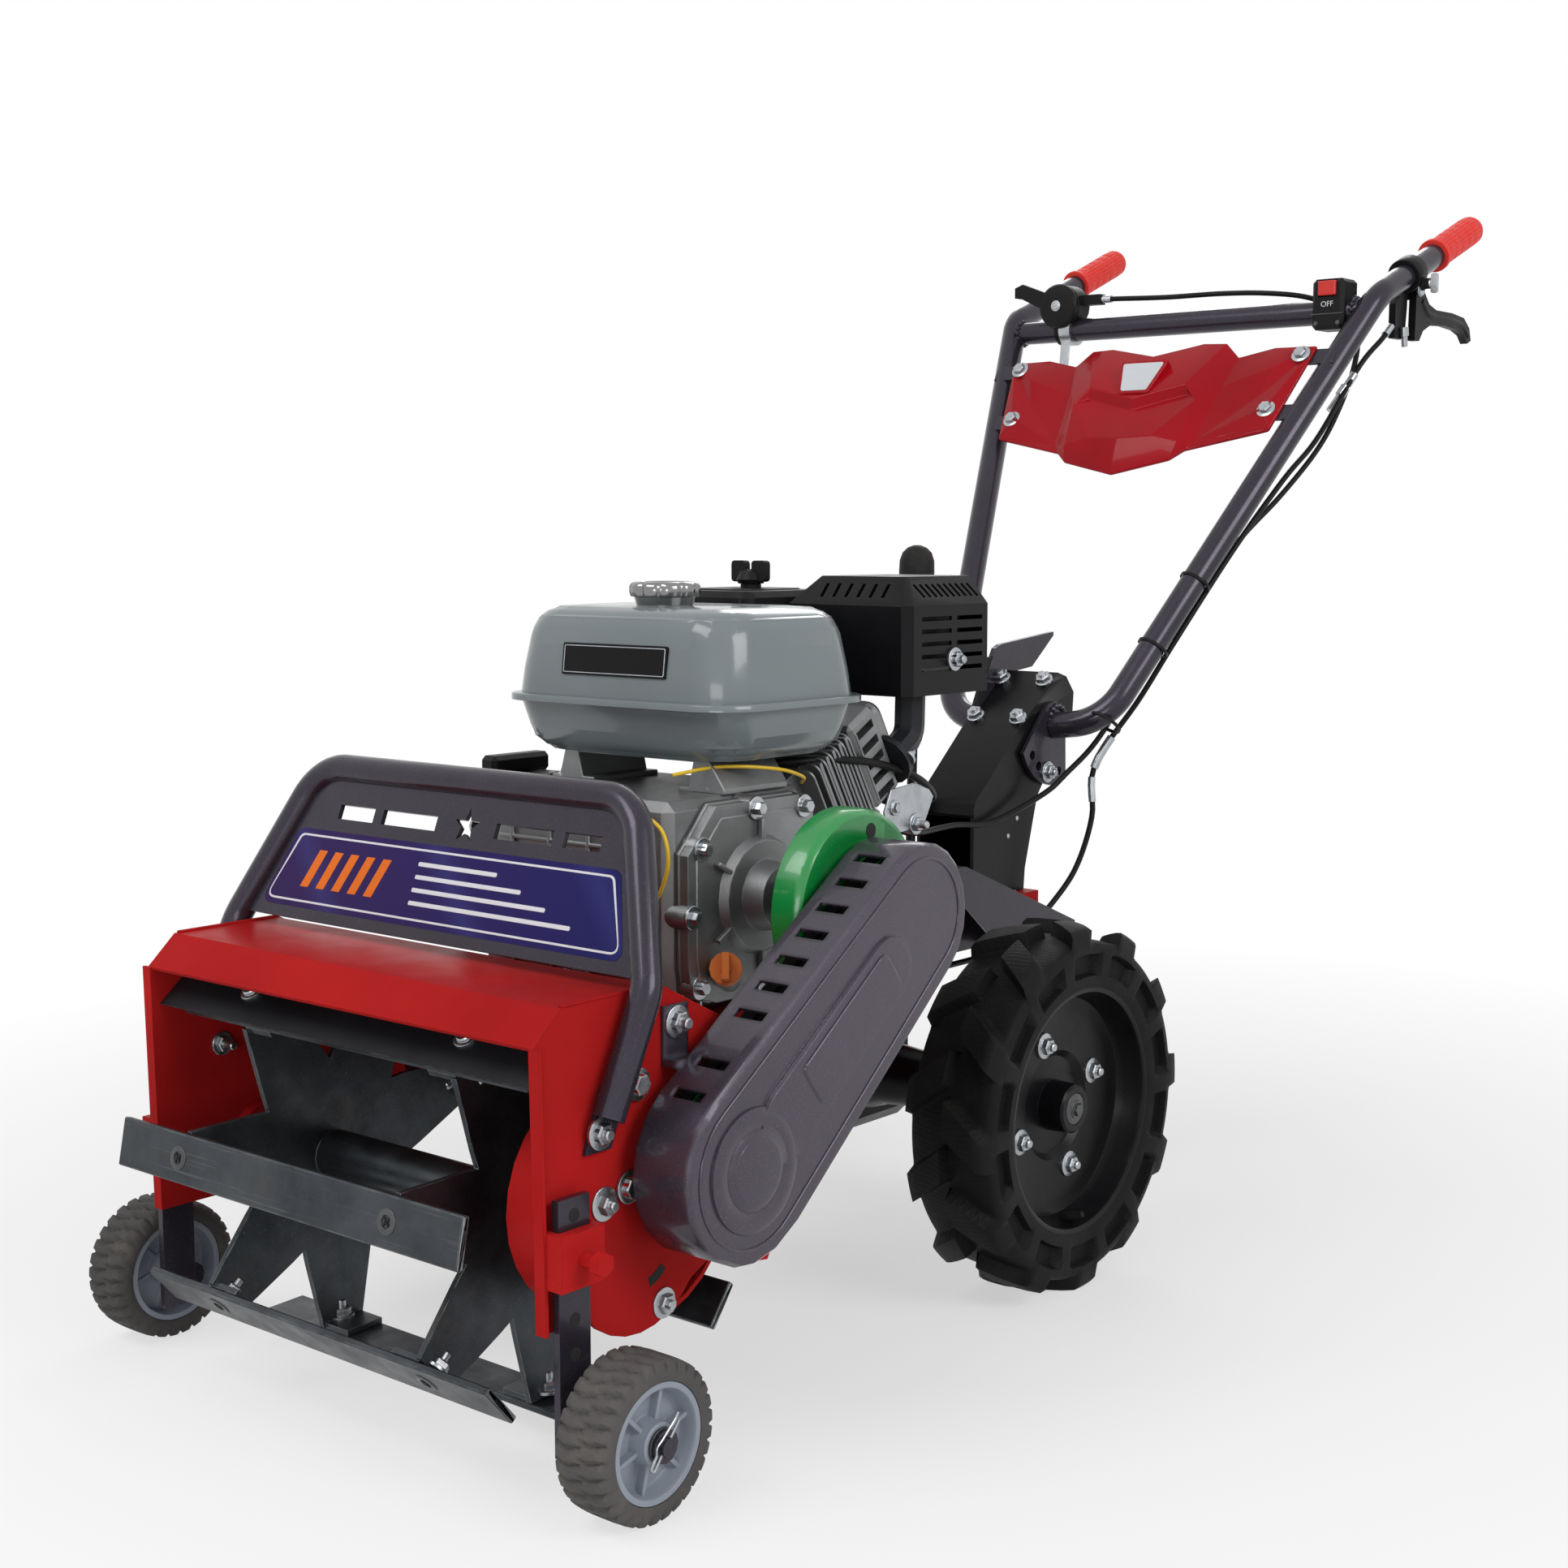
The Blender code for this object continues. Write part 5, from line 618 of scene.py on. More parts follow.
def inset_outline(corners, inset):
    """The corners of a four-sided outline moved in by the inset."""
    middle = sum((Vector(corner) for corner in corners), Vector((0, 0))) / len(corners)
    return [(a - math.copysign(inset, a - middle.x), b - math.copysign(inset, b - middle.y))
            for a, b in corners]


def guard_tube():
    corners = []
    for away in (1, -1):
        leg = [(ROTOR.x + away * GUARD_LOW.x, 0.018, 0.270),
               (ROTOR.x + away * GUARD_LOW.x, GUARD_LOW.y, GUARD_LOW.z),
               (ROTOR.x + away * GUARD_TOP.x, GUARD_TOP.y, GUARD_TOP.z)]
        corners += leg[::away]
    tube = Shape().tube(placed(bent(corners, 0.045, 12)), 0.0117, 24)
    tube.piece("guard_tube", "chassis", PURPLE, "frame_paint")
    beads = Shape()
    count = 9
    for away in (1, -1):
        for k in range(count):
            spot = panel_point(away * (0.176 + 0.048 * k / count), -0.006 - 0.124 * k / count, -0.001)
            beads.lathe(basis(spot, Y), [(-0.0025, 0.0014), (-0.001, 0.0034), (0.001, 0.0034),
                                         (0.0025, 0.0014)], 10)
    beads.piece("guard_weld_beads", "chassis", PURPLE, "frame_paint")


def guard_label():
    """A generic field of colour on the panel, with a border, slanted bars and lines."""
    matrix = plane(panel_point(0, 0, 0), X, panel_point(0, 1, 0) - panel_point(0, 0, 0))
    face, print_height = 0.002, 0.0005
    low, high = -0.1205, -0.0540
    field = [(-0.2095, low), (0.2095, low), (0.1855, high), (-0.1855, high)]
    Shape().slab(matrix, rounded(field, 0.009), face, face + 0.0003).piece(
        "decal_field", "chassis", DECAL)
    outer, inner = inset_outline(field, 0.0045), inset_outline(field, 0.0063)
    border = Shape().strip(matrix, rounded(outer, 0.0075), rounded(inner, 0.0060), face,
                           face + print_height)
    border.piece("decal_border", "chassis", WHITE_LINE)
    bars = Shape()
    foot, head, width, lean = -0.103, -0.071, 0.010, 0.013
    for k in range(5):
        left = -0.165 + k * 0.020
        bars.slab(matrix, [(left, foot), (left + width, foot), (left + width + lean, head),
                           (left + lean, head)], face, face + print_height)
    bars.piece("decal_bars", "chassis", LABEL_ORANGE)
    lines = Shape()
    left, thick = -0.030, 0.0035
    for k, right in enumerate((0.150, 0.120, 0.090, 0.060)):
        low = -0.104 + k * 0.0105
        line = rounded([(left, low), (right, low), (right, low + thick), (left, low + thick)], 0.0016, 3)
        lines.slab(matrix, line, face, face + print_height)
    lines.piece("decal_lines", "chassis", WHITE_LINE)


# Rotor and its housing


def housing_bolts():
    bolts = Shape()
    for outer, away in ((PLATE_LEFT, 1), (PLATE_RIGHT, -1)):
        out = X * away
        for y, z in ((0.060, 0.285), (0.050, 0.212)):
            bolts.bolt((outer + away * 0.0015, y, z), out, 0.0083, 0.0068)
        bolts.bolt((outer + away * 0.0058, 0.0175, 0.259), out, 0.0083, 0.0068, stub=0.003)
        bolts.bolt((outer, 0.100, 0.322), out, 0.0085, 0.007, stub=0.004)
        bolts.bolt((outer, 0.087, 0.116), out, 0.0080, 0.007, stub=0.002)
        bolts.bolt((outer, 0.026, 0.205), out, 0.0078, 0.0085, stub=0.003, washer=1.6)
    for x in (-0.10, 0.15):
        bolts.bolt((x, -0.010, 0.3170), (0, -0.6508, 0.7593), 0.0072, 0.0048, 24)
    bolts.bolt((PLATE_RIGHT + 0.0045, 0.0255, 0.254), X, 0.0070, 0.006, stub=0.010)
    bolts.bolt((0.2538, 0.099, 0.324), X, 0.0085, 0.0070, stub=0.005)
    bolts.piece("housing_bolts", "chassis", ZINC)


def housing_marks():
    """The painted shade of the slot in the left plate and of the holes in the struts, as thin near black
    sheets, and the hood's folded seams.
    """
    turn = (-74.0, -46.0, 12)
    slot = arc((0.0, 0.0), 0.0400, *turn) + arc((0.0, 0.0), 0.0325, *turn)[::-1]
    # A thin near black sheet as painted shade in the slot.
    Shape().slab(basis((PLATE_LEFT, ROTOR.y, ROTOR.z), X, Y), slot, -0.001, 0.0002).piece(
        "arc_slot_painted_shade", "chassis", PAINTED_SHADE)
    for side, away in SIDES:
        x = ROTOR.x + away * (HOUSING_HALF + 0.012)
        holes = Shape()
        for z in (0.085, 0.110, 0.135, 0.2095):
            # Thin near black discs as painted shade in the strut's holes.
            holes.lathe(basis((x, -0.015, z), X * away), [(0.0, 0.005), (0.0002, 0.005)], 20)
        holes.piece(f"strut_hole_painted_shade_{side}", f"strut_{side}", PAINTED_SHADE)
    seams = Shape()
    for x in (PLATE_LEFT - 0.002, PLATE_RIGHT + 0.002):
        route = ((x, -0.012, HOOD_Z), (x, 0.085, HOOD_Z), (x, 0.150, 0.3185), (x, 0.222, 0.2635))
        seams.tube(placed(route), 0.0016, 8)
    seams.piece("housing_seams", "chassis", RED, "red_paint")


def rotor_parts():
    """What holds the seven blade bars: screw heads with a cross of painted shade, nuts, and the bars' cut
    ends.
    """
    heads, nuts, ends, cross_painted_shade = Shape(), Shape(), Shape(), Shape()
    bars, first = 7, math.radians(169.0)
    face_reach, nut_reach, end_reach = 0.151, 0.1395, 0.148
    bolt_side, end_side = 0.1225, 0.1985
    for bar in range(bars):
        heading = first + bar * 2 * math.pi / bars
        out, across = spoke(heading), spoke(heading + math.pi / 2)
        for side in (-1, 1):
            spot = ROTOR + out * face_reach + X * (side * bolt_side)
            heads.lathe(basis(spot, out), [(-0.001, 0.0095), (0.0004, 0.0095), (0.0008, 0.0086),
                                           (0.0008, 0.0050), (-0.0004, 0.0046)], 24)
            for half_x, half_y in ((0.0042, 0.0008), (0.0008, 0.0042)):
                # Two thin near black blocks on each head: painted shade of the cross in it.
                cross_painted_shade.slab(basis(spot, out, X + across), oblong(half_x, half_y), 0.0, 0.0009)
            spot = ROTOR + out * nut_reach + X * (side * bolt_side)
            nuts.bolt(spot, -out, 0.0085, 0.0075, stub=0.006, washer=1.3)
            edge = ROTOR + out * end_reach + X * (side * end_side)
            ends.slab(plane(edge, across * side, out), oblong(0.0180, 0.0022), 0.0, 0.0003)
    heads.piece("blade_bolt_heads", "rotor", DARK_STEEL)
    cross_painted_shade.piece("blade_bolt_cross_painted_shade", "rotor", PAINTED_SHADE)
    nuts.piece("blade_bolt_nuts", "rotor", ZINC)
    ends.piece("blade_cut_ends", "rotor", BRIGHT)


# Fuel tank


def section(half_x, half_y, corner, steps):
    """A rectangle round the middle with corners of many steps."""
    points = []
    for sx, sy, first in ((1, 1, 0), (-1, 1, 90), (-1, -1, 180), (1, -1, 270)):
        points += arc((sx * (half_x - corner), sy * (half_y - corner)), corner, first, first + 90, steps)
    return points


def tank_shell():
    half_x, half_y, steps = 0.1375, 0.101, 10
    levels = [(0.044, 0.022, -0.0460), (0.033, 0.030, -0.0455), (0.024, 0.034, -0.0420),
              (0.0175, 0.036, -0.0350), (0.0135, 0.037, -0.0250), (0.0095, 0.039, -0.0100),
              (0.0070, 0.040, 0.0), (0.0095, 0.040, 0.0250), (0.0135, 0.040, 0.0510),
              (0.0155, 0.040, 0.0600), (0.0190, 0.039, 0.0680), (0.0250, 0.037, 0.0740),
              (0.0340, 0.034, 0.0775), (0.0480, 0.026, 0.0790)]
    shell = Shape()
    shell.rows([placed(TANK + Vector((a, b, height))
                       for a, b in section(half_x - inset, half_y - inset, corner, steps))
                for inset, corner, height in levels])
    shell.lathe(basis(FILLER, Z), [(-0.010, 0.034), (-0.0005, 0.030), (0.0015, 0.024), (0.008, 0.0225)], 40)
    shell.piece("tank_shell", "chassis", TANK_PAINT, "tank_grey", angle=55)
    seam = Shape().slab(Matrix.Translation(TANK - ORIGIN), section(0.1378, 0.1013, 0.045, steps),
                        -0.0027, 0.0029, 0.0008)
    seam.piece("tank_seam", "chassis", TANK_PAINT, "tank_grey", angle=50)


def tank_cap():
    """The filler cap, with scallops round its rim."""
    scallops, depth = 10, 0.0024

    def scallop(_, angle):
        return depth * (0.5 - 0.5 * math.cos(angle * scallops)) ** 4

    profile = [(0.0005, 0.0240, 0), (0.0085, 0.0262, 0), (0.0090, 0.0292, 1), (0.0125, 0.0305, 1),
               (0.0175, 0.0305, 1), (0.0200, 0.0290, 0.8), (0.0213, 0.0262, 0.3), (0.0216, 0.0215, 0),
               (0.0207, 0.0205, 0), (0.0207, 0.0020, 0)]
    cap = Shape().turned(Matrix.Translation(FILLER - ORIGIN), profile, 120, scallop)
    cap.piece("tank_cap", "tank_cap", CHROME, "chrome", replaces=("fuel_cap",), angle=40)


def tank_feet():
    feet = Shape()
    for leg in ([(-0.0705, 0.4618), (-0.0195, 0.4618), (-0.0195, 0.4662), (-0.0330, 0.4662),
                 (-0.0385, 0.4895), (-0.0535, 0.4905), (-0.0607, 0.4662), (-0.0705, 0.4662)],
                [(0.0795, 0.4618), (0.1305, 0.4618), (0.1305, 0.4662), (0.1128, 0.4905),
                 (0.0970, 0.4895), (0.0912, 0.4662), (0.0795, 0.4662)]):
        feet.slab(plane((0, 0.3727, 0), X, Z), leg, -0.0002, 0.0812)
    feet.piece("tank_feet", "chassis", CAST, "cast_aluminium", bevel=0.0008)


def tank_label():
    """A bare black plate with a thin line round it."""
    half_x, half_y, line_inset, line_width = 0.0600, 0.0135, 0.0018, 0.0008
    front = TANK.y - 0.101 + 0.0115
    matrix = plane((0.0330, front - 0.0016, 0.5700), X, (0, 0.12, 1))
    plate = Shape().slab(matrix, oblong(half_x, half_y, 0.002), -0.004, 0.0006)
    plate.piece("tank_label", "chassis", LABEL_BLACK)
    inner_x, inner_y = half_x - line_inset, half_y - line_inset
    line = Shape().strip(matrix, oblong(inner_x, inner_y, 0.0016),
                         oblong(inner_x - line_width, inner_y - line_width, 0.0012), 0.0004, 0.0009)
    line.piece("tank_label_line", "chassis", ZINC)


# Engine


def along_cylinder(distance, up=0.0, x=CYLINDER_X):
    return Vector((x, CRANK.y + distance * math.cos(CYLINDER_LEAN) - up * math.sin(CYLINDER_LEAN),
                   CRANK.z + distance * math.sin(CYLINDER_LEAN) + up * math.cos(CYLINDER_LEAN)))


def engine_bolts():
    bolts = Shape()
    for y, z in COVER_SCREWS:
        bolts.bolt((0.149, y, z), X, 0.0058, 0.0082, washer=1.7)
    for x in (-0.060, 0.112):
        for y in (0.300, 0.362):
            bolts.bolt((x, y, 0.4653), Z, 0.0060, 0.0060)
    for x in (0.0995, 0.1385):
        bolts.bolt((x, 0.5322, 0.4742), spoke(CYLINDER_LEAN), 0.0055, 0.006, stub=0.004)
    for x in (-0.080, 0.1385):
        for y in (0.250, 0.372):
            bolts.bolt((x, y, 0.2855), Z, 0.0070, 0.007, stub=0.006)
    bolts.bolt((0.1515, 0.5860, 0.5615), X, 0.0074, 0.0068, stub=0.004)
    bolts.piece("engine_bolts", "chassis", ZINC)
    drain = Shape().bolt((0.020, CASE_FRONT, 0.3020), -Y, 0.0085, 0.007, washer=1.5)
    drain.bolt((-0.040, CASE_FRONT, 0.3900), -Y, 0.0055, 0.005)
    drain.piece("drain_plug", "chassis", ZINC)


def side_cover():
    """The crankcase's side cover: gasket, stepped flange and screw bosses."""
    outline = [(0.232, 0.306), (0.262, 0.296), (0.370, 0.296), (0.386, 0.320), (0.386, 0.440),
               (0.366, 0.457), (0.262, 0.457), (0.228, 0.420), (0.228, 0.330)]
    matrix = basis((0.135, 0, 0), X, Y)
    middle = Vector((0.307, 0.3765))

    def grown(factor):
        return [tuple(middle + (Vector(point) - middle) * factor) for point in outline]

    Shape().slab(matrix, grown(1.03), 0.0, 0.0012).piece("cover_gasket", "chassis", SEAL)
    flange = Shape().slab(matrix, grown(1.02), 0.0015, 0.0045)
    flange.slab(matrix, grown(0.88), 0.0120, 0.0137, 0.001)
    flange.piece("cover_flange", "chassis", CAST, "cast_aluminium", bevel=0.001)
    bosses = Shape()
    for y, z in COVER_SCREWS:
        bosses.lathe(basis((0.118, y, z), X), [(0.0, 0.0118), (0.0290, 0.0104), (0.0305, 0.0094)], 28)
    bosses.piece("cover_bosses", "chassis", CAST, "cast_aluminium")


def casting_ribs():
    ribs = Shape()
    width, foot = 0.004, 0.2195
    for k in range(5):
        z = 0.315 + 0.026 * k
        ribs.block(MACHINE, (-0.060, 0.2165, z), (0.118, foot, z + width))
    for k in range(4):
        x = -0.045 + 0.045 * k
        ribs.block(MACHINE, (x, 0.2160, 0.300), (x + width, foot, 0.448))
    for k in range(6):
        out = spoke(math.radians(30 + 60 * k))
        spot = CRANK + X * 0.149 + out * 0.028
        ribs.block(basis(spot, X, out), (0.0, -0.002, 0.0), (0.036, 0.002, 0.006))
    ribs.piece("casting_ribs", "chassis", CAST, "cast_aluminium", bevel=0.0012)
    Shape().lathe(basis((0.110, 0.2185, 0.415), -Y), [(0.0, 0.0095), (0.0006, 0.0095)], 28).piece(
        "green_dot", "chassis", GREEN_DOT)


def cylinder_pieces():
    stand = Matrix.Rotation(CYLINDER_LEAN, 4, "X") @ Matrix.Rotation(-math.pi / 2, 4, "X")
    fins = Shape()
    for k in range(8):
        place = along_cylinder(0.128 + k * 0.0095, -0.009)
        fins.slab(Matrix.Translation(place - ORIGIN) @ stand, oblong(0.063, 0.0425, 0.010), 0.0, 0.0020)
    fins.piece("barrel_fins", "chassis", CAST, "cast_aluminium")
    place = along_cylinder(0.2295, -0.008)
    head = Shape().slab(Matrix.Translation(place - ORIGIN) @ stand, oblong(0.056, 0.038, 0.014), 0.0,
                        0.016, 0.003)
    head.piece("rocker_cover", "chassis", CAST, "cast_aluminium", bevel=0.0015)


def engine_leads():
    """The plug's cap and lead, two yellow wires and the fuel hose."""
    heading = Vector((0.25, 0.75, -0.35))
    spot = along_cylinder(0.214, -0.046, 0.100)
    cap = Shape().lathe(basis(spot, heading), [(0.0, 0.009), (0.018, 0.009), (0.020, 0.0075),
                                               (0.040, 0.0070), (0.046, 0.0045)], 24)
    cap.piece("plug_cap", "chassis", PLASTIC, "black_plastic")
    lead = smooth_path([spot + heading.normalized() * 0.044, (0.118, 0.600, 0.430),
                        (0.132, 0.560, 0.452), (0.130, 0.505, 0.470), (0.126, 0.450, 0.478),
                        (0.100, 0.400, 0.478), (0.060, 0.392, 0.470)], 40)
    Shape().tube(placed(lead), 0.0035, 12).piece("plug_lead", "chassis", CABLE)
    wires = Shape()
    for route in ([(0.095, 0.268, 0.478), (0.120, 0.300, 0.484), (0.142, 0.345, 0.480),
                   (0.138, 0.384, 0.470), (0.120, 0.405, 0.462)],
                  [(0.118, 0.2120, 0.452), (0.140, 0.2080, 0.440), (0.145, 0.2080, 0.415),
                   (0.130, 0.2110, 0.386), (0.105, 0.2150, 0.372)]):
        wires.tube(placed(smooth_path(route, 26)), 0.0016, 8)
    wires.piece("yellow_wires", "chassis", YELLOW)
    hose = smooth_path([(-0.030, 0.440, 0.492), (-0.030, 0.455, 0.478), (-0.026, 0.478, 0.466),
                        (-0.020, 0.490, 0.460)], 20)
    Shape().tube(placed(hose), 0.0042, 12).piece("fuel_hose", "chassis", CABLE)


def lever_bracket():
    bracket = Shape()
    outline = [(-0.030, 0.006), (-0.020, 0.026), (0.030, 0.030), (0.045, 0.014), (0.030, -0.012),
               (-0.024, -0.016)]
    bracket.slab(basis((0.1280, 0.540, 0.420), X, Y), outline[::-1], 0.0, 0.002)
    bracket.piece("lever_bracket", "chassis", ZINC, bevel=0.0005)
    nuts = Shape().bolt((0.1300, 0.557, 0.4111), X, 0.0070, 0.006, stub=0.007)
    nuts.bolt((0.1300, 0.525, 0.4290), X, 0.0050, 0.005)
    nuts.piece("bracket_nuts", "chassis", ZINC)


def recoil_pieces():
    """The starter's vent slots as near black blocks of painted shade, its boss and bolts, and the rope that
    the grip draws out.
    """
    side, count = -0.0853, 16
    slots = Shape()
    for ring, high in ((0.034, 0.0042), (0.046, 0.0030)):
        for k in range(count):
            out = spoke(2 * math.pi * k / count)
            # Near black blocks: painted shade in the vent slots.
            slots.slab(basis(CRANK + X * (side - 0.0640) + out * ring, -X, out),
                       oblong(0.005, 0.0016, 0.0012, 3), -0.003, high)
    slots.piece("recoil_slot_painted_shade", "chassis", PAINTED_SHADE)
    boss = Shape()
    boss.lathe(basis(CRANK + X * (side - 0.0645), -X),
               [(-0.002, 0.024), (0.003, 0.024), (0.005, 0.020), (0.005, 0.010), (0.0035, 0.009)], 36)
    for k in range(3):
        boss.bolt(CRANK + X * (side - 0.027) + spoke(math.radians(30 + 120 * k)) * 0.084, -X, 0.006, 0.006)
    boss.piece("recoil_boss", "chassis", ZINC)
    outlet, low, pitch = Vector((-0.1300, 0.3060, 0.0)) - ORIGIN, 0.4500, 0.0010
    rope = Shape().tube([outlet + Z * (low + pitch * step) for step in range(16)], 0.0018, 12)
    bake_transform(rope.piece("starter_rope", None, WHITE_LINE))


def cleaner_pieces():
    """The air cleaner's stepped lid and the wings of its knob."""
    outline = oblong(0.0578, 0.0608, 0.012)
    matrix = Matrix.Translation(Vector((-0.055, 0.530, 0)) - ORIGIN)
    lid = Shape().slab(matrix, outline, 0.590, 0.6225, 0.006)
    lid.slab(matrix, [(a * 0.7, b * 0.7) for a, b in outline], 0.6210, 0.6240, 0.002)
    lid.piece("cleaner_lid", "chassis", PLASTIC, "black_plastic", bevel=0.001)
    wings = Shape()
    knob = Vector((-0.045, 0.530, 0.640))
    for side in (-1, 1):
        wings.slab(basis(knob + X * (side * 0.0125), Y, X), oblong(0.0085, 0.010, 0.004),
                   -0.0044, 0.0044, 0.001)
    wings.piece("knob_wings", "cleaner_knob", PLASTIC, "black_plastic", bevel=0.0008)


# Belt drive


def belt_point(reach, up=0.0):
    """A (y, z) place along the line from the lower pulley to the upper one."""
    along = (CRANK - COUNTER).normalized()
    return (COUNTER + along * reach + Vector((0, -along.z, along.y)) * up)[1:]


def loop_round(first, first_radius, second, second_radius, steps=20):
    """The outline of a band drawn round two circles."""
    away = math.hypot(second[0] - first[0], second[1] - first[1])
    heading = math.degrees(math.atan2(second[1] - first[1], second[0] - first[0]))
    lean = math.degrees(math.acos((first_radius - second_radius) / away))
    return (arc(second, second_radius, heading - lean, heading + lean, steps)
            + arc(first, first_radius, heading + lean, heading + 360.0 - lean, steps))


def cover_relief():
    """The pressed step, long panel and round emboss on the belt cover's face."""
    matrix = basis((0, 0, 0), X, Y)
    face = 0.318
    low, high, sunk = belt_point(0.0), belt_point(0.2568), 0.001
    step = Shape().strip(matrix, loop_round(low, 0.0590, high, 0.0470),
                         loop_round(low, 0.0565, high, 0.0445), face - sunk, face + 0.0012)
    step.piece("cover_step", "chassis", RELIEF, "frame_paint", bevel=0.0008)
    corners = [belt_point(0.078, -0.021), belt_point(0.203, -0.019), belt_point(0.203, 0.019),
               belt_point(0.078, 0.021)]
    panel = Shape().slab(matrix, rounded(corners, 0.009), face - sunk, face + 0.0046, 0.0016)
    panel.piece("cover_panel", "chassis", RELIEF, "frame_paint", bevel=0.0006)
    emboss = Shape()
    emboss.lathe(basis((face - sunk, COUNTER.y, COUNTER.z), X),
                 [(0.0, 0.047), (0.003, 0.046), (0.0042, 0.043), (0.0042, 0.034), (0.003, 0.031),
                  (0.003, 0.027), (0.0055, 0.0245), (0.0060, 0.020), (0.0060, 0.0)], 64)
    emboss.piece("cover_emboss", "chassis", RELIEF, "frame_paint")


def drum_pieces():
    """The green drum's dished face and the keyhole in it, as a near black sheet of painted shade."""
    start, width = 0.229, 0.027
    drum = Shape()
    drum.lathe(basis(CRANK + X * start, X),
               [(0.0, 0.0745), (0.0, 0.0795), (0.020, 0.0795), (0.0245, 0.0775), (width, 0.0745),
                (width, 0.055), (width - 0.003, 0.050), (width - 0.003, 0.022),
                (width + 0.001, 0.020), (width + 0.001, 0.0128), (0.016, 0.0128),
                (0.019, 0.030), (0.019, 0.0700)], 72, loop=True)
    drum.piece("green_drum", "crank", GREEN, "drum_green")
    key = arc((0.0, 0.0), 0.0062, -60, 240, 16) + [(-0.0031, -0.016), (0.0031, -0.016)]
    # A thin near black sheet: painted shade in the keyhole.
    hole = Shape().slab(basis((start + width, 0.3258, 0.4400), X, Y), key, -0.001, 0.0003)
    hole.piece("drum_keyhole_painted_shade", "crank", PAINTED_SHADE)


# Wheels


def rear_tyre(side, away):
    """A tyre with smooth chevron lugs, shoulder blocks and pockets in its wall."""
    centre = Vector((away * TRACK_HALF, AXLE.y, AXLE.z)) - ORIGIN
    lugs, pockets, count = 12, 14, 288
    lug_height, pocket_depth, sweep = 0.0130, 0.0075, 9.0 * 2 * math.pi / lugs
    stations = [(-0.0385, 0.1095, 0.0, 0.0), (-0.0402, 0.1150, 0.0, 0.0), (-0.0412, 0.1210, 0.0, 0.0),
                (-0.0416, 0.1230, 0.0, 0.9), (-0.0422, 0.1310, 0.0, 1.0), (-0.0424, 0.1390, 0.0, 1.0),
                (-0.0422, 0.1410, 0.05, 0.0), (-0.0415, 0.1450, 0.35, 0.0),
                (-0.0400, 0.1490, 0.85, 0.0), (-0.0370, 0.1508, 1.0, 0.0), (-0.0280, 0.1518, 1.0, 0.0),
                (-0.0180, 0.1522, 1.0, 0.0), (-0.0080, 0.1525, 1.0, 0.0), (-0.0015, 0.1525, 1.0, 0.0)]
    stations += [(-x, radius, tread, pocket) for x, radius, tread, pocket in stations[::-1]]
    tyre = Shape()
    layer = tyre.mesh.loops.layers.uv.new("round")
    rows = []
    for x, radius, tread, pocket in stations:
        row = []
        half = 1 if x > 0 else -1
        for step in range(count):
            phase = (step * lugs / count + (0.5 if x > 0 else 0.0)) % 1.0
            angle = 2 * math.pi * step / count + sweep * abs(x)
            lug = min(1.0, max(0.0, (0.215 - abs(phase - 0.25)) / 0.042))
            height = lug_height * tread * lug * lug * (3 - 2 * lug)
            dent = ((angle * pockets / (2 * math.pi)) % 1.0) - 0.5
            sunk = min(1.0, max(0.0, (0.36 - abs(dent)) / 0.07))
            inward = pocket_depth * pocket * sunk * half
            row.append(tyre.mesh.verts.new(centre + X * (x - inward) + spoke(angle) * (radius + height)))
        rows.append(row)
    rows.append(rows[0])
    for k, (first, second) in enumerate(zip(rows, rows[1:])):
        for i in range(count):
            j = (i + 1) % count
            face = tyre.mesh.faces.new((first[i], first[j], second[j], second[i]))
            for loop, (u, v) in zip(face.loops, ((i, k), (i + 1, k), (i + 1, k + 1), (i, k + 1))):
                loop[layer].uv = (u / count, v * 0.0085)
    tyre.piece(f"tyre_rear_{side}", "rear_wheels", TYRE, "tyre", replaces=(f"rear_tyre_{side}",), angle=50)


def rear_rim(side, away):
    centre = Vector((away * TRACK_HALF, AXLE.y, AXLE.z))
    out = X * away
    rim = Shape()
    rim.lathe(basis(centre, out),
              [(-0.0345, 0.1097), (-0.0345, 0.1140), (-0.0365, 0.1150), (-0.0375, 0.1130),
               (-0.0375, 0.1060), (0.0060, 0.1010), (0.0060, 0.0600), (-0.0010, 0.0460),
               (-0.0010, 0.0270), (-0.0310, 0.0270), (-0.0310, 0.0145), (0.0310, 0.0145),
               (0.0310, 0.0200), (0.0290, 0.0220), (0.0060, 0.0230), (0.0060, 0.0300),
               (0.0045, 0.0440), (0.0100, 0.0500), (0.0108, 0.0900), (0.0130, 0.0985),
               (0.0200, 0.1020), (0.0345, 0.1050), (0.0375, 0.1060), (0.0388, 0.1085),
               (0.0384, 0.1140), (0.0365, 0.1150), (0.0345, 0.1097)], 96, loop=True)
    rim.piece(f"rim_rear_{side}", "rear_wheels", BLACK, "black_paint", replaces=(f"rear_rim_{side}",))
    bolts = Shape()
    for angle in (20, 110, 200, 290):
        bolts.bolt(centre + out * 0.0108 + spoke(math.radians(angle)) * 0.062, out, 0.0078, 0.0075,
                   stub=0.003, washer=1.5)
    bolts.piece(f"rim_bolts_{side}", "rear_wheels", ZINC)
    hub = Shape()
    hub.lathe(basis(centre + out * 0.0285, out), [(0.0, 0.0140), (0.0022, 0.0140), (0.0030, 0.0128)], 40)
    hub.bolt(centre + out * 0.0310, out, 0.0062, 0.005, washer=1.35)
    hub.piece(f"hub_end_{side}", "rear_wheels", DARK_STEEL)
    valve = Shape()
    valve.lathe(basis(centre + out * 0.030 - Z * 0.098, (away, 0, 0.35)),
                [(-0.010, 0.0040), (0.0, 0.0040), (0.004, 0.0030), (0.010, 0.0030), (0.011, 0.0022)], 16)
    valve.piece(f"valve_{side}", "rear_wheels", BELT, "rubber")


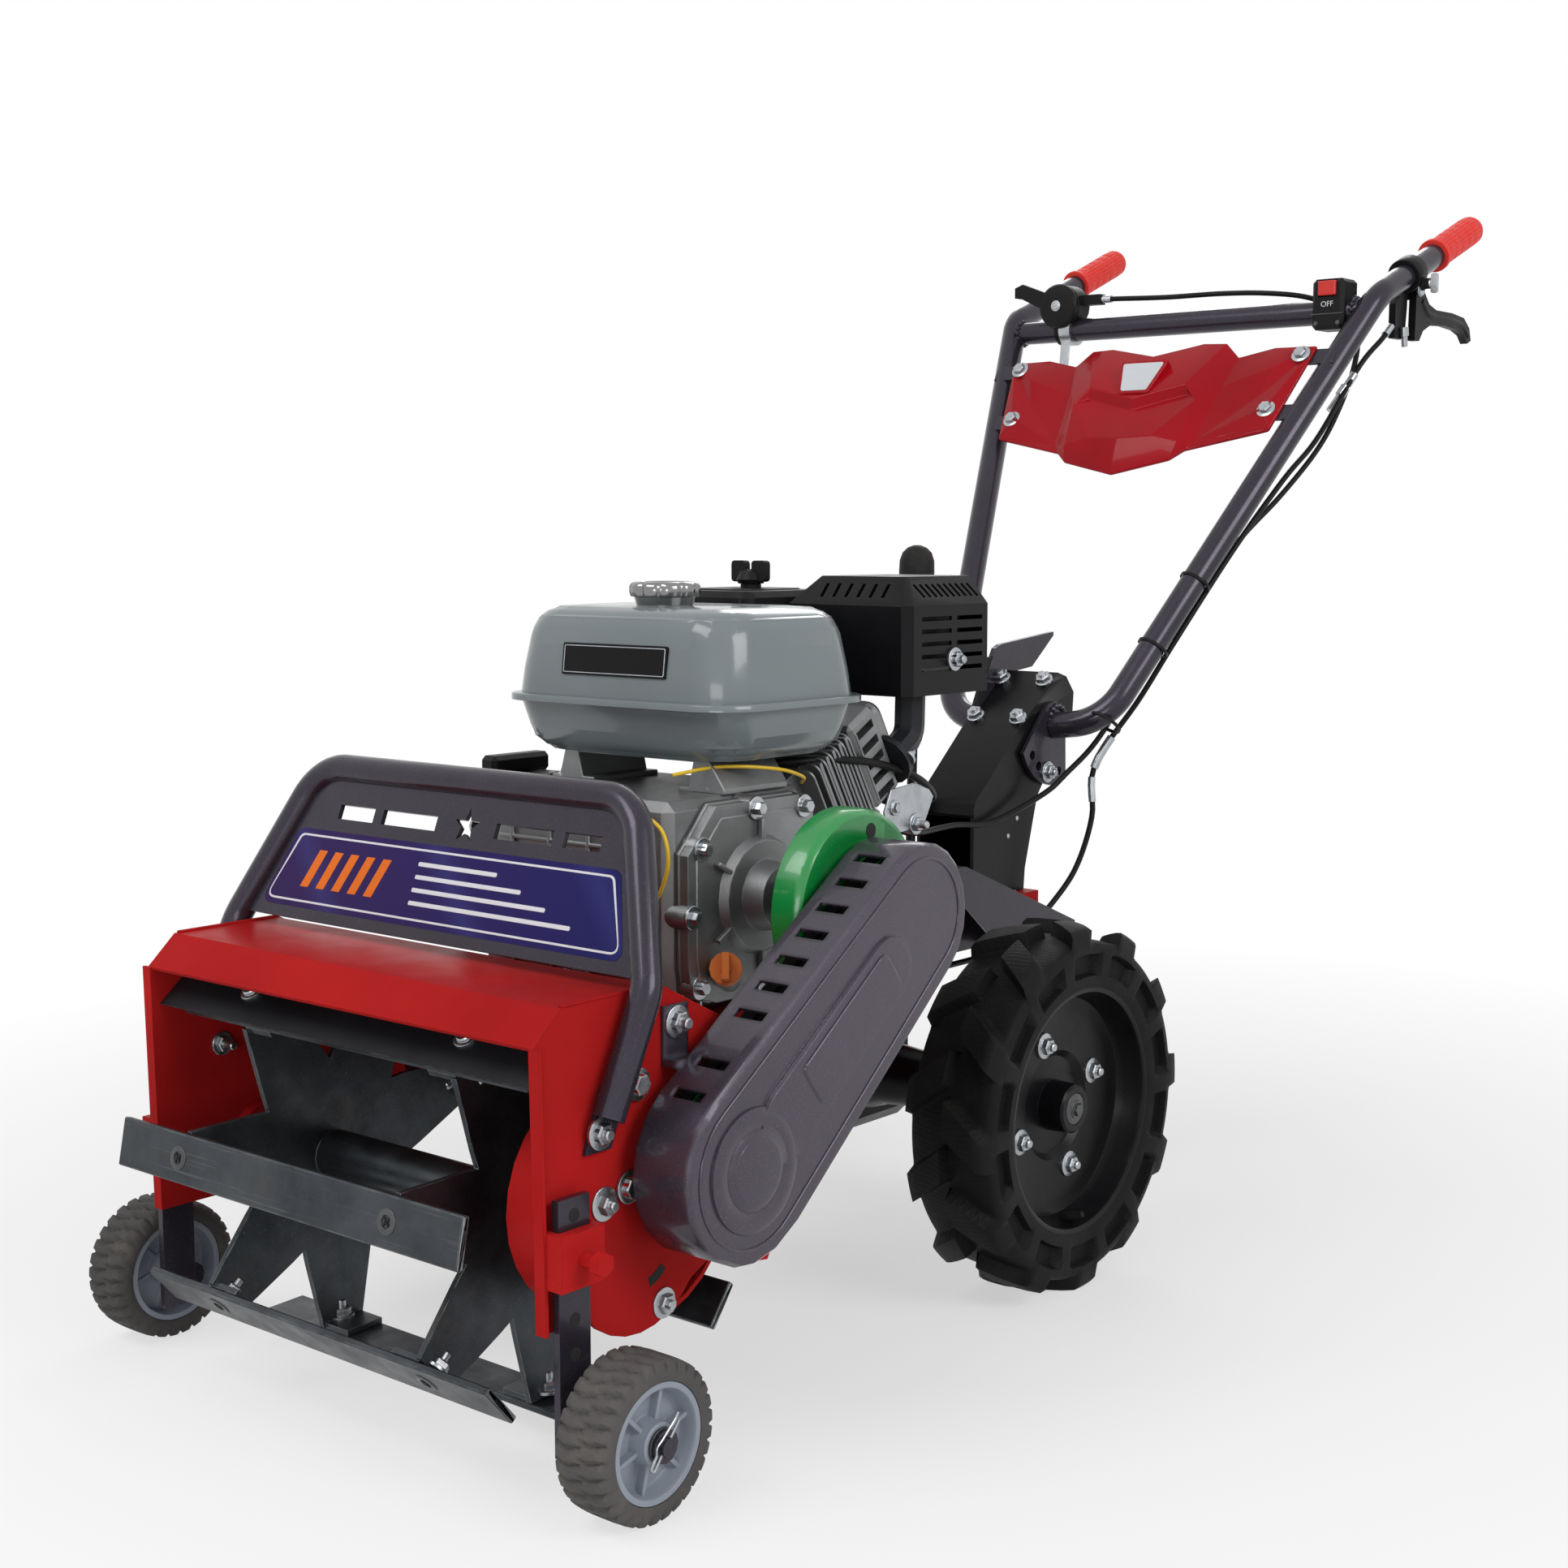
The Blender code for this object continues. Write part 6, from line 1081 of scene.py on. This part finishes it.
def front_tyre(side, centre):
    """A tyre with rows of tread blocks between zigzag grooves."""
    blocks, depth = 30, 0.0034

    def groove(x, angle):
        zigzag = abs(((abs(x) / 0.010) % 2.0) - 1.0) * 0.30
        phase = (angle * blocks / (2 * math.pi) + zigzag + (0.5 if x > 0 else 0.0)) % 1.0
        return depth * min(1.0, 2.0 * max(0.0, 1.0 - abs(phase - 0.5) / 0.17))

    half = [(-0.0225, 0.0430, 0), (-0.02375, 0.0460, 0), (-0.02375, 0.0500, 0.5), (-0.0225, 0.0540, 1),
            (-0.0200, 0.0572, 1), (-0.0150, 0.0578, 1), (-0.0100, 0.0580, 1), (-0.0050, 0.0580, 1)]
    stations = half + [(0.0, 0.0580, 0.9)] + [(-x, radius, tread) for x, radius, tread in half[::-1]]
    tyre = Shape().turned(basis(centre, X, Y), stations, 240, groove, loop=True)
    tyre.piece(f"tyre_front_{side}", f"front_wheel_{side}", GREY_RUBBER, "tyre",
               replaces=(f"front_tyre_{side}",), angle=50)


def front_hub(side, out, centre):
    hub = Shape()
    hub.lathe(basis(centre, out), [(-0.0218, 0.0428), (-0.0218, 0.0380), (-0.0060, 0.0360),
                                   (-0.0040, 0.0150), (-0.0218, 0.0150), (-0.0237, 0.0140),
                                   (-0.0237, 0.0075), (0.0237, 0.0075), (0.0237, 0.0140),
                                   (0.0225, 0.0152), (0.0110, 0.0165), (0.0090, 0.0175),
                                   (0.0090, 0.0340), (0.0120, 0.0362), (0.0200, 0.0370),
                                   (0.0225, 0.0385), (0.0225, 0.0425), (0.0210, 0.0428)], 64, loop=True)
    for k in range(6):
        radial = spoke(math.radians(60 * k + 15))
        hub.block(basis(centre, out, radial), (0.015, -0.0017, -0.006), (0.0368, 0.0017, 0.0165))
    hub.piece(f"hub_front_{side}", f"front_wheel_{side}", RIM_GREY, "rim_grey",
              replaces=(f"front_hub_{side}",), bevel=0.0005)


def wheel_pin(side, out, centre):
    """The washer and the bent wire clip on the end of a front wheel's pin."""
    end = centre + out * 0.0245
    washer = Shape().lathe(basis(end, out), [(0.0, 0.0125), (0.0015, 0.0125), (0.0018, 0.0118)], 40)
    washer.piece(f"pin_washer_{side}", f"strut_{side}", DARK_STEEL)
    clip = Shape()
    spot = end + out * 0.0045
    straight = [(0.0, -0.012, -0.014), (0.0, -0.004, -0.004), (0.0, 0.006, 0.007), (0.0, 0.013, 0.015)]
    curl = [(0.0, -0.012, -0.014), (0.0, -0.015, -0.011), (0.0, -0.010, -0.004), (0.0, -0.009, 0.002),
            (0.0, -0.004, 0.006), (0.0, 0.003, 0.012), (0.0, 0.009, 0.017), (0.0, 0.012, 0.021)]
    for route in (straight, smooth_path(curl, 26)):
        clip.tube(placed(spot + Vector(point) for point in route), 0.0011, 8)
    clip.piece(f"pin_clip_{side}", f"strut_{side}", ZINC)


# Column and frame


def column_pieces():
    slope = math.atan2(0.0525, 0.0685)
    along, out = spoke(slope), spoke(slope + math.pi / 2)
    bolts = Shape()
    for x in (-0.027, 0.027):
        for reach in (0.0095, 0.0712):
            bolts.bolt(Vector((x, 0.8715, 0.475)) + along * reach + out * 0.0010, out, 0.0084, 0.0080,
                       stub=0.002, washer=1.14)
        for y in (0.800, 0.862):
            bolts.bolt((x, y, 0.2995), Z, 0.0065, 0.006)
    bolts.piece("column_bolts", "chassis", ZINC)
    rivets = Shape()
    for y, z in ((0.8647, 0.3777), (0.8484, 0.3605)):
        rivets.lathe(basis((0.0355, y, z), X), [(0.0, 0.0028), (0.001, 0.0024), (0.0014, 0.0010)], 16)
    rivets.piece("column_rivets", "chassis", ZINC)
    fin = [(0.876, 0.477), (0.936, 0.5225), (0.945, 0.5245), (0.992, 0.5295), (1.034, 0.562),
           (1.034, 0.566), (0.930, 0.556), (0.920, 0.552)]
    Shape().slab(basis((-0.0362, 0, 0), X, Y), fin, -0.0002, 0.0056).piece(
        "column_fin", "chassis", PURPLE, "frame_paint")
    half = 0.0358
    Shape().lathe(basis((0.0, 0.7895, 0.388), X, Y), [(-half, 0.0045), (half, 0.0045)], 24).piece(
        "column_curl", "chassis", BLACK, "black_paint")


def pivot_pieces():
    beads = Shape().weld(Vector((0.0430, BEND.y, BEND.z)), 0.0145,
                         [(-0.0012, 0.0035), (0.0010, 0.0032), (0.0028, 0.0012)])
    beads.piece("pivot_weld_beads", "handle", PURPLE, "frame_paint")
    pins = Shape()
    for away in (1, -1):
        spot = PIVOT + spoke(math.radians(255)) * 0.0505 + X * (away * 0.0425)
        pins.bolt(spot, X * away, 0.0078, 0.0075, stub=0.003)
    pins.piece("height_bolts", "handle", ZINC)


def gear_lever_pieces():
    foot, lean = Vector((-0.030, 0.765, 0.3200)), math.radians(1.6)
    knob = Shape()
    knob.lathe(basis(foot, (0, math.sin(lean), math.cos(lean))),
               [(0.273, 0.0095), (0.278, 0.0150), (0.284, 0.0158), (0.300, 0.0172), (0.316, 0.0182),
                (0.328, 0.0178), (0.336, 0.0150), (0.341, 0.0100), (0.3435, 0.0040), (0.3438, 0.0)], 40)
    knob.piece("lever_knob", "shift_lever", RUBBER, "black_plastic")
    boot = Shape()
    boot.lathe(basis(foot - Z * 0.020, Z),
               [(0.0, 0.021), (0.004, 0.0205), (0.006, 0.017), (0.009, 0.018), (0.011, 0.014)], 36)
    boot.piece("lever_boot", "chassis", RUBBER, "black_plastic")


# Handlebar


def dash_point(x, up, out):
    """A place on the plane of the two long tubes, from its middle."""
    along = up - DASH_REACH
    return Vector((x, CROSSBAR.y + along * math.cos(TUBE_SLOPE) - out * math.sin(TUBE_SLOPE),
                   CROSSBAR.z + along * math.sin(TUBE_SLOPE) + out * math.cos(TUBE_SLOPE)))


def tube_side(up):
    along = up - DASH_REACH
    length = math.hypot(CROSSBAR.z - BEND.z, CROSSBAR.y - BEND.y)
    return CROSSBAR_HALF + along * (CROSSBAR_HALF - BEND.x) / length


def grip_heading(away):
    heading = (GRIP_END - TUBE_BEND).normalized()
    return Vector((heading.x * away, heading.y, heading.z))


def handle_tubes():
    tubes = Shape()
    for away in (1, -1):
        corners = [Vector((away * x, y, z)) for x, y, z in ((0.0415, PIVOT.y, PIVOT.z), BEND, TUBE_BEND,
                                                            GRIP_END)]
        tubes.tube(placed(bent(corners, 0.055, 14)), BAR_RADIUS + 0.0006, 28)
    tubes.tube(placed(CROSSBAR + X * x for x in (-0.225, 0.0, 0.225)), 0.0134, 28)
    tubes.piece("handle_tubes", "handle", PURPLE, "frame_paint")
    beads = Shape().weld(Vector((0.2195, CROSSBAR.y, CROSSBAR.z)), 0.0138,
                         [(-0.0030, 0.0012), (0.0, 0.0034), (0.0030, 0.0012)])
    beads.piece("crossbar_welds", "handle", PURPLE, "frame_paint")


def grip(side, away):
    """A grip with a collar, five ribbed bands and a rounded end."""
    flutes, depth, sleeve, ribbed_end = 24, 0.0010, -0.095, -0.005

    def flute(along, angle):
        return depth * max(0.0, math.cos(angle * flutes)) if sleeve < along < ribbed_end else 0.0

    heading = grip_heading(away)
    end = Vector((away * GRIP_END.x, GRIP_END.y, GRIP_END.z)) + heading * 0.0063
    profile = [(-0.104, 0.0140), (-0.104, 0.0186), (-0.1025, 0.0192), (-0.0985, 0.0192),
               (-0.0970, 0.0182), (-0.0960, 0.0166)]
    for band in range(5):
        start = -0.0940 + band * 0.0180
        profile += [(start, 0.0162), (start + 0.0010, 0.0170), (start + 0.0160, 0.0170),
                    (start + 0.0170, 0.0162)]
    profile += [(-0.0040, 0.0166), (0.0, 0.0166), (0.0030, 0.0155), (0.0040, 0.0130), (0.0042, 0.0001)]
    made = Shape().turned(basis(end, heading), [(along, radius, 1) for along, radius in profile], 144, flute)
    made.piece(f"ribbed_grip_{side}", "handle", GRIP_RED, "red_rubber", replaces=(f"grip_{side}",))


def dash_pieces():
    """The pressed shield: half of its folds as named places, mirrored, then given thickness."""
    matrix = plane(dash_point(0, 0, BAR_RADIUS + 0.0003), X, dash_point(0, 1, 0) - dash_point(0, 0, 0))
    places = {
        "low": (0.0, -0.085, 0.006), "low side": (0.068, -0.066, 0.005),
        "waist": (0.083, -0.052, 0.004), "ear low": (0.176, -0.027, 0.003),
        "ear end": (0.198, 0.088, 0.003), "ear top": (0.148, 0.089, 0.003),
        "neck": (0.107, 0.077, 0.004), "peak": (0.088, 0.095, 0.008),
        "crest side": (0.060, 0.095, 0.010), "notch": (0.0, 0.080, 0.011),
        "brow": (0.0, 0.010, 0.0215), "brow side": (0.062, 0.030, 0.019),
        "step": (0.0, 0.001, 0.012), "step side": (0.065, 0.021, 0.011),
        "chin": (0.0, -0.044, 0.019), "cheek": (0.042, -0.040, 0.0165),
        "ridge": (0.080, 0.010, 0.015), "ridge low": (0.073, -0.045, 0.011),
        "valley": (0.098, 0.034, 0.0035), "valley low": (0.091, -0.038, 0.003),
        "rib": (0.160, 0.056, 0.0085), "ear dip": (0.150, 0.022, 0.0025),
        "ear rib": (0.166, 0.002, 0.0075)}
    facets = [
        ("notch", "brow", "brow side", "crest side"), ("crest side", "brow side", "peak"),
        ("brow", "step", "step side", "brow side"), ("step", "cheek", "step side"),
        ("step", "chin", "cheek"), ("step side", "cheek", "ridge"), ("chin", "low", "low side", "cheek"),
        ("cheek", "ridge low", "ridge"), ("cheek", "low side", "ridge low"),
        ("ridge low", "low side", "waist"), ("peak", "ridge", "valley", "neck"),
        ("brow side", "ridge", "peak"), ("brow side", "step side", "ridge"),
        ("ridge", "ridge low", "valley low", "valley"), ("ridge low", "waist", "valley low"),
        ("valley", "rib", "ear top", "neck"), ("rib", "ear end", "ear top"), ("valley", "ear dip", "rib"),
        ("rib", "ear dip", "ear end"), ("valley", "valley low", "ear dip"),
        ("ear dip", "ear rib", "ear end"), ("ear dip", "valley low", "ear rib"),
        ("ear rib", "ear low", "ear end"), ("valley low", "ear low", "ear rib"),
        ("valley low", "waist", "ear low")]
    shield = Shape()
    for away in (1, -1):
        made = {name: shield.mesh.verts.new(matrix @ Vector((away * x, up, out)))
                for name, (x, up, out) in places.items()}
        for facet in facets:
            shield.mesh.faces.new([made[name] for name in facet][::away])
    shield = shield.piece("pressed_shield", "handle", DASH_RED, "dash_red", replaces=("dashboard",),
                          angle=12)
    sheet = shield.modifiers.new("pressed sheet", "SOLIDIFY")
    sheet.thickness = 0.005
    sheet.offset = -1.0
    folds = shield.modifiers.new("rounded folds", "BEVEL")
    folds.width = 0.0013
    folds.segments = 3
    folds.limit_method = "ANGLE"
    folds.angle_limit = math.radians(10)


def dash_fittings():
    """The shield's plain badge and its four bolts."""
    matrix = plane(dash_point(0, 0, BAR_RADIUS + 0.0003), X, dash_point(0, 1, 0) - dash_point(0, 0, 0))
    outline = [(-0.019, 0.017), (0.019, 0.017), (0.031, 0.064), (-0.031, 0.064)]
    middle = 0.0405
    face = [(a * 0.86, middle + (b - middle) * 0.84) for a, b in outline]
    Shape().slab(matrix, rounded(outline, 0.003, 3), 0.012, 0.0225, 0.0008).piece(
        "badge_rim", "handle", DASH_RED, "dash_red")
    Shape().slab(matrix, rounded(face, 0.003, 3), 0.0220, 0.0231).piece("badge_face", "handle", BADGE)
    bolts = Shape()
    out = dash_point(0, 0, 1) - dash_point(0, 0, 0)
    for away in (-1, 1):
        for x, up in ((0.166, 0.0), (0.184, 0.075)):
            bolts.bolt(dash_point(away * x, up, BAR_RADIUS + 0.0052), out, 0.0074, 0.0070, washer=1.45)
    bolts.piece("dash_bolts", "handle", ZINC)


# Controls


def clutch_pieces():
    heading = grip_heading(1)
    clamp = TUBE_BEND + heading * 0.080
    metal = Shape()
    metal.lathe(basis(clamp + Vector((0.016, 0.002, -0.012)), X),
                [(0.0, 0.0045), (0.010, 0.0045), (0.011, 0.0035)], 20)
    metal.slab(basis(clamp + Vector((0.031, 0.002, -0.012)), Y, X), oblong(0.004, 0.011, 0.003),
               -0.0016, 0.0016)
    metal.bolt((0.2448, 1.3575, 0.9490), X, 0.0062, 0.0040, 24, washer=1.1)
    metal.lathe(basis((0.2395, 1.3310, 0.9030), (0, 0.15, -1)), [(-0.004, 0.0052), (0.006, 0.0052),
                                                               (0.006, 0.0038), (0.018, 0.0034)], 20)
    metal.piece("clutch_fittings", "handle", ZINC)
    band = Shape()
    band.lathe(basis(clamp - heading * 0.0115, heading),
               [(0.0, 0.0150), (0.0, 0.0188), (0.0010, 0.0194), (0.0210, 0.0194), (0.0220, 0.0188),
                (0.0220, 0.0150)], 40, loop=True)
    band.piece("clamp_band", "handle", PLASTIC, "black_plastic")
    blade = smooth_path([(0.2405, 1.3660, 0.9380), (0.2405, 1.3860, 0.9245), (0.2405, 1.4200, 0.9225),
                         (0.2405, 1.4550, 0.9215), (0.2405, 1.4820, 0.9180), (0.2405, 1.4980, 0.9080)], 30)
    Shape().tube(placed(blade), 0.0062, 16).piece("lever_blade", "clutch", PLASTIC, "black_plastic")


def throttle_pieces():
    centre = Vector((-0.157, 1.247, 0.948))
    dial = Shape()
    dial.lathe(basis(centre - Y * 0.020, -Y), [(-0.006, 0.0262), (-0.003, 0.0262), (0.0, 0.0240),
                                             (0.0012, 0.0160), (0.0012, 0.0120)], 48)
    dial.piece("throttle_cover", "throttle", PLASTIC, "black_plastic")
    screw = Shape().bolt(centre - Y * 0.0212, -Y, 0.0050, 0.0024, 24, washer=1.3)
    screw.piece("throttle_screw", "throttle", ZINC)
    inner, outer, width = 0.0176, 0.0182, 0.015
    strap = Shape().slab(basis((-0.1500, 1.2365, 0.893), (0, -1, 0.12), X), oblong(0.006, 0.017, 0.003),
                         0.0, 0.0015)
    strap.lathe(basis((-0.1575, CROSSBAR.y, CROSSBAR.z), X),
                [(0.0, inner), (0.0, outer), (width, outer), (width, inner)], 40)
    strap.piece("throttle_strap", "handle", ZINC)


def switch_pieces():
    """The stop switch's joint line, screws and its one word."""
    low, high, proud = Vector((0.1745, 1.2310, 0.9166)), Vector((0.2125, 1.2690, 0.9176)), 0.0004
    details = Shape()
    details.block(MACHINE, (low.x - proud, low.y - proud, low.z), (high.x + proud, high.y + proud, high.z))
    for x in (low.x + 0.006, high.x - 0.006):
        details.lathe(basis((x, low.y - 0.0002, 0.907), -Y), [(0.0, 0.0026), (0.0006, 0.0024)], 16)
    details.piece("switch_details", "handle", DARK_STEEL)
    word = bpy.data.curves.new("switch_word", "FONT")
    word.body = "OFF"
    word.size = 0.0085
    word.extrude = 0.0002
    word.align_x = word.align_y = "CENTER"
    word.materials.append(WHITE_LINE)
    text = bpy.data.objects.new("switch_word", word)
    bpy.context.scene.collection.objects.link(text)
    text.matrix_world = plane((0.1935, low.y - 0.0002, 0.9275), X, Z)
    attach(text, "handle")


def cable_ties():
    ties = Shape()
    width, inner, outer = 0.0030, 0.0162, 0.0176
    for up, spare in ((-0.300, 0.0), (-0.215, 0.0), (-0.395, 0.001)):
        spot = dash_point(tube_side(up), up, -0.002)
        along = dash_point(tube_side(up + 0.01), up + 0.01, -0.002) - spot
        ties.lathe(basis(spot - along.normalized() * (width / 2), along),
                   [(0.0, inner), (0.0, outer + spare), (width, outer + spare), (width, inner)], 32,
                   loop=True)
    ties.piece("cable_ties", "handle", PLASTIC, "black_plastic")


# Cables


def behind(up, side, back=0.0):
    """A place on the far side of the left tube, for a cable that follows it."""
    return dash_point(tube_side(up) + side, up, -(BAR_RADIUS + 0.004 + back))


def cable_pieces():
    clutch = [(0.232, 1.3130, 0.9070), (0.229, 1.297, 0.892), (0.216, 1.268, 0.860),
              behind(0.010, 0.0, 0.028), behind(-0.060, 0.006, 0.010), behind(-0.160, 0.008),
              behind(-0.280, 0.008), (0.110, 0.985, 0.500), (0.078, 0.950, 0.430),
              (0.080, 0.942, 0.375), (0.074, 0.923, 0.324), (0.066, 0.893, 0.290),
              (0.061, 0.850, 0.264), (0.060, 0.800, 0.249), (0.060, 0.700, 0.247),
              (0.062, 0.600, 0.250), (0.072, 0.550, 0.258), (0.120, 0.530, 0.262),
              (0.165, 0.500, 0.262), (0.176, 0.440, 0.262), (0.182, 0.350, 0.258),
              (0.210, 0.290, 0.250), (0.250, 0.250, 0.244), (0.2545, 0.228, 0.241),
              (0.2540, 0.205, 0.240)]
    throttle = [(-0.1047, 1.247, 0.954), (-0.085, 1.248, 0.9535), (-0.020, 1.250, 0.9510),
                (0.050, 1.252, 0.9505), (0.106, 1.256, 0.9475), (0.150, 1.271, 0.941),
                (0.185, 1.286, 0.925), (0.204, 1.286, 0.900), (0.210, 1.268, 0.860),
                (0.203, 1.245, 0.810), (0.190, 1.2225, 0.767), (0.171, 1.175, 0.716),
                (0.151, 1.118, 0.666), behind(-0.250, -0.005, 0.004), (0.094, 0.988, 0.505),
                (0.076, 0.952, 0.453), (0.0655, 0.914, 0.4235), (0.055, 0.8862, 0.403),
                (0.0445, 0.8078, 0.3806), (0.046, 0.7344, 0.3841), (0.060, 0.660, 0.386),
                (0.080, 0.600, 0.396), (0.090, 0.560, 0.412), (0.088, 0.5385, 0.425)]
    sheath, fitting = 0.003, 0.0044
    for name, route in (("clutch", clutch), ("throttle", throttle)):
        path = placed(smooth_path(route, 150))
        made = Shape().tube(path, sheath, 14).piece(f"{name}_cable_sheath", None, CABLE, "rubber",
                                                    replaces=(f"{name}_cable",))
        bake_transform(made)
        Shape().tube([path[0], path[0].lerp(path[6], 0.7)], fitting, 16).piece(
            f"{name}_cable_collar", "handle", ZINC)
        Shape().tube([path[-1], path[-1].lerp(path[-6], 0.8)], fitting, 16).piece(
            f"{name}_cable_foot", "chassis", ZINC)
        if name == "clutch":
            barrel = Shape().tube(path[47:51], 0.0046, 16).tube(path[51:55], 0.0040, 6)
            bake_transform(barrel.piece("lower_adjuster", None, ZINC))
    first, last = placed([(0.2140, 1.2620, 0.8520), (0.1985, 1.2350, 0.8110)])
    adjuster = Shape().tube([first, last], 0.0045, 16)
    adjuster.tube([first.lerp(last, 0.35), first.lerp(last, 0.60)], 0.0060, 6)
    adjuster.piece("cable_adjuster", "handle", ZINC)


# Stage


def floor():
    """A floor that keeps the shadow near the machine and is plain white further off."""
    data = bpy.data.meshes.new("floor")
    size = 30.0
    data.from_pydata([(x, y, 0) for x, y in oblong(size, size)], [], [(0, 1, 2, 3)])
    made = bpy.data.objects.new("floor", data)
    bpy.context.scene.collection.objects.link(made)
    surface = Surface("floor_surface")
    surface.link(surface.mix(surface.noise(0.8, 2.0), (0.78, 0.78, 0.78), (0.80, 0.80, 0.80)),
                 surface.shader.inputs["Base Color"])
    surface.shader.inputs["Roughness"].default_value = 0.85
    surface.shader.inputs["Specular IOR Level"].default_value = 0.1
    white = surface.node("ShaderNodeEmission")
    white.inputs["Color"].default_value = (1.0, 1.0, 1.0, 1.0)
    length = surface.node("ShaderNodeVectorMath", operation="LENGTH")
    surface.link(surface.coordinates, length.inputs[0])
    rays = surface.node("ShaderNodeLightPath")
    seen = surface.maths("MAXIMUM", rays.outputs["Is Camera Ray"], rays.outputs["Is Glossy Ray"])
    far = surface.maths("MULTIPLY", surface.spread(length.outputs["Value"], 0.5, 1.5, 0.55, 1.0), seen)
    blend = surface.node("ShaderNodeMixShader")
    surface.link(far, blend.inputs["Fac"])
    surface.link(surface.shader.outputs["BSDF"], blend.inputs[1])
    surface.link(white.outputs["Emission"], blend.inputs[2])
    surface.link(blend.outputs["Shader"], surface.tree.nodes["Material Output"].inputs["Surface"])
    data.materials.append(surface.material)


def world():
    """White where the camera or a reflection sees it, and dimmer as a light."""
    made = bpy.data.worlds.new("studio")
    bpy.context.scene.world = made
    made.use_nodes = True
    tree = made.node_tree
    back = tree.nodes["Background"]
    back.inputs["Color"].default_value = (1.0, 1.0, 1.0, 1.0)
    rays = tree.nodes.new("ShaderNodeLightPath")
    seen = tree.nodes.new("ShaderNodeMath")
    seen.operation = "MAXIMUM"
    tree.links.new(rays.outputs["Is Camera Ray"], seen.inputs[0])
    tree.links.new(rays.outputs["Is Glossy Ray"], seen.inputs[1])
    strength = tree.nodes.new("ShaderNodeMapRange")
    strength.inputs["To Min"].default_value = 0.34
    strength.inputs["To Max"].default_value = 1.0
    tree.links.new(seen.outputs["Value"], strength.inputs["Value"])
    tree.links.new(strength.outputs["Result"], back.inputs["Strength"])


def lamps():
    for name, place, target, size, power in (
            ("key", (-0.6, -2.6, 3.0), (0.0, -0.1, 0.4), (2.2, 1.4), 48.0),
            ("side", (3.2, -0.4, 2.2), (0.0, 0.0, 0.5), (2.0, 1.4), 54.0),
            ("rear", (-1.5, 2.8, 2.6), (0.0, 0.3, 0.6), (1.8, 1.2), 26.0),
            ("front low", (1.6, -3.2, 0.7), (0.0, -0.4, 0.3), (1.6, 0.8), 16.0)):
        light = bpy.data.lights.new(name, "AREA")
        light.shape = "RECTANGLE"
        light.size, light.size_y = size
        light.energy = power
        lamp = bpy.data.objects.new(name, light)
        bpy.context.scene.collection.objects.link(lamp)
        lamp.location = place
        lamp.rotation_euler = (Vector(target) - Vector(place)).to_track_quat("-Z", "Y").to_euler()


def camera():
    data = bpy.data.cameras.new("camera")
    data.lens = 50.08
    data.sensor_width = 36.0
    data.clip_end = 100.0
    made = bpy.data.objects.new("camera", data)
    bpy.context.scene.collection.objects.link(made)
    made.location = (1.2868, -1.7496, 0.6743)
    made.rotation_euler = (math.radians(83.475), 0.0, math.radians(39.805))
    bpy.context.scene.camera = made


bpy.context.scene.view_settings.view_transform = "Standard"
camera()
cable_pieces()
dress_nodes()
for make in (guard_tube, guard_label, housing_bolts, housing_marks, rotor_parts, tank_shell, tank_cap,
             tank_feet, tank_label, engine_bolts, side_cover, casting_ribs, cylinder_pieces,
             engine_leads, lever_bracket, recoil_pieces, cleaner_pieces, cover_relief, drum_pieces,
             column_pieces, pivot_pieces, gear_lever_pieces, handle_tubes, dash_pieces,
             dash_fittings, clutch_pieces, throttle_pieces, switch_pieces, cable_ties):
    make()
for SIDE, AWAY in SIDES:
    rear_tyre(SIDE, AWAY)
    rear_rim(SIDE, AWAY)
    HUB = Vector((ROTOR.x + AWAY * 0.27775, 0.0, 0.058))
    front_tyre(SIDE, HUB)
    front_hub(SIDE, X * AWAY, HUB)
    wheel_pin(SIDE, X * AWAY, HUB)
    grip(SIDE, AWAY)
floor()
world()
lamps()
